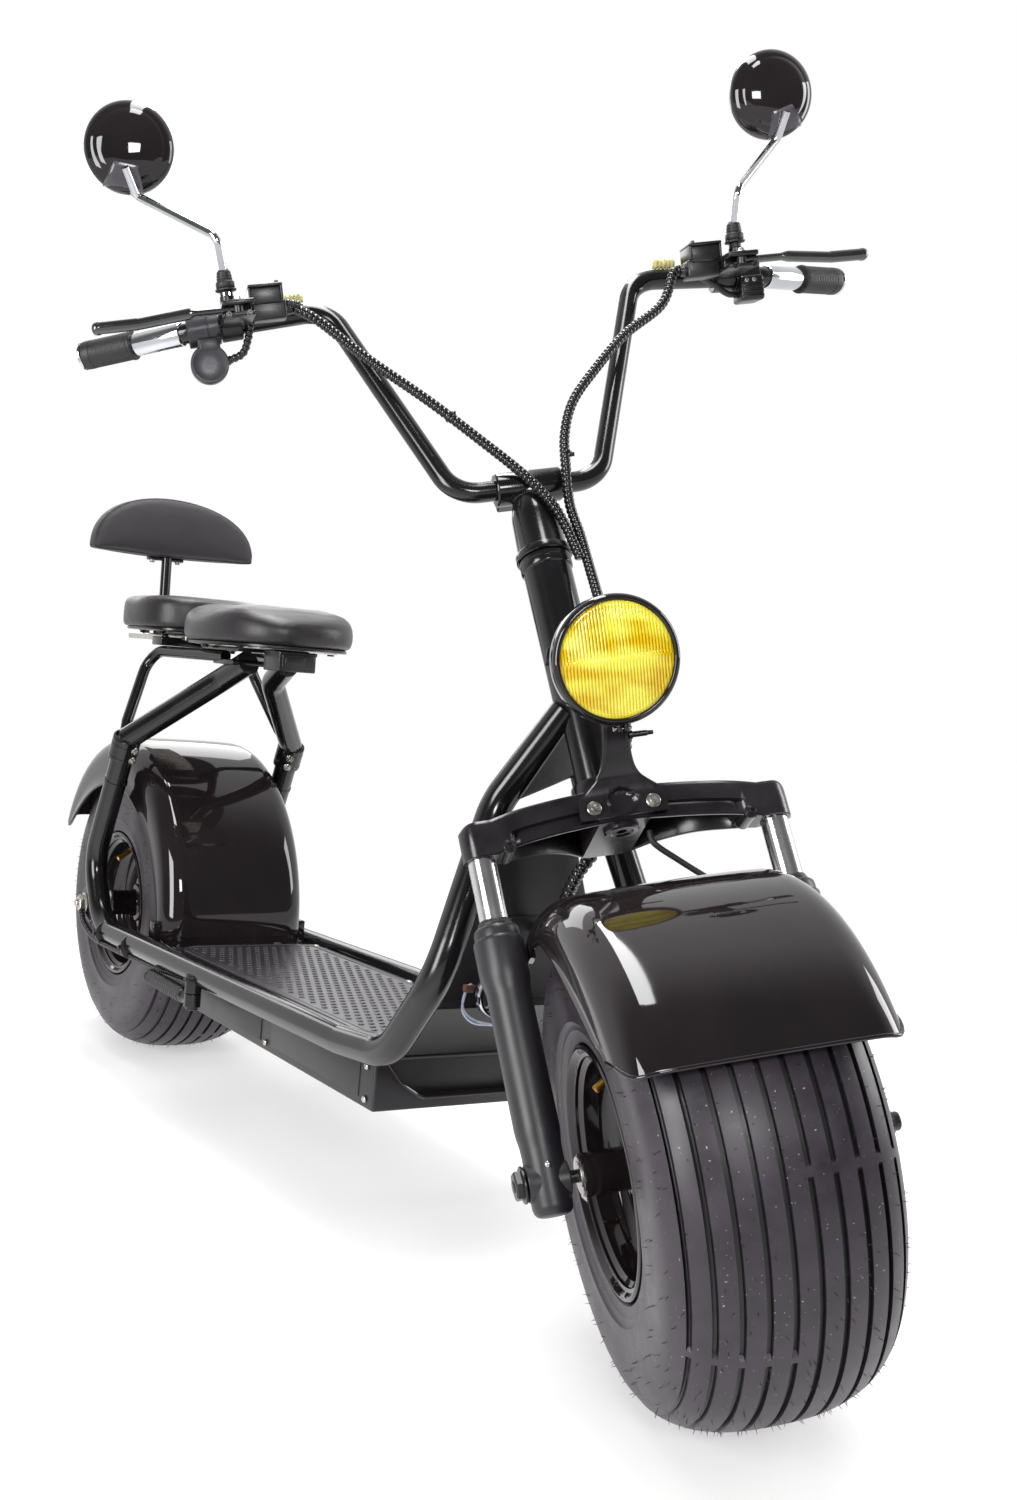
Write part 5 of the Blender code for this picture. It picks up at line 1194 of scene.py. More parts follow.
# %% [markdown]
# ## Steering stem and frame
#
# Two long tubes make the frame: each starts at the head tube, spreads to the
# deck's width, runs back along the deck and turns up round the rear axle to the
# seat. The path is a polyline with its corners rounded, as a tube bender rounds
# them. Gusset plates fill the corners at the head, and every joint shows its
# weld bead through the powder coat.

# %% The stem, its clamp and the head tube
HEAD_LOW, HEAD_HIGH, CLAMP_AT = 0.364, 0.64, 0.731
CLAMP = column(CLAMP_AT)
stem = turned(bmesh.new(), column(HEAD_HIGH + 0.0006), ALONG, [
    (0, 28.8), (0.8, 29.8), (7, 30), (8.2, 29.2), (9, 27), (11, 26.4), (50, 24.8), (56, 24.2),
    (66, 21.8), (74, 19.2), (79, 17)], 64)
turned(stem, CLAMP - Vector((0.036, 0, 0)), (1, 0, 0), [
    (0, 11.2), (0, 16.8), (1.2, 17.8), (2.4, 18), (33.6, 18), (34.2, 17.4), (37.8, 17.4), (38.4, 18),
    (69.6, 18), (70.8, 17.8), (72, 16.8), (72, 11.2)], 64)
for side, hand in HANDS:
    near = CLAMP + Vector((0.008 * side, 0, 0)) - FORWARD * 0.012
    rings = []
    for x, grow in ((0.0, -0.0012), (0.0012, 0.0), (0.023, 0.0), (0.0242, -0.0012)):
        high = 0.0105 + grow
        rings.append([near + Vector((x * side, 0, 0)) + ALONG * a - FORWARD * f for a, f in (
            (-high, 0), (-high, 0.015 + grow), (-0.0012, 0.0165 + grow), (-0.0012, 0.006),
            (0.0012, 0.006), (0.0012, 0.0165 + grow), (high, 0.015 + grow), (high, 0))])
    skin(stem, rings)
piece("steering_stem_forging", stem, "powder_coat", "steering", ["steering_stem"], sharp=36)
bolts("clamp_bolts", [(CLAMP + Vector((x, 0, 0)) - FORWARD * 0.0215 + ALONG * 0.0106, ALONG)
                      for x in (-0.0262, -0.014, 0.014, 0.0262)], "socket", 0.0036, "zinc", "steering")
welds("stem_weld", [arc(CLAMP - ALONG * 0.0165, Vector((1, 0, 0)), FORWARD, 0.0185, 0, 360, 40)],
      0.0022, "steering")

head_length = HEAD_HIGH - HEAD_LOW
head = revolved(bmesh.new(), column(HEAD_LOW), ALONG, [
    (0, 0.0272), (0.001, 0.0284), (0.015, 0.0285), (0.0165, 0.0278), (0.0176, 0.0256),
    (head_length - 0.0146, 0.0255), (head_length - 0.013, 0.027), (head_length - 0.0118, 0.0275),
    (head_length - 0.0072, 0.0275), (head_length - 0.0066, 0.0269), (head_length - 0.0056, 0.0269),
    (head_length - 0.005, 0.0275), (head_length - 0.001, 0.0275), (head_length, 0.0262)], 64)
soft_box(head, column(0.512, x=-0.0325, forward=0.002), column(0.528, x=-0.0245, forward=0.009), 0.0012)
piece("head_tube_sleeve", head, "powder_coat", "frame", ["head_tube"], sharp=36)
print("stem and head tube made")


# %% Side tubes, gussets and axle plates
def deck_height(y):
    return 0.218 - 0.015 * (y - 0.5)


TUBE_X, TUBE_RADIUS, BETWEEN_TUBES = 0.14, 0.0168, 0.1229
SEAT_JOINT = Vector((0.1355, 1.226, 0.495))


def side_tube_path(side, steps=14):
    joint = mirrored(SEAT_JOINT, side)
    points = [column(0.462, x=0.0185), above(0.07, 0.318, 0.2715), above(TUBE_X - 0.002, 0.29, 0.1015),
              above(TUBE_X, 0.375, -0.0005), (TUBE_X, 0.48, deck_height(0.48)),
              (TUBE_X, 1.27, deck_height(1.27) - 0.006), aft(TUBE_X, -0.016, 0.0715)]
    points = [mirrored(point, side) for point in points]
    down = (points[-1] - joint).normalized()
    return rounded(points + [joint + down * 0.004], 0.075, steps)


def plate(bm, outline, x, thickness, edge=0.001):
    """A flat plate in the wheel's plane, its edges eased, from a (y, z) outline."""
    middle = sum((Vector((y, z)) for y, z in outline), Vector((0, 0))) / len(outline)
    rings = []
    for offset, shrink in ((-thickness / 2, edge), (-thickness / 2 + edge, 0), (thickness / 2 - edge, 0),
                           (thickness / 2, edge)):
        ring_points = []
        for y, z in outline:
            inward = (middle - Vector((y, z))).normalized() * shrink
            ring_points.append((x + offset, y + inward.x, z + inward.y))
        rings.append(ring_points)
    return skin(bm, rings)


beads = []
for side, hand in HANDS:
    path = side_tube_path(side)
    frame_tube = tube(bmesh.new(), path, TUBE_RADIUS, 36)
    corner_top, corner_low = column(0.48, x=0.022), column(0.392, x=0.022)
    corner_foot = above(0.069, 0.319, 0.2665)
    lift = (corner_top - corner_low).cross(corner_foot - corner_low).normalized()
    sheet = []
    for offset, shrink in ((-0.002, 0.0008), (-0.0012, 0), (0.0012, 0), (0.002, 0.0008)):
        middle = (corner_top + corner_low + corner_foot) / 3
        sheet.append([mirrored(point + (middle - point).normalized() * shrink + lift * offset, side)
                      for point in (corner_top, corner_low, corner_foot)])
    skin(frame_tube, sheet)
    for step in range(2):
        offset = lift * (0.0022 if step else -0.0022)
        beads.append([mirrored(corner_top.lerp(corner_low, share / 8) + offset, side)
                      for share in range(1, 9)])
        beads.append([mirrored(corner_top.lerp(corner_foot, share / 8) + offset, side)
                      for share in range(1, 9)])
    outline = [(WHEEL_BASE + 0.024 * math.cos(math.radians(turn)),
                TYRE_RADIUS + 0.024 * math.sin(math.radians(turn))) for turn in range(-100, 101, 10)]
    outline += [(WHEEL_BASE - 0.014, TYRE_RADIUS + 0.0405), (WHEEL_BASE - 0.028, TYRE_RADIUS + 0.04),
                (WHEEL_BASE - 0.036, TYRE_RADIUS - 0.02), (WHEEL_BASE - 0.02, TYRE_RADIUS - 0.0285)]
    plate(frame_tube, outline, TUBE_X * side, 0.01)
    beads.append([(TUBE_X * side + 0.0052 * side, WHEEL_BASE - 0.029 + 0.0045 * share / 8,
                   TYRE_RADIUS - 0.02 + 0.058 * share / 8) for share in range(9)])
    top = Vector((0.152 * side, 0.875, 0.21))
    turned(frame_tube, top, (0, 0, -1), [
        (0, 10), (1, 11), (23.8, 11), (24.6, 10), (24.6, 4.6), (43.4, 4.5), (43.4, 7.2), (44, 8),
        (45.8, 8), (46.4, 7)], 32)
    beads.append(arc(Vector((0.152 * side, 0.875, 0.204)),
                     Vector((1, 0, 0)), Vector((0, 1, 0)), 0.0112, 0, 360, 24))
    step_at = path[-1].lerp(path[-2], 0.42)
    upward = (path[-1] - path[-2]).normalized()
    turned(frame_tube, step_at, upward, [(0, 16.6), (0.8, 18), (5.2, 18), (6, 16.6)], 40)
    if side > 0:
        pivot = Vector((0.16, 0.47, 0.168))
        stand_axis = Vector((math.cos(math.radians(33)), 0, math.sin(math.radians(33))))
        stand_way = Vector((math.sin(math.radians(33)), 0, -math.cos(math.radians(33))))
        start = 0.0126
        turned(frame_tube, pivot - stand_axis * start, stand_axis, [
            (0, 11.8), (1, 13), (5, 13), (6, 12.2), (6, 4.6), (19.2, 4.6), (19.2, 8), (19.8, 8.8),
            (21.4, 8.8), (22, 7.8)], 32)
        tube(frame_tube, rounded([pivot - stand_axis * start, pivot - stand_axis * start - stand_way * 0.024,
                                  Vector((TUBE_X, 0.47, deck_height(0.47)))], 0.012, 6), 0.0056, 20)
    piece(f"side_tube_{hand}_steel", frame_tube, "powder_coat", "frame", [f"side_tube_{hand}"], sharp=40)
welds("frame_welds", beads, 0.0024)
print("side tubes bent, weld lines:", len(beads))

# %% The rear axle
rear = turned(bmesh.new(), REAR_AXLE - Vector((0.1612, 0, 0)), (1, 0, 0), [
    (0, 5), (1, 5.8), (321.4, 5.8), (322.4, 5)], 24)
for side, hand in HANDS:
    foot = REAR_AXLE + Vector((0.1453 * side, 0, 0))
    turned(rear, foot, (side, 0, 0), [
        (0, 15), (0.6, 15.5), (2.2, 15.5), (2.8, 14.8), (2.8, 6)], 36)
    turned(rear, foot + Vector((0.0026 * side, 0, 0)), (side, 0, 0), [
        (0, 12.6), (7.8, 12.8), (9.6, 10.8)], 6)
    turned(rear, REAR_AXLE + Vector((0.115 * side, 0, 0)), (side, 0, 0), [
        (0, 13.8), (0.8, 14.5), (18.8, 14.5), (19.7, 13.6)], 32)
piece("rear_axle_steel", rear, "zinc", "frame", ["rear_axle"], sharp=25)

# %% [markdown]
# ## Deck
#
# Between the tubes hangs the battery box, folded from sheet, with a shelf on
# top that carries a rubber mat. The mat's small oval bumps repeat in staggered
# rows, so Geometry Nodes puts one low bump on each point of a grid. The front
# panel closes the box towards the fork: its pressed ledge and its folds are
# what the eye finds there, with the bright edge of the U-shaped lip below.

# %% Battery box, shelf and lips
box = soft_box(bmesh.new(), (-0.118, 0.438, 0.146), (0.118, 0.987, 0.2048), 0.0035, 4)
for side, hand in HANDS:
    for low, high in ((0.47, 0.7), (0.73, 0.96)):
        soft_box(box, (0.1172 * side, low, 0.156), (0.1194 * side, high, 0.195), 0.001)
piece("battery_box_sheet", box, "box", "frame", ["battery_box"], sharp=30)
bolts("box_screws", [(Vector((0.1192 * side, y, z)), (side, 0, 0)) for side, hand in HANDS
                     for y in (0.455, 0.715, 0.974) for z in (0.157, 0.194)], "button", 0.0042, "zinc")

DECK_FRONT, DECK_REAR = 0.5, 1.066
shelf = bmesh.new()
rings = []
for y in [DECK_FRONT - 0.055 + (DECK_REAR - DECK_FRONT + 0.055) * step / 24 for step in range(25)]:
    level, half = deck_height(y), BETWEEN_TUBES
    rings.append([(-half, y, 0.2056), (half, y, 0.2056), (half, y, level - 0.0012), (half - 0.0008, y, level),
                  (-half + 0.0008, y, level), (-half, y, level - 0.0012)])
skin(shelf, rings)
piece("deck_shelf_sheet", shelf, "box", "frame", ["deck_plate"], sharp=30)


def mat_outline(half, front, rear, corner, steps=8):
    outline = []
    for x, y, start in ((half, front, -90), (half, rear, 0), (-half, rear, 90), (-half, front, 180)):
        middle = (x - math.copysign(corner, x), y + (corner if y == front else -corner))
        for step in range(steps + 1):
            turn = math.radians(start + 90 * step / steps)
            outline.append((middle[0] + corner * math.cos(turn), middle[1] + corner * math.sin(turn)))
    return outline


mat = bmesh.new()
rings = []
for shrink, lift in ((0.0, 0.0003), (0.0, 0.003), (0.0006, 0.0038), (0.0016, 0.0041), (0.005, 0.0041),
                     (0.0062, 0.0032), (0.0078, 0.0032), (0.009, 0.004)):
    rings.append([(x, y, deck_height(y) + lift)
                  for x, y in mat_outline(0.106 - shrink, 0.47 + shrink, 1.054 - shrink, 0.035 - shrink)])
skin(mat, rings)
piece("deck_mat_rubber", mat, "mat", "frame", ["deck_mat"], sharp=30)

# %% Bumps on the mat, by Geometry Nodes
studs, given, outgoing = node_group("mat_bumps", (
    ("Width", "Float"), ("Length", "Float"), ("Height", "Float"), ("Finish", "Material")))
dome = add(studs, "GeometryNodeMeshUVSphere", {"Segments": 10, "Rings": 6, "Radius": 0.5})
size = add(studs, "ShaderNodeCombineXYZ", {"X": given["Width"], "Y": given["Length"], "Z": given["Height"]})
stood = add(studs, "GeometryNodeInstanceOnPoints",
            {"Points": given["Geometry"], "Instance": dome.outputs["Mesh"], "Scale": size.outputs["Vector"]})
end_tree(studs, stood.outputs["Instances"], outgoing, given["Finish"])

rows = []
for row in range(37):
    y = 0.484 + row * 0.0155
    for place in range(15):
        x = (place - 7 + (0.5 if row % 2 else 0.0)) * 0.0135
        if abs(x) < 0.0925 and 0.482 < y < 1.042:
            rows.append((Vector((x, y, deck_height(y) + 0.004)), (0, 0, 1)))
mesh = grown(loose_points(rows), studs, {"Width": 0.0085, "Length": 0.0056,
                                         "Height": 0.003, "Finish": FINISHES["mat"]}, "deck_mat_bumps")
settle("deck_mat_bumps", mesh, "mat", "frame", (), 60)
bolts("deck_screws", [(Vector((x, y, deck_height(y) + 0.0002)), (0, 0, 1)) for x in (-0.114, 0.114)
                      for y in (0.492, 0.77, 1.048)], "button", 0.0048, "zinc")
print("mat bumps:", len(rows))

# %% The front panel, the nose lip and the horn
PANEL = [(0.257, 0.3442, 0.046), (0.2415, 0.345, 0.052), (0.1015, 0.352, 0.104), (0.0645, 0.3555, 0.1112),
         (0.06, 0.3535, 0.1118), (0.0582, 0.348, 0.112), (0.0578, 0.342, 0.112), (0.057, 0.3392, 0.112),
         (0.0545, 0.3385, 0.1124), (0.019, 0.383, 0.1222), (0.0165, 0.386, 0.1229), (0.014, 0.389, 0.1229),
         (-0.0145, 0.418, 0.1229)]
panel = bmesh.new()
rings = []
for height, y, half in PANEL:
    rings.append([above(*point) for point in ((-half, y + 0.0012, height), (-half + 0.003, y, height),
                                              (half - 0.003, y, height), (half, y + 0.0012, height),
                                              (half, y + 0.004, height), (-half, y + 0.004, height))])
skin(panel, rings)
soft_box(panel, above(-0.02, 0.3452, 0.12), above(0.02, 0.352, 0.15), 0.0015)
piece("front_panel_sheet", panel, "box", "frame", ["front_panel"], sharp=28)

lip = bmesh.new()
LIP = [(0.116, 0.0), (0.112, 0.0052), (0.098, 0.023), (0.092, 0.0294), (0.07, 0.0436), (0.063, 0.046)]
rings = []
for x, drop in LIP + [(-x, drop) for x, drop in reversed(LIP)]:
    rings.append([(x * share, y, 0.2085 - drop * (share * 2.4 - 1.4))
                  for share, y in ((1, 0.421), (1, 0.4374), (0.9965, 0.4376), (0.978, 0.4376), (0.975, 0.437),
                                   (0.975, 0.4206), (0.984, 0.42), (0.996, 0.4203))])
skin(lip, rings)
piece("nose_lip_sheet", lip, "lacquer", "frame", ["nose_lip"], sharp=35)

HORN = above(-0.046, 0.3377, 0.0715)
horn = turned(bmesh.new(), HORN, (0, -1, 0), [
    (0, 16.5), (3, 20), (8, 22.8), (9.8, 23.6), (17.8, 23.6), (18.4, 20.6), (17.2, 18), (17.2, 13),
    (18.6, 12), (20, 7), (20.4, 2)], 56)
piece("horn_diaphragm", horn, "satin", "frame", ["horn"], sharp=34)
ring_bm = turned(bmesh.new(), HORN - Vector((0, 0.0164, 0)), (0, -1, 0), [
    (-6, 23.2), (-5.2, 24), (4, 24), (5.2, 23.3), (5.4, 20.6), (4.6, 19.6), (1, 19.8)], 56)
piece("horn_ring", ring_bm, "chrome", "frame")
bolts("horn_rivets", [(HORN + Vector((0.0165 * math.cos(turn), -0.0172, 0.0165 * math.sin(turn))), (0, -1, 0))
                      for turn in [math.pi / 4 + math.pi / 2 * step for step in range(4)]], "button", 0.0016)
print("deck, panel and horn made")

# %% [markdown]
# ## Seats
#
# The seats are foam in a glued and stapled cover, so their walls bulge a little
# between the board they sit on and the crowned top. A drawn form looks too
# regular for that. Each one starts slightly small as a lofted shape, a voxel
# remesh gives it even little squares, and Blender's cloth blows it up against
# its pinned base for twenty frames. How far a point may move is capped, and one
# subdivision smooths the result. The saddle is satin vinyl, which shows as a
# soft white patch where the light falls on its nose; the backrest has a woven
# cover.

# %% Seat materials: grained vinyl and a woven cover
def seat_material(name, light, dark, gloss, cell_mm, depth_mm, weave):
    made = make_finish(name, light, dark, gloss, 55, 1.1, depth_mm * 0.5,
                       Sheen_Weight=0.06 if weave else 0.02)
    tree = made.node_tree
    place = object_place(tree)
    first = next(node for node in tree.nodes if node.type == "BUMP")
    if weave:
        fine = add(tree, "ShaderNodeTexWave", {"Vector": place, "Scale": 1000 / (cell_mm * 6.3),
                                               "Distortion": 0.4}, bands_direction="X")
        cross = add(tree, "ShaderNodeTexWave", {"Vector": place, "Scale": 1000 / (cell_mm * 6.3),
                                                "Distortion": 0.4}, bands_direction="Z")
        height = add(tree, "ShaderNodeMath", {0: fine.outputs["Fac"], 1: cross.outputs["Fac"]},
                     operation="MULTIPLY").outputs["Value"]
    else:
        cells = add(tree, "ShaderNodeTexVoronoi", {"Vector": place, "Scale": 1000 / cell_mm},
                    feature="DISTANCE_TO_EDGE")
        height = add(tree, "ShaderNodeMapRange",
                     {"Value": cells.outputs["Distance"], "From Max": 0.25}).outputs["Result"]
    pressed = add(tree, "ShaderNodeBump", {"Height": height, "Distance": depth_mm / 1000, "Strength": 0.6,
                                          "Normal": first.outputs["Normal"]})
    tree.links.new(pressed.outputs["Normal"], tree.nodes["Principled BSDF"].inputs["Normal"])
    return made


FINISHES["vinyl"] = seat_material("grained_seat_vinyl", "#181417", "#110f11", (0.36, 0.43), 1.3, 0.05, False)
FINISHES["woven"] = seat_material("woven_seat_cover", "#262227", "#1c191d", (0.62, 0.78), 0.9, 0.16, True)


# %% The cloth recipe
def evaluated_mesh(holder):
    bpy.context.view_layer.update()
    return bpy.data.meshes.new_from_object(holder.evaluated_get(bpy.context.evaluated_depsgraph_get()))


def stuffed(bm, base_level, cap, voxel=0.0045):
    """The drawn form remeshed, blown up as cloth above its pinned base, capped and subdivided."""
    holder = placed("form", mesh_of("form", bm))
    remesh = holder.modifiers.new("even_squares", "REMESH")
    remesh.mode, remesh.voxel_size = "VOXEL", voxel
    still = evaluated_mesh(holder)
    holder.modifiers.clear()
    holder.data = still
    start = np.array([tuple(vert.co) for vert in still.vertices])
    held = holder.vertex_groups.new(name="base")
    held.add([vert.index for vert in still.vertices if base_level(vert.co)], 1.0, "REPLACE")
    cloth = holder.modifiers.new("cover", "CLOTH")
    cloth.settings.use_pressure = True
    cloth.settings.uniform_pressure_force = 4.0
    cloth.settings.vertex_group_mass = "base"
    cloth.settings.effector_weights.gravity = 0.0
    for count in range(1, 21):
        bpy.context.scene.frame_set(count)
    blown = evaluated_mesh(holder)
    moved = np.array([tuple(vert.co) for vert in blown.vertices]) - start
    reach = np.linalg.norm(moved, axis=1, keepdims=True)
    moved *= np.minimum(1.0, cap / np.maximum(reach, 1e-9))
    ends = np.array([tuple(edge.vertices) for edge in still.edges])
    degree = np.bincount(ends.ravel(), minlength=len(start))[:, None]
    for count in range(40):
        around = np.zeros_like(moved)
        np.add.at(around, ends[:, 0], moved[ends[:, 1]])
        np.add.at(around, ends[:, 1], moved[ends[:, 0]])
        moved = (moved + around / degree) / 2
    blown.vertices.foreach_set("co", (start + moved).astype(np.float32).ravel())
    holder.modifiers.clear()
    holder.data = blown
    bpy.context.scene.frame_set(1)
    print("cloth moved up to", round(float(reach.max()) * 1000, 1), "mm, capped at", cap * 1000)
    smooth = holder.modifiers.new("finer", "SUBSURF")
    smooth.levels = smooth.render_levels = 1
    mesh = evaluated_mesh(holder)
    bpy.data.objects.remove(holder)
    return mesh


def snapped(points, mesh, lift=0.0):
    """Points moved to the nearest place on a finished cover."""
    tree = BVHTree.FromPolygons([vert.co for vert in mesh.vertices],
                                [tuple(face.vertices) for face in mesh.polygons])
    found = []
    for point in points:
        place, normal = tree.find_nearest(Vector(point))[:2]
        found.append(place + normal * lift)
    return found


# %% Saddle and passenger pad
def superellipse(half_width, half_length, squareness, centre_y, share, steps=72):
    outline = []
    for turn in full_turn(steps):
        cosine, sine = math.cos(turn), math.sin(turn)
        outline.append((half_width * share * math.copysign(abs(cosine) ** (2 / squareness), cosine),
                        centre_y + half_length * share * math.copysign(abs(sine) ** (2 / squareness), sine)))
    return outline


def cushion_form(half_width, half_length, centre_y, squareness, low, thickness, section, top):
    rings = []
    for share, level in section:
        rings.append([(x, y, low + level * (thickness + top((y - centre_y) / half_length)))
                      for x, y in superellipse(half_width, half_length, squareness, centre_y, share)])
    return skin(bmesh.new(), rings)


def saddle_top(along_share):
    """Rises to the rear, dips where one sits and drops a little at the nose."""
    return (0.005 * smooth_step(along_share, 0.35, 0.95)
            - 0.003 * math.exp(-((along_share - 0.05) / 0.35) ** 2)
            - 0.009 * smooth_step(-along_share, 0.45, 1.0))


SADDLE_SECTION = [(0.9, 0.0), (0.955, 0.02), (0.985, 0.1), (1.0, 0.28), (1.0, 0.52), (0.985, 0.7),
                  (0.95, 0.83), (0.885, 0.925), (0.78, 0.975), (0.6, 1.0), (0.35, 1.012), (0.1, 1.018)]
PAD_SECTION = [(0.93, 0.0), (0.975, 0.02), (1.0, 0.12), (1.003, 0.45), (1.0, 0.78), (0.985, 0.89),
               (0.955, 0.955), (0.9, 0.985), (0.75, 1.0), (0.45, 1.008), (0.12, 1.01)]
mesh = stuffed(cushion_form(0.1075, 0.147, 1.051, 2.35, 0.6482, 0.05, SADDLE_SECTION, saddle_top),
               lambda place: place.z < 0.65, 0.005)
saddle = settle("saddle_cover", mesh, "vinyl", "frame", ["saddle"], 80)
mesh = stuffed(cushion_form(0.108, 0.106, 1.315, 2.9, 0.6642, 0.046, PAD_SECTION, lambda along: 0.0),
               lambda place: place.z < 0.666, 0.004)
pad = settle("passenger_pad_cover", mesh, "vinyl", "frame", ["passenger_pad"], 80)

boards = bmesh.new()
for half_width, half_length, centre_y, squareness, level in ((0.1075, 0.147, 1.051, 2.35, 0.6484),
                                                            (0.108, 0.106, 1.315, 2.9, 0.6644)):
    skin(boards, [[(x, y, level + z)
                   for x, y in superellipse(half_width, half_length, squareness, centre_y, share)]
                  for share, z in ((0.925, -0.0045), (0.935, -0.0037), (0.935, -0.0008), (0.9, 0.0012))])
piece("seat_boards", boards, "plastic", "frame")
bolts("seat_board_bolts", [(Vector((x, y, z)), (0, 0, -1)) for x, y, z in (
    (0.07, 0.985, 0.644), (-0.07, 0.985, 0.644), (0.07, 1.11, 0.644), (-0.07, 1.11, 0.644),
    (0.062, 1.3, 0.66), (-0.062, 1.3, 0.66), (0.062, 1.385, 0.66), (-0.062, 1.385, 0.66))],
      "hex", 0.0052, "satin")

# %% The backrest
BACK_HALF, BACK_LOW, BACK_HEIGHT, POST_Y = 0.142, 0.782, 0.096, 1.463


def back_outline(share, offset):
    """The D-shaped outline of the pad at a depth, wrapped round the passenger."""
    line = []
    for turn in full_turn(60):
        x = BACK_HALF * math.cos(turn)
        if math.sin(turn) >= 0:
            up = BACK_HEIGHT * math.sin(turn) ** 0.85
        else:
            up = -0.005 * (1 - (x / BACK_HALF) ** 2)
        x, up = x * share, 0.042 + (up - 0.042) * share
        line.append(Vector((x, POST_Y + 0.026 - offset - 0.028 * (x / BACK_HALF) ** 2, BACK_LOW + up)))
    return line


BACK_SECTION = [(0.8, 0.003), (0.9, 0.004), (0.95, 0.007), (0.968, 0.013), (0.968, 0.03), (0.955, 0.037),
                (0.925, 0.0425), (0.87, 0.0465), (0.76, 0.0485), (0.55, 0.05), (0.28, 0.0505), (0.08, 0.0507)]
mesh = stuffed(skin(bmesh.new(), [back_outline(share, offset) for share, offset in BACK_SECTION]),
               lambda place: place.y > POST_Y + 0.0215 - 0.028 * (place.x / BACK_HALF) ** 2, 0.005, 0.0042)
seam_line = snapped(back_outline(0.965, 0.0365), mesh, 0.0002)
stitch_line = snapped(back_outline(0.937, 0.0405), mesh, 0.0001)
backrest = settle("backrest_cover", mesh, "woven", "frame", ["backrest_pad"], 80)
welt = tube(bmesh.new(), seam_line + [seam_line[0]], 0.0011, 10)
piece("backrest_welt", welt, "vinyl", "frame", sharp=80)
STITCH = shape_source("stitch", revolved(bmesh.new(), (0, 0, -1.5), (0, 0, 1), [
    (0, 0.3), (0.4, 0.8), (1.5, 1.0), (2.6, 0.8), (3.0, 0.3)], 6))
along_paths("backrest_stitches", [stitch_line + [stitch_line[0]]], STITCH,
            0.0007, 0.0032, 0.0, "plastic", "frame")
back_board = skin(bmesh.new(), [back_outline(share, offset) for share, offset in (
    (0.72, -0.001), (0.86, -0.0004), (0.9, 0.001), (0.905, 0.004), (0.88, 0.006))])
piece("backrest_board", back_board, "plastic", "frame", sharp=40)
post = turned(bmesh.new(), (0, POST_Y, 0.6565), (0, 0, 1), [
    (0, 7.8), (0.8, 8.5), (124.4, 8.5), (125, 8)], 32)
soft_box(post, (-0.03, POST_Y + 0.001, 0.776), (0.03, POST_Y + 0.015, 0.7815), 0.0012)
piece("backrest_post_tube", post, "powder_coat", "frame", ["backrest_post"])
bolts("backrest_bolts", [(Vector((x, POST_Y + 0.008, 0.7758)), (0, 0, -1)) for x in (-0.022, 0.022)],
      "hex", 0.0044, "zinc")
print("seats covered")

# %% [markdown]
# Under the seats, two thick tubes lean forward from clamps on the side tubes,
# and two thin stays carry the passenger's plate. The plates are bare zinc on
# dark braces; a small black box for the controller's plugs hangs in front.

# %% Seat frame and plates
seat_frame = bmesh.new()
clamp_bolts, seat_welds = [], []
for side, hand in HANDS:
    joint = mirrored(SEAT_JOINT, side)
    bend, top = mirrored(aft(0.04, -0.234, 0.366), side), mirrored(aft(0.03, -0.3, 0.3935), side)
    tube(seat_frame, rounded([joint, bend, top], 0.05, 14), 0.0173, 36)
    low = joint + Vector((-0.004 * side, 0.026, 0.012))
    corner = Vector((0.079 * side, WHEEL_BASE - 0.042, 0.6285))
    front = Vector((0.05 * side, WHEEL_BASE - 0.264, 0.6285))
    stay = rounded([low, low.lerp(corner, 0.1), corner, front], 0.03, 8)
    radii = [0.0062 if (point - low).length < 0.013 else 0.0085 for point in stay]
    tube(seat_frame, stay, radii, 24)
    path = side_tube_path(side)
    upward = (path[-1] - path[-2]).normalized()
    across, around = square_to(upward)
    turned(seat_frame, path[-1] - upward * 0.03, upward, [
        (0, 20), (0.8, 21), (4, 21.3), (6.2, 21.3), (6.8, 20.5), (9, 20.5), (9.6, 21.3), (26.4, 21.3),
        (27, 20.5), (29.2, 20.5), (29.8, 21.3), (35, 21.2), (36, 20)], 44)
    ahead_way = (Vector((-0.35 * side, -1, 0))
                 - upward * Vector((-0.35 * side, -1, 0)).dot(upward)).normalized()
    for rise in (-0.022, -0.006):
        clamp_bolts.append((path[-1] + upward * rise + ahead_way * 0.0212, ahead_way))
    seat_welds.append(arc(path[-1] + upward * 0.0065, across, around, 0.0186, 0, 360, 36))
soft_box(seat_frame, aft(-0.056, -0.302, 0.3885), aft(0.056, -0.232, 0.3965), 0.002)
piece("seat_frame_tubes", seat_frame, "powder_coat", "frame", ["seat_frame"], sharp=40)
bolts("seat_clamp_bolts", clamp_bolts, "socket", 0.004, "zinc")
welds("seat_welds", seat_welds, 0.0024)

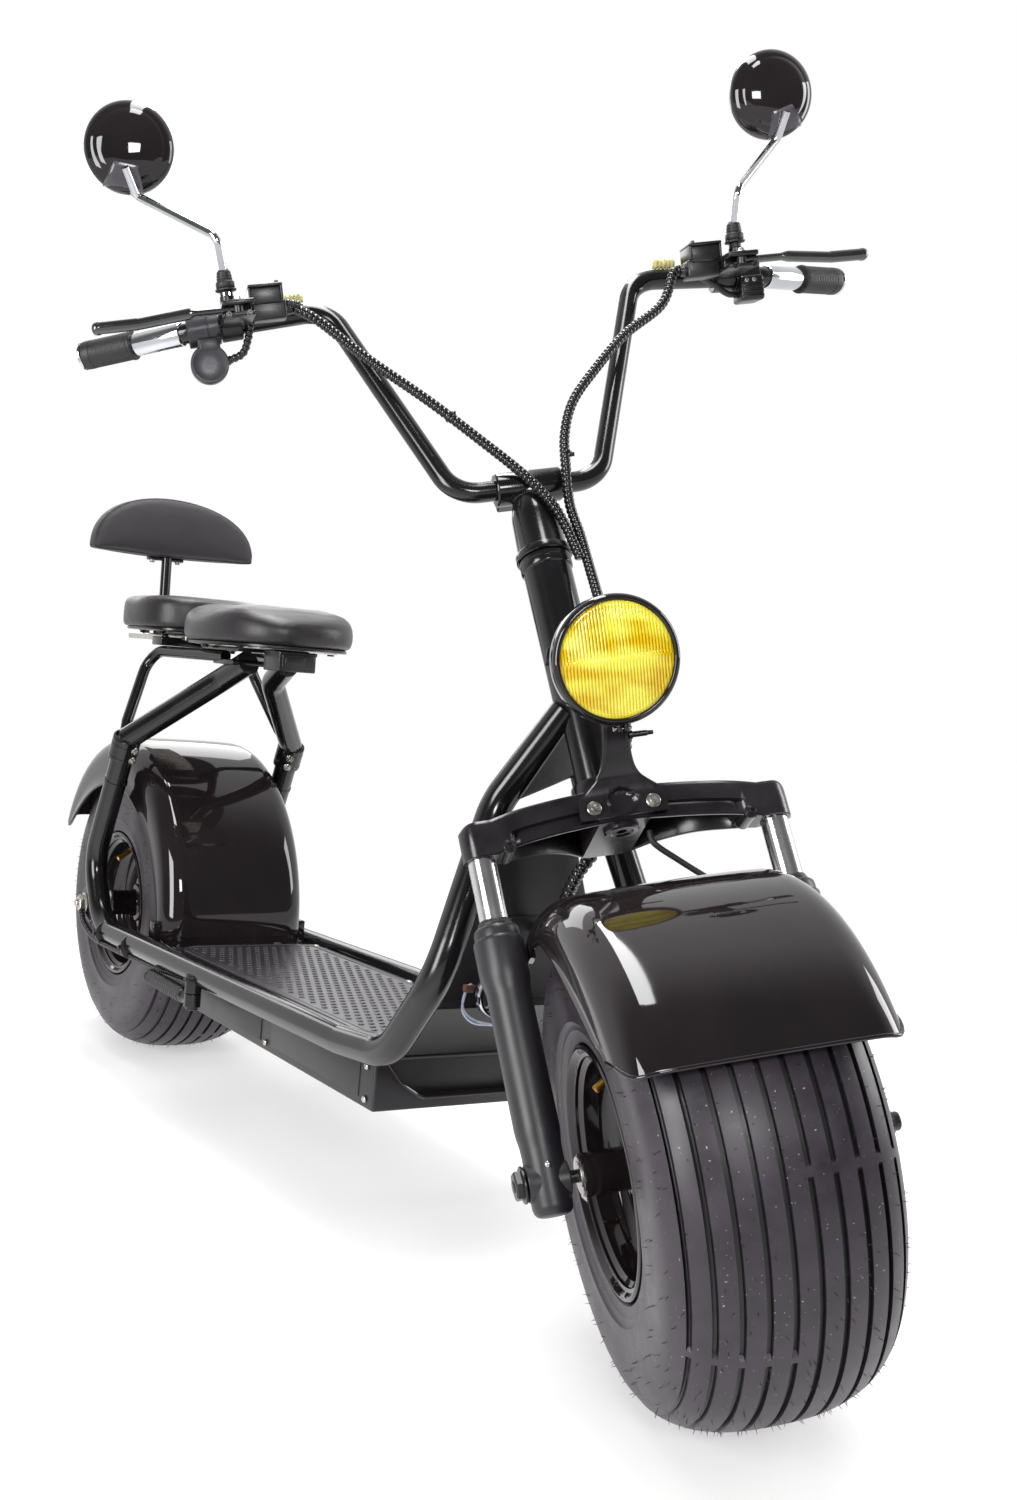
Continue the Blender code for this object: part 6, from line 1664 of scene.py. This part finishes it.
plates = soft_box(bmesh.new(), (-0.06, 0.945, 0.6416), (0.06, 1.15, 0.6474), 0.0012)
piece("saddle_plate_zinc", plates, "zinc", "frame", ["saddle_plate"])
saddle_braces = soft_box(bmesh.new(), (-0.058, 1.062, 0.6374), (0.058, 1.1, 0.644), 0.0012)
soft_box(saddle_braces, (-0.062, 1.01, 0.6368), (0.062, 1.14, 0.642), 0.0012)
piece("saddle_braces", saddle_braces, "powder_coat", "frame")
tray = soft_box(bmesh.new(), (-0.038, 0.925, 0.614), (0.018, 0.975, 0.6415), 0.0018)
soft_box(tray, (-0.034, 0.9225, 0.619), (0.014, 0.926, 0.637), 0.001)
soft_box(tray, (-0.03, 0.921, 0.623), (0.0, 0.9235, 0.633), 0.0008)
piece("plug_box", tray, "plastic", "frame")
plates = soft_box(bmesh.new(), (-0.05, 1.235, 0.6462), (0.05, 1.485, 0.6558), 0.002)
piece("pad_plate_zinc", plates, "zinc", "frame", ["pad_plate"])
spacer = soft_box(bmesh.new(), (-0.04, 1.245, 0.6555), (0.04, 1.4, 0.6635), 0.0015)
soft_box(spacer, (-0.084, 1.248, 0.6374), (0.084, 1.286, 0.6505), 0.002)
for side, hand in HANDS:
    turned(spacer, (0.034 * side, 1.45, 0.6556), (0, 0, 1), [(0, 7.5), (5, 7.5), (6, 6.5)], 6)
piece("pad_spacer", spacer, "powder_coat", "frame")
bolts("plate_bolts", [(Vector((x * side, y, z)), (0, 0, up))
                      for x, y, z, up in ((0.07, 1.267, 0.6506, 1), (0.044, 1.42, 0.6558, 1),
                                          (0.04, 1.081, 0.6366, -1)) for side in (1, -1)],
      "hex", 0.005, "satin")
print("seat frame made")

# %% [markdown]
# ## Handlebar, grips and controls
#
# The bar is one bent tube, so it is one path again. The rubber grips are short
# and leave a chromed sleeve bare. The controls are small castings that only
# read at a distance by their outlines and edges: a clamp with two bolts, a
# fluid box with a flanged lid, a blade lever that ends in a ball.

# %% The handlebar and its grips
# A clear plastic sleeve yellows a little and scatters light, so it reads as pale.
FINISHES["clear_plastic"] = make_finish("yellowed_clear_plastic", "#cfc78f", "#a49c66", (0.18, 0.3),
                                        8, 0.8, 0.004, Transmission_Weight=0.35)
BAR_RADIUS = 0.011
BAR_BEND, GRIP_INNER = Vector((0.176, 0.545, 1.056)), Vector((0.33, 0.548, 1.047))
GRIP_OUTER = Vector((0.443, 0.605, 1.042))
half_bar = rounded([CLAMP, CLAMP + Vector((0.08, 0, 0)), BAR_BEND, GRIP_INNER, GRIP_OUTER], 0.04, 16)
bar_line = [mirrored(point, -1) for point in reversed(half_bar)] + half_bar[1:]
piece("handlebar_tube", tube(bmesh.new(), bar_line, BAR_RADIUS, 36), "powder_coat", "steering", ["handlebar"])


def bar_point(x):
    """The handlebar's centre at a distance to the left, between its bend and the grip."""
    return BAR_BEND + (GRIP_INNER - BAR_BEND) * ((x - BAR_BEND.x) / (GRIP_INNER.x - BAR_BEND.x))


grip_way = (GRIP_OUTER - GRIP_INNER).normalized()
grip_reach = (GRIP_OUTER - GRIP_INNER).length
GRIP_PROFILE = [(0.03, 0.0125), (0.03, 0.0148), (0.0304, 0.0158), (0.0312, 0.0162), (0.033, 0.0162),
                (0.0338, 0.0155), (0.0345, 0.0152)]
rib = 0.0345
while rib < grip_reach - 0.0465:
    GRIP_PROFILE += [(rib + 0.0006, 0.0155),
                     (rib + 0.0016, 0.0155), (rib + 0.0022, 0.0152), (rib + 0.003, 0.0152)]
    rib += 0.003
GRIP_PROFILE += [(grip_reach - 0.044, 0.0156), (grip_reach - 0.0405, 0.0157), (grip_reach - 0.038, 0.0157),
                 (grip_reach - 0.0352, 0.0155), (grip_reach - 0.0345, 0.0149), (grip_reach - 0.0345, 0.006)]
for side, hand in HANDS:
    base, way = mirrored(GRIP_INNER + grip_way * 0.04, side), mirrored(grip_way, side)
    piece(f"grip_{hand}_rubber", revolved(bmesh.new(), base, way, GRIP_PROFILE, 48), "grip", "steering",
          [f"grip_{hand}"])
    sleeve = turned(bmesh.new(), base - way * 0.03, way, [
        (0, 11.2), (0, 12.4), (0.8, 13), (59.6, 13), (60.5, 12.6)], 48)
    piece(f"grip_{hand}_sleeve", sleeve, "chrome", "steering")
    cap = turned(bmesh.new(), base + way * (grip_reach - 0.0343), way, [
        (0, 14.2), (0.4, 15.2), (1.2, 15.6), (3, 15.5), (4, 14.6), (4.3, 12.8), (3.4, 11.8), (3.4, 6)], 40)
    piece(f"grip_{hand}_end_cap", cap, "chrome", "steering")
    at = mirrored(bar_point(0.2285) + Vector((0, 0, 0.017)), side)
    toward = mirrored((bar_point(0.19) - bar_point(0.2285)).normalized(), side)
    spring = turned(bmesh.new(), at, toward, [(0, 4.6)] + [
        (1.5 + 4.8 * turn + step, radius) for turn in range(5)
        for step, radius in ((0, 4.8), (0.6, 6), (1.8, 6.5), (3, 6), (3.6, 4.8))] + [(26.2, 4.4)], 28)
    piece(f"clear_sleeve_{hand}", spring, "clear_plastic", "steering")
print("bar and grips made")

# %% Perches and levers
perch_way = (GRIP_INNER - bar_point(0.2)).normalized()
hub = bar_point(0.285)
ball_steps = [(0, 0.005), (0.0012, 0.006), (0.0034, 0.0068), (0.006, 0.007), (0.0088, 0.0064),
              (0.0106, 0.0048), (0.0116, 0.0026)]
for side, hand in HANDS:
    perch = turned(bmesh.new(), mirrored(hub - perch_way * 0.012, side), mirrored(perch_way, side), [
        (0, 11.2), (0, 15.4), (1.2, 16.5), (22.8, 16.5), (24, 15.4), (24, 11.2)], 48)
    for near, far, edge in (
        ((0.262, 0.458, 0.817), (0.297, 0.54, 0.8215), 0.0018),
        ((0.262, 0.458, 0.829), (0.297, 0.54, 0.8345), 0.0018),
        ((0.264, 0.479, 0.818), (0.295, 0.54, 0.8335), 0.0025),
        ((0.226, 0.49, 0.8155), (0.264, 0.516, 0.8355), 0.003),
        ((0.2295, 0.4874, 0.8315), (0.2645, 0.5206, 0.85), 0.0028),
        ((0.2282, 0.486, 0.8492), (0.2658, 0.522, 0.8526), 0.0014),
        ((0.2284, 0.4864, 0.8345), (0.2312, 0.5216, 0.85), 0.0012),
        ((0.2628, 0.4864, 0.8345), (0.2656, 0.5216, 0.85), 0.0012),
    ):
        soft_box(perch, mirrored(above(*near), side), mirrored(above(*far), side), edge)
    turned(perch, mirrored(above(0.288, 0.505, 0.83), side), (0, 0, 1), [
        (0, 9.2), (5, 9), (6, 8), (15.2, 7.8), (15.8, 7)], 28)
    turned(perch, mirrored(above(0.232, 0.503, 0.8255), side), mirrored((-1, 0, 0), side), [
        (0, 7.2), (6, 7), (7, 5.8), (11, 5.2)], 24)
    turned(perch, mirrored(above(0.28, 0.4675, 0.8162), side), (0, 0, 1), [
        (0, 5), (0.8, 5.8), (18.8, 5.8), (19.6, 5)], 24)
    piece(f"brake_perch_{hand}_casting", perch, "satin", "steering", [f"brake_perch_{hand}"])
    root, bend, tip = above(0.28, 0.4675, 0.8255), above(0.33, 0.462, 0.8245), Vector((0.43, 0.486, 1.047))
    middle, tip = bend.lerp(tip, 0.55), tip + Vector((0, 0, 0.004))
    path = rounded([root, bend, middle, tip], 0.04, 10)
    rings = []
    for step, point in enumerate(path):
        share = step / (len(path) - 1)
        tangent = (path[min(step + 1, len(path) - 1)] - path[max(step - 1, 0)]).normalized()
        across = tangent.cross(Vector((0, 0, 1))).normalized()
        high = across.cross(tangent)
        wide = 0.004 + 0.0012 * smooth_step(share, 0.0, 0.35)
        tall = 0.004 + 0.002 * smooth_step(share, 0.0, 0.35) + 0.0004 * smooth_step(share, 0.8, 1.0)
        rings.append([mirrored(point + across * (wide * math.cos(turn)) + high * (tall * math.sin(turn)), side)
                      for turn in full_turn(24)])
    lever = skin(bmesh.new(), rings)
    revolved(lever, mirrored(tip - Vector((0.006, 0, 0)), side), mirrored((1, 0.2, 0), side), ball_steps, 32)
    piece(f"brake_lever_{hand}_blade", lever, "lever", "steering", [f"brake_lever_{hand}"], sharp=60)
bolts("perch_bolts", [(mirrored(above(x, 0.4578, 0.8193), side), (0, -1, 0)) for side, hand in HANDS
                      for x in (0.269, 0.291)]
      + [(mirrored(above(x, y, 0.8525), side), (0, 0, 1)) for side, hand in HANDS
         for x, y in ((0.234, 0.492), (0.26, 0.516))], "socket", 0.0022, "satin", "steering")
bolts("lever_pivots", [(mirrored(above(0.28, 0.4675, 0.8356), side), (0, 0, 1)) for side, hand in HANDS],
      "hex", 0.0036, "zinc", "steering")

# %% Throttle and switches
spot = bar_point(0.3095)
throttle = turned(bmesh.new(), mirrored(spot - perch_way * 0.0115, -1), mirrored(perch_way, -1), [
    (0, 11.2), (0, 16.8), (1, 17.6), (12, 17.8), (12.6, 17.2), (13.4, 17.2), (14, 17.8), (34.8, 17.4),
    (36, 16.4), (36, 11.2)], 56)
pod_foot = mirrored(spot + Vector((0.0045, -0.0165, -0.0385)), -1)
turned(throttle, pod_foot, (0, 1, 0), [
    (1, 6), (0.8, 17.2), (0.2, 18.2), (0.2, 19.4), (1.4, 20.8), (2.8, 21.3), (15.2, 21.4), (17, 20.6),
    (18, 19), (18, 6)], 64)
low_x, high_x = -(spot.x + 0.0155), -(spot.x - 0.0095)
soft_box(throttle, (low_x, spot.y - 0.015, spot.z - 0.036), (high_x, spot.y, spot.z - 0.01), 0.003)
soft_box(throttle, (low_x + 0.002, spot.y - 0.0165, spot.z - 0.024), (high_x - 0.002, spot.y - 0.01,
                                                                       spot.z - 0.012), 0.0015)
turned(throttle, pod_foot + Vector((0.017, 0.009, 0.001)), (1, 0, 0.25), [
    (0, 5.2), (5, 5), (6, 4), (9, 3.8)], 24)
piece("throttle_housing", throttle, "pod", "steering", ["throttle_pod"], sharp=34)
bolts("throttle_screw", [(mirrored(spot + Vector((-0.0105, -0.016, -0.011)), -1), (0, -1, 0))],
      "socket", 0.0026, "satin", "steering")

switches = turned(bmesh.new(), spot - perch_way * 0.0115, perch_way, [
    (0, 11.2), (0, 16.4), (1, 17.2), (27, 17.2), (28, 16.2), (28, 11.2)], 48)
soft_box(switches, spot + Vector((-0.0112, -0.0255, -0.03)), spot + Vector((0.0168, 0.006, -0.002)), 0.0034)
for step in range(4):
    level = -0.0265 + step * 0.0052
    soft_box(switches, spot + Vector((-0.01, -0.0264, level)),
             spot + Vector((0.0156, -0.024, level + 0.0026)), 0.0006)
turned(switches, spot + Vector((-0.0085, -0.013, -0.0215)), (-1, -0.15, -0.1), [
    (0, 4.2), (3, 4.2), (3.4, 3), (7, 3), (7.8, 2.4)], 20)
piece("switch_housing", switches, "plastic", "steering", ["switch_block"], sharp=34)
buttons = bmesh.new()
for x, z in ((-0.0045, -0.0075), (0.0045, -0.0075)):
    turned(buttons, spot + Vector((x, -0.0252, z)), (0, -1, 0), [(0, 2.6), (1, 2.6), (1.4, 1.8)], 18)
piece("switch_buttons", buttons, "zinc", "steering")
print("controls made")

# %% [markdown]
# ## Mirrors
#
# A rubber boot hides the ball joint at each mirror's foot. The stem is a bent
# rod, the head a shallow moulded shell, lightly domed, whose rim folds over the
# silvered glass. Seen from ahead only the glossy backs show.

# %% Mirror boots, stems, shells and glasses
MIRROR = Vector((0.369, 0.574, 1.25))


def dome_height(radius):
    """How far the mirror's back stands out at a distance from its middle."""
    return float(np.interp(radius,
                           (0.008, 0.016, 0.0235, 0.031, 0.037, 0.0392, 0.0424, 0.0462, 0.0484, 0.049),
                           (0.0266, 0.0258, 0.0244, 0.0222, 0.02, 0.0186, 0.017, 0.014, 0.011, 0.0085)))


# The hood over the ball joint leans outwards with the stem.
HOOD_COS, HOOD_SIN = math.cos(math.radians(16)), math.sin(math.radians(16))
for side, hand in HANDS:
    middle = mirrored(MIRROR, side)
    shell = turned(bmesh.new(), middle, (0, -1, 0), [
        (3.8, 44), (3.6, 45.6), (0.6, 46.2), (0, 47), (0.3, 48), (1.4, 48.7), (3, 49), (8.5, 49),
        (11, 48.4), (14, 46.2), (17, 42.4), (18.6, 39.2), (19.2, 37.6), (20, 37), (22.2, 31),
        (24.4, 23.5), (25.8, 16), (26.6, 8)], 80)
    stem_line = rounded([mirrored(point, side) for point in (
        above(0.288, 0.505, 0.8675), above(0.291, 0.492, 0.9055), above(0.366, 0.558, 0.9675),
        Vector((0.369, 0.556, 1.199)), Vector((0.3765, 0.5415, 1.224)))], 0.014, 10)
    piece(f"mirror_{hand}_stem", tube(bmesh.new(), stem_line, 0.0045, 24), "chrome", "steering")
    hood_rings = []
    for row in range(13):
        share = row / 12
        z, half = -0.045 + 0.0245 * share, 0.0225 - 0.0095 * share
        out, inside = [], []
        for step in range(17):
            x = half * (step / 8 - 1)
            dome = dome_height(math.hypot(x, z))
            edge_on = smooth_step(1 - abs(step / 8 - 1), 0.0, 0.16) * smooth_step(1 - share, 0.0, 0.14)
            aside = side * (x * HOOD_COS - z * HOOD_SIN)
            rise = x * HOOD_SIN + z * HOOD_COS
            out.append(middle + Vector((aside, -dome - 0.004 * edge_on, rise)))
            inside.append(middle + Vector((aside, -dome + 0.003, rise)))
        hood_rings.append(out + inside[::-1])
    piece(f"mirror_{hand}_hood", skin(bmesh.new(), hood_rings), "hood", "steering", sharp=30)
    turned(shell, mirrored(Vector((0.369, 0.5615, 1.199)), side), (0, 0, 1), [
        (0, 5), (2, 6.2), (12, 6.6), (16, 5.6)], 24)
    piece(f"mirror_{hand}_shell", shell, "lacquer", "steering", [f"mirror_body_{hand}"], sharp=42)
    boot = turned(bmesh.new(), mirrored(above(0.288, 0.505, 0.8458), side), (0, 0, 1), [
        (0, 6.6), (5, 6.6), (5.2, 10.8), (5.8, 11.5), (7.2, 11.5), (7.8, 10), (8.4, 9.6), (9, 10.2),
        (14, 10.2), (15.2, 9.4), (15.8, 8.2), (16.8, 8.2), (17.2, 8.6), (18.6, 8.6), (19, 8), (20, 8),
        (20.4, 8.3), (21.8, 8.2), (22.2, 7.6), (23.2, 7.6), (23.6, 7.8), (25, 7.6), (26.2, 6.6),
        (28.5, 4.8)], 36)
    piece(f"mirror_{hand}_boot", boot, "grip", "steering", sharp=45)
    post = turned(bmesh.new(), mirrored(above(0.288, 0.505, 0.8445), side), (0, 0, 1), [
        (0, 6.6), (0.4, 7), (4.6, 7), (6, 6)], 6)
    piece(f"mirror_{hand}_nut", post, "chrome", "steering", sharp=25)
    glass_disc = turned(bmesh.new(), middle - Vector((0, 0.0032, 0)), (0, 1, 0), [
        (0, 45.5), (1.6, 45.7), (1.9, 45), (2.1, 30), (2.2, 6)], 72)
    piece(f"mirror_{hand}_glass", glass_disc, "mirror", "steering", [f"mirror_glass_{hand}"], sharp=60)
print("mirrors made")

# %% [markdown]
# ## Cables
#
# Both harness arms are bundles wound in tape: each turn overlaps the last, so
# the bundle shows as a row of shining ribs. The paths are those of the CAD
# cables, a smooth curve through the same points, and the tape is the Geometry
# Nodes tool from above, one low rib for each turn, leaning as a helix does. A
# plain core closes the gaps between the ribs.

# %% The wound harness
# Vinyl tape is soft and shiny, and every turn catches the light along its raised edge.
FINISHES["tape"] = make_finish("vinyl_tape", "#141216", "#0b0a0c", (0.1, 0.17), 18, 2.0, 0.006, IOR=1.55)
HARNESS = {
    "right": (
        (-0.2255, 0.508, 0.826), (-0.215, 0.508, 0.8258), (-0.1908, 0.505, 0.8098),
        (-0.1495, 0.48, 0.7651), (-0.0901, 0.445, 0.7074), (-0.0453, 0.42, 0.6604),
        (-0.0102, 0.394, 0.6205), (0.011, 0.372, 0.5892), (0.0235, 0.363, 0.5609), (0.0292, 0.337, 0.5262)),
    "left": (
        (0.2255, 0.508, 0.826), (0.215, 0.508, 0.8258), (0.1934, 0.495, 0.7906), (0.1399, 0.47, 0.7593),
        (0.095, 0.445, 0.7227), (0.0617, 0.425, 0.6898), (0.0453, 0.41, 0.6552), (0.0376, 0.389, 0.6182),
        (0.035, 0.378, 0.5809), (0.038, 0.36, 0.5486), (0.0375, 0.335, 0.5168), (0.0363, 0.31, 0.489),
        (0.034, 0.285, 0.4665), (0.022, 0.245, 0.443), (0.006, 0.215, 0.431), (0.0, 0.196, 0.4303)),
}
for hand, points in HARNESS.items():
    line = route([above(*point) for point in points], 0.003)
    piece(f"harness_{hand}_core", tube(bmesh.new(), line, 0.0043, 16), "tape", "steering",
          [f"harness_{hand}"])
    along_paths(f"harness_{hand}_tape", [line], TAPE_TURN, 0.0056, 0.0058, 0.34, "tape", "steering")
LOWER = [column(0.5, x=0.029, forward=0.019), column(0.44, x=0.0345, forward=0.02),
         column(0.395, x=0.0375, forward=-0.006), column(0.366, x=0.0335, forward=-0.036),
         above(0.027, 0.2725, 0.233), above(0.014, 0.283, 0.203), above(0.012, 0.2985, 0.17),
         above(0.016, 0.3165, 0.143), above(0.0175, 0.3355, 0.1366), above(0.018, 0.3492, 0.1364)]
line = route(LOWER, 0.003)
piece("harness_lower_core", tube(bmesh.new(), line, 0.0056, 18), "grip", "frame", ["harness_lower"])
along_paths("harness_lower_tape", [line], TAPE_TURN, 0.007, 0.0074, 0.28, "tape", "frame")

# %% Brake hose, short leads and cable ties
HOSE = [fork(*point) for point in ((0.03, -0.03, 0.3157), (0.033, -0.032, 0.302),
                                   (0.055, -0.036, 0.282), (0.085, -0.04, 0.256), (0.1022, -0.038, 0.236),
                                   (0.1114, -0.0318, 0.222), (0.1254, -0.0178, 0.209))]
line = route(HOSE, 0.003)
hose = tube(bmesh.new(), line, 0.003, 18)
turned(hose, line[-1], line[-2] - line[-1], [(0, 3.6), (7, 3.6), (8, 3.1)], 18)
piece("brake_hose_rubber", hose, "grip", "steering", ["brake_hose"], sharp=50)

lead = route([pod_foot + Vector((0.0235, 0.009, 0.003)), pod_foot + Vector((0.038, 0.0085, 0.0085)),
              pod_foot + Vector((0.046, 0.006, 0.024)), pod_foot + Vector((0.052, 0.0, 0.042)),
              pod_foot + Vector((0.064, -0.012, 0.056)), above(-0.23, 0.502, 0.833),
              above(-0.212, 0.506, 0.83)], 0.003)
piece("throttle_lead_core", tube(bmesh.new(), lead, 0.0036, 16), "grip", "steering")
along_paths("throttle_lead_tape", [lead], TAPE_TURN, 0.0046, 0.0056, 0.34, "tape", "steering")
lead = route([spot + Vector((-0.011, -0.01, -0.02)), spot + Vector((-0.024, -0.014, -0.019)),
              spot + Vector((-0.042, -0.02, -0.008)), spot + Vector((-0.062, -0.028, 0.001)),
              above(0.23, 0.505, 0.824)], 0.003)
piece("switch_lead", tube(bmesh.new(), lead, 0.0034, 16), "grip", "steering")

# The horn's two leads are pale blue, its plug a brown nylon shell.
FINISHES["wire_blue"] = make_finish("pale_blue_wire_insulation", "#c9d4e2", "#aab9cc", (0.35, 0.45),
                                    12, 0.6, 0.004)
FINISHES["connector"] = make_finish("brown_nylon_shell", "#6b4a3a", "#563a2e", (0.4, 0.5), 10, 0.5, 0.006)
wires = bmesh.new()
for offset, sag in ((0.0, 0.0), (0.0028, 0.0035)):
    loop = route([HORN + Vector(point) for point in (
        (-0.0205, -0.004, 0.004 + offset), (-0.03, -0.007, 0.009), (-0.035, -0.006, -0.008 - sag),
        (-0.03, -0.0045, -0.02 - sag), (-0.016, -0.0035, -0.029 - sag), (0.006, -0.003, -0.035))], 0.003)
    tube(wires, loop, 0.0013, 12)
piece("horn_wires", wires, "wire_blue", "frame")
plug = soft_box(bmesh.new(), HORN + Vector((-0.035, -0.01, 0.002)), HORN + Vector((-0.0235, -0.003, 0.01)),
                0.0012)
piece("horn_connector", plug, "connector", "frame")

ties, frame_tie = bmesh.new(), bmesh.new()
for bundle, point, way, radius in (
    (ties, above(-0.072, 0.434, 0.6883), Vector((-0.66, 0.31, 0.69)), 0.0062),
    (ties, above(0.042, 0.398, 0.635), Vector((0.3, 0.5, 0.8)), 0.0062),
    (frame_tie, column(0.47, x=0.0318, forward=0.0195), ALONG, 0.0078),
):
    way = way.normalized()
    revolved(bundle, point - way * 0.0014, way, [
        (0, radius * 0.9), (0.0003, radius), (0.0025, radius), (0.0028, radius * 0.9)], 24)
    side_way = square_to(way)[0]
    soft_box(bundle, point + side_way * radius - Vector((0.0022, 0.0022, 0.0022)),
             point + side_way * radius + Vector((0.0022, 0.0022, 0.0022)), 0.0006)
piece("cable_ties", ties, "plastic", "steering")
piece("harness_lower_tie", frame_tie, "plastic", "frame")
print("cables laid")

# %% [markdown]
# ## Side stand and pegs
#
# The stand is a bent rod on a knuckle, with a pressed foot and a pin on its leg for the coil spring that holds
# it. The pegs are cast rods with a ribbed rubber sleeve, folded back along the deck. Both turn on pins of the
# frame, so each is a body of its own.

# %% Side stand
def world_up():
    """The room's vertical, seen from the leaning scooter."""
    return (CHASSIS.to_3x3().inverted() @ Vector((0, 0, 1))).normalized()


ground = CHASSIS @ pivot
stand_reach = -ground.z / (CHASSIS.to_3x3() @ stand_way).z
foot = pivot + stand_way * stand_reach
stand = turned(bmesh.new(), pivot - stand_axis * 0.006, stand_axis, [
    (0, 6), (0, 12.2), (0.8, 13), (11.2, 13), (12, 12.2), (12, 6)], 32)
leg = [pivot + stand_way * share for share in (0.01, 0.02, 0.03, stand_reach * 0.5, stand_reach * 0.9,
                                              stand_reach * 0.97)]
tube(stand, leg, [0.007, 0.0078, 0.008, 0.008, 0.008, 0.0072], 28)
turned(stand, foot + world_up() * 0.0002, world_up(), [
    (0, 16.5), (0.6, 17.8), (3, 18), (4.2, 17.4), (5, 15), (9.8, 10.5), (11.2, 9.2)], 40)
turned(stand, pivot + stand_way * 0.06 + stand_axis * 0.0065, stand_axis, [
    (0, 3), (6, 3), (6.4, 4.2), (8, 4.2), (8.4, 3.4)], 18)
piece("side_stand_rod", stand, "powder_coat", "side_stand", ["side_stand"])
print("stand reach:", round(stand_reach, 4))

# %% Pegs with their ribbed sleeves
for side, hand in HANDS:
    place = mirrored((0.152, 0.875, 0.176), side)
    peg = turned(bmesh.new(), place - Vector((0, 0, 0.009)), (0, 0, 1), [
        (0, 5), (0, 10.2), (0.8, 11), (17.2, 11), (18, 10.2), (18, 5)], 32)
    turned(peg, place + Vector((0, 0.008, 0)), (0, 1, 0), [
        (0, 7), (6, 7.8), (16, 8.2), (18, 9.6), (20, 10), (22.5, 9.8), (23, 8), (145, 8), (147, 6)], 32)
    piece(f"peg_{hand}_rod", peg, "powder_coat", f"peg_{hand}", [f"peg_{hand}"])
    profile = [(0, 0.0082), (0.0002, 0.0096)]
    for rib in range(15):
        at = 0.001 + rib * 0.0076
        profile += [(at, 0.0099), (at + 0.0008, 0.0109), (at + 0.0042, 0.011), (at + 0.005, 0.01),
                    (at + 0.0074, 0.0098)]
    profile += [(0.117, 0.0112), (0.1215, 0.0112), (0.123, 0.0104), (0.1238, 0.0082)]
    sleeve = revolved(bmesh.new(), place + Vector((0, 0.0316, 0)), (0, 1, 0), profile, 36)
    piece(f"peg_{hand}_sleeve", sleeve, "grip", f"peg_{hand}")

# %% The motor cable under the right-hand tube
motor_line = route([(-0.15, 1.342, 0.2125), (-0.153, 1.318, 0.199), (-0.152, 1.27, 0.186),
                    (-0.148, 1.2, 0.1835), (-0.145, 1.12, 0.1845), (-0.14, 1.05, 0.1845),
                    (-0.129, 1.0, 0.183), (-0.118, 0.97, 0.18)], 0.004)
piece("motor_cable_core", tube(bmesh.new(), motor_line, 0.0038, 14), "grip", "frame")
along_paths("motor_cable_tape", [motor_line], TAPE_TURN, 0.0046, 0.0056, 0.3, "tape", "frame")
ties = bmesh.new()
for y in (1.24, 1.13):
    middle = Vector((-0.143, y, 0.1985))
    way = Vector((0, 1, 0))
    turned(ties, middle - way * 0.0016, way, [
        (0, 18), (0.4, 19), (2.8, 19), (3.2, 18)], 32)
    soft_box(ties, middle + Vector((-0.0225, -0.0025, -0.003)),
             middle + Vector((-0.018, 0.0025, 0.003)), 0.0008)
piece("frame_cable_ties", ties, "plastic", "frame")
print("stand, pegs and motor cable made")

# %% [markdown]
# ## The view at the end
#
# The view transform is Standard, since a studio picture on white paper should show white as white.

# %% The view and the end
bpy.context.scene.view_settings.view_transform = "Standard"
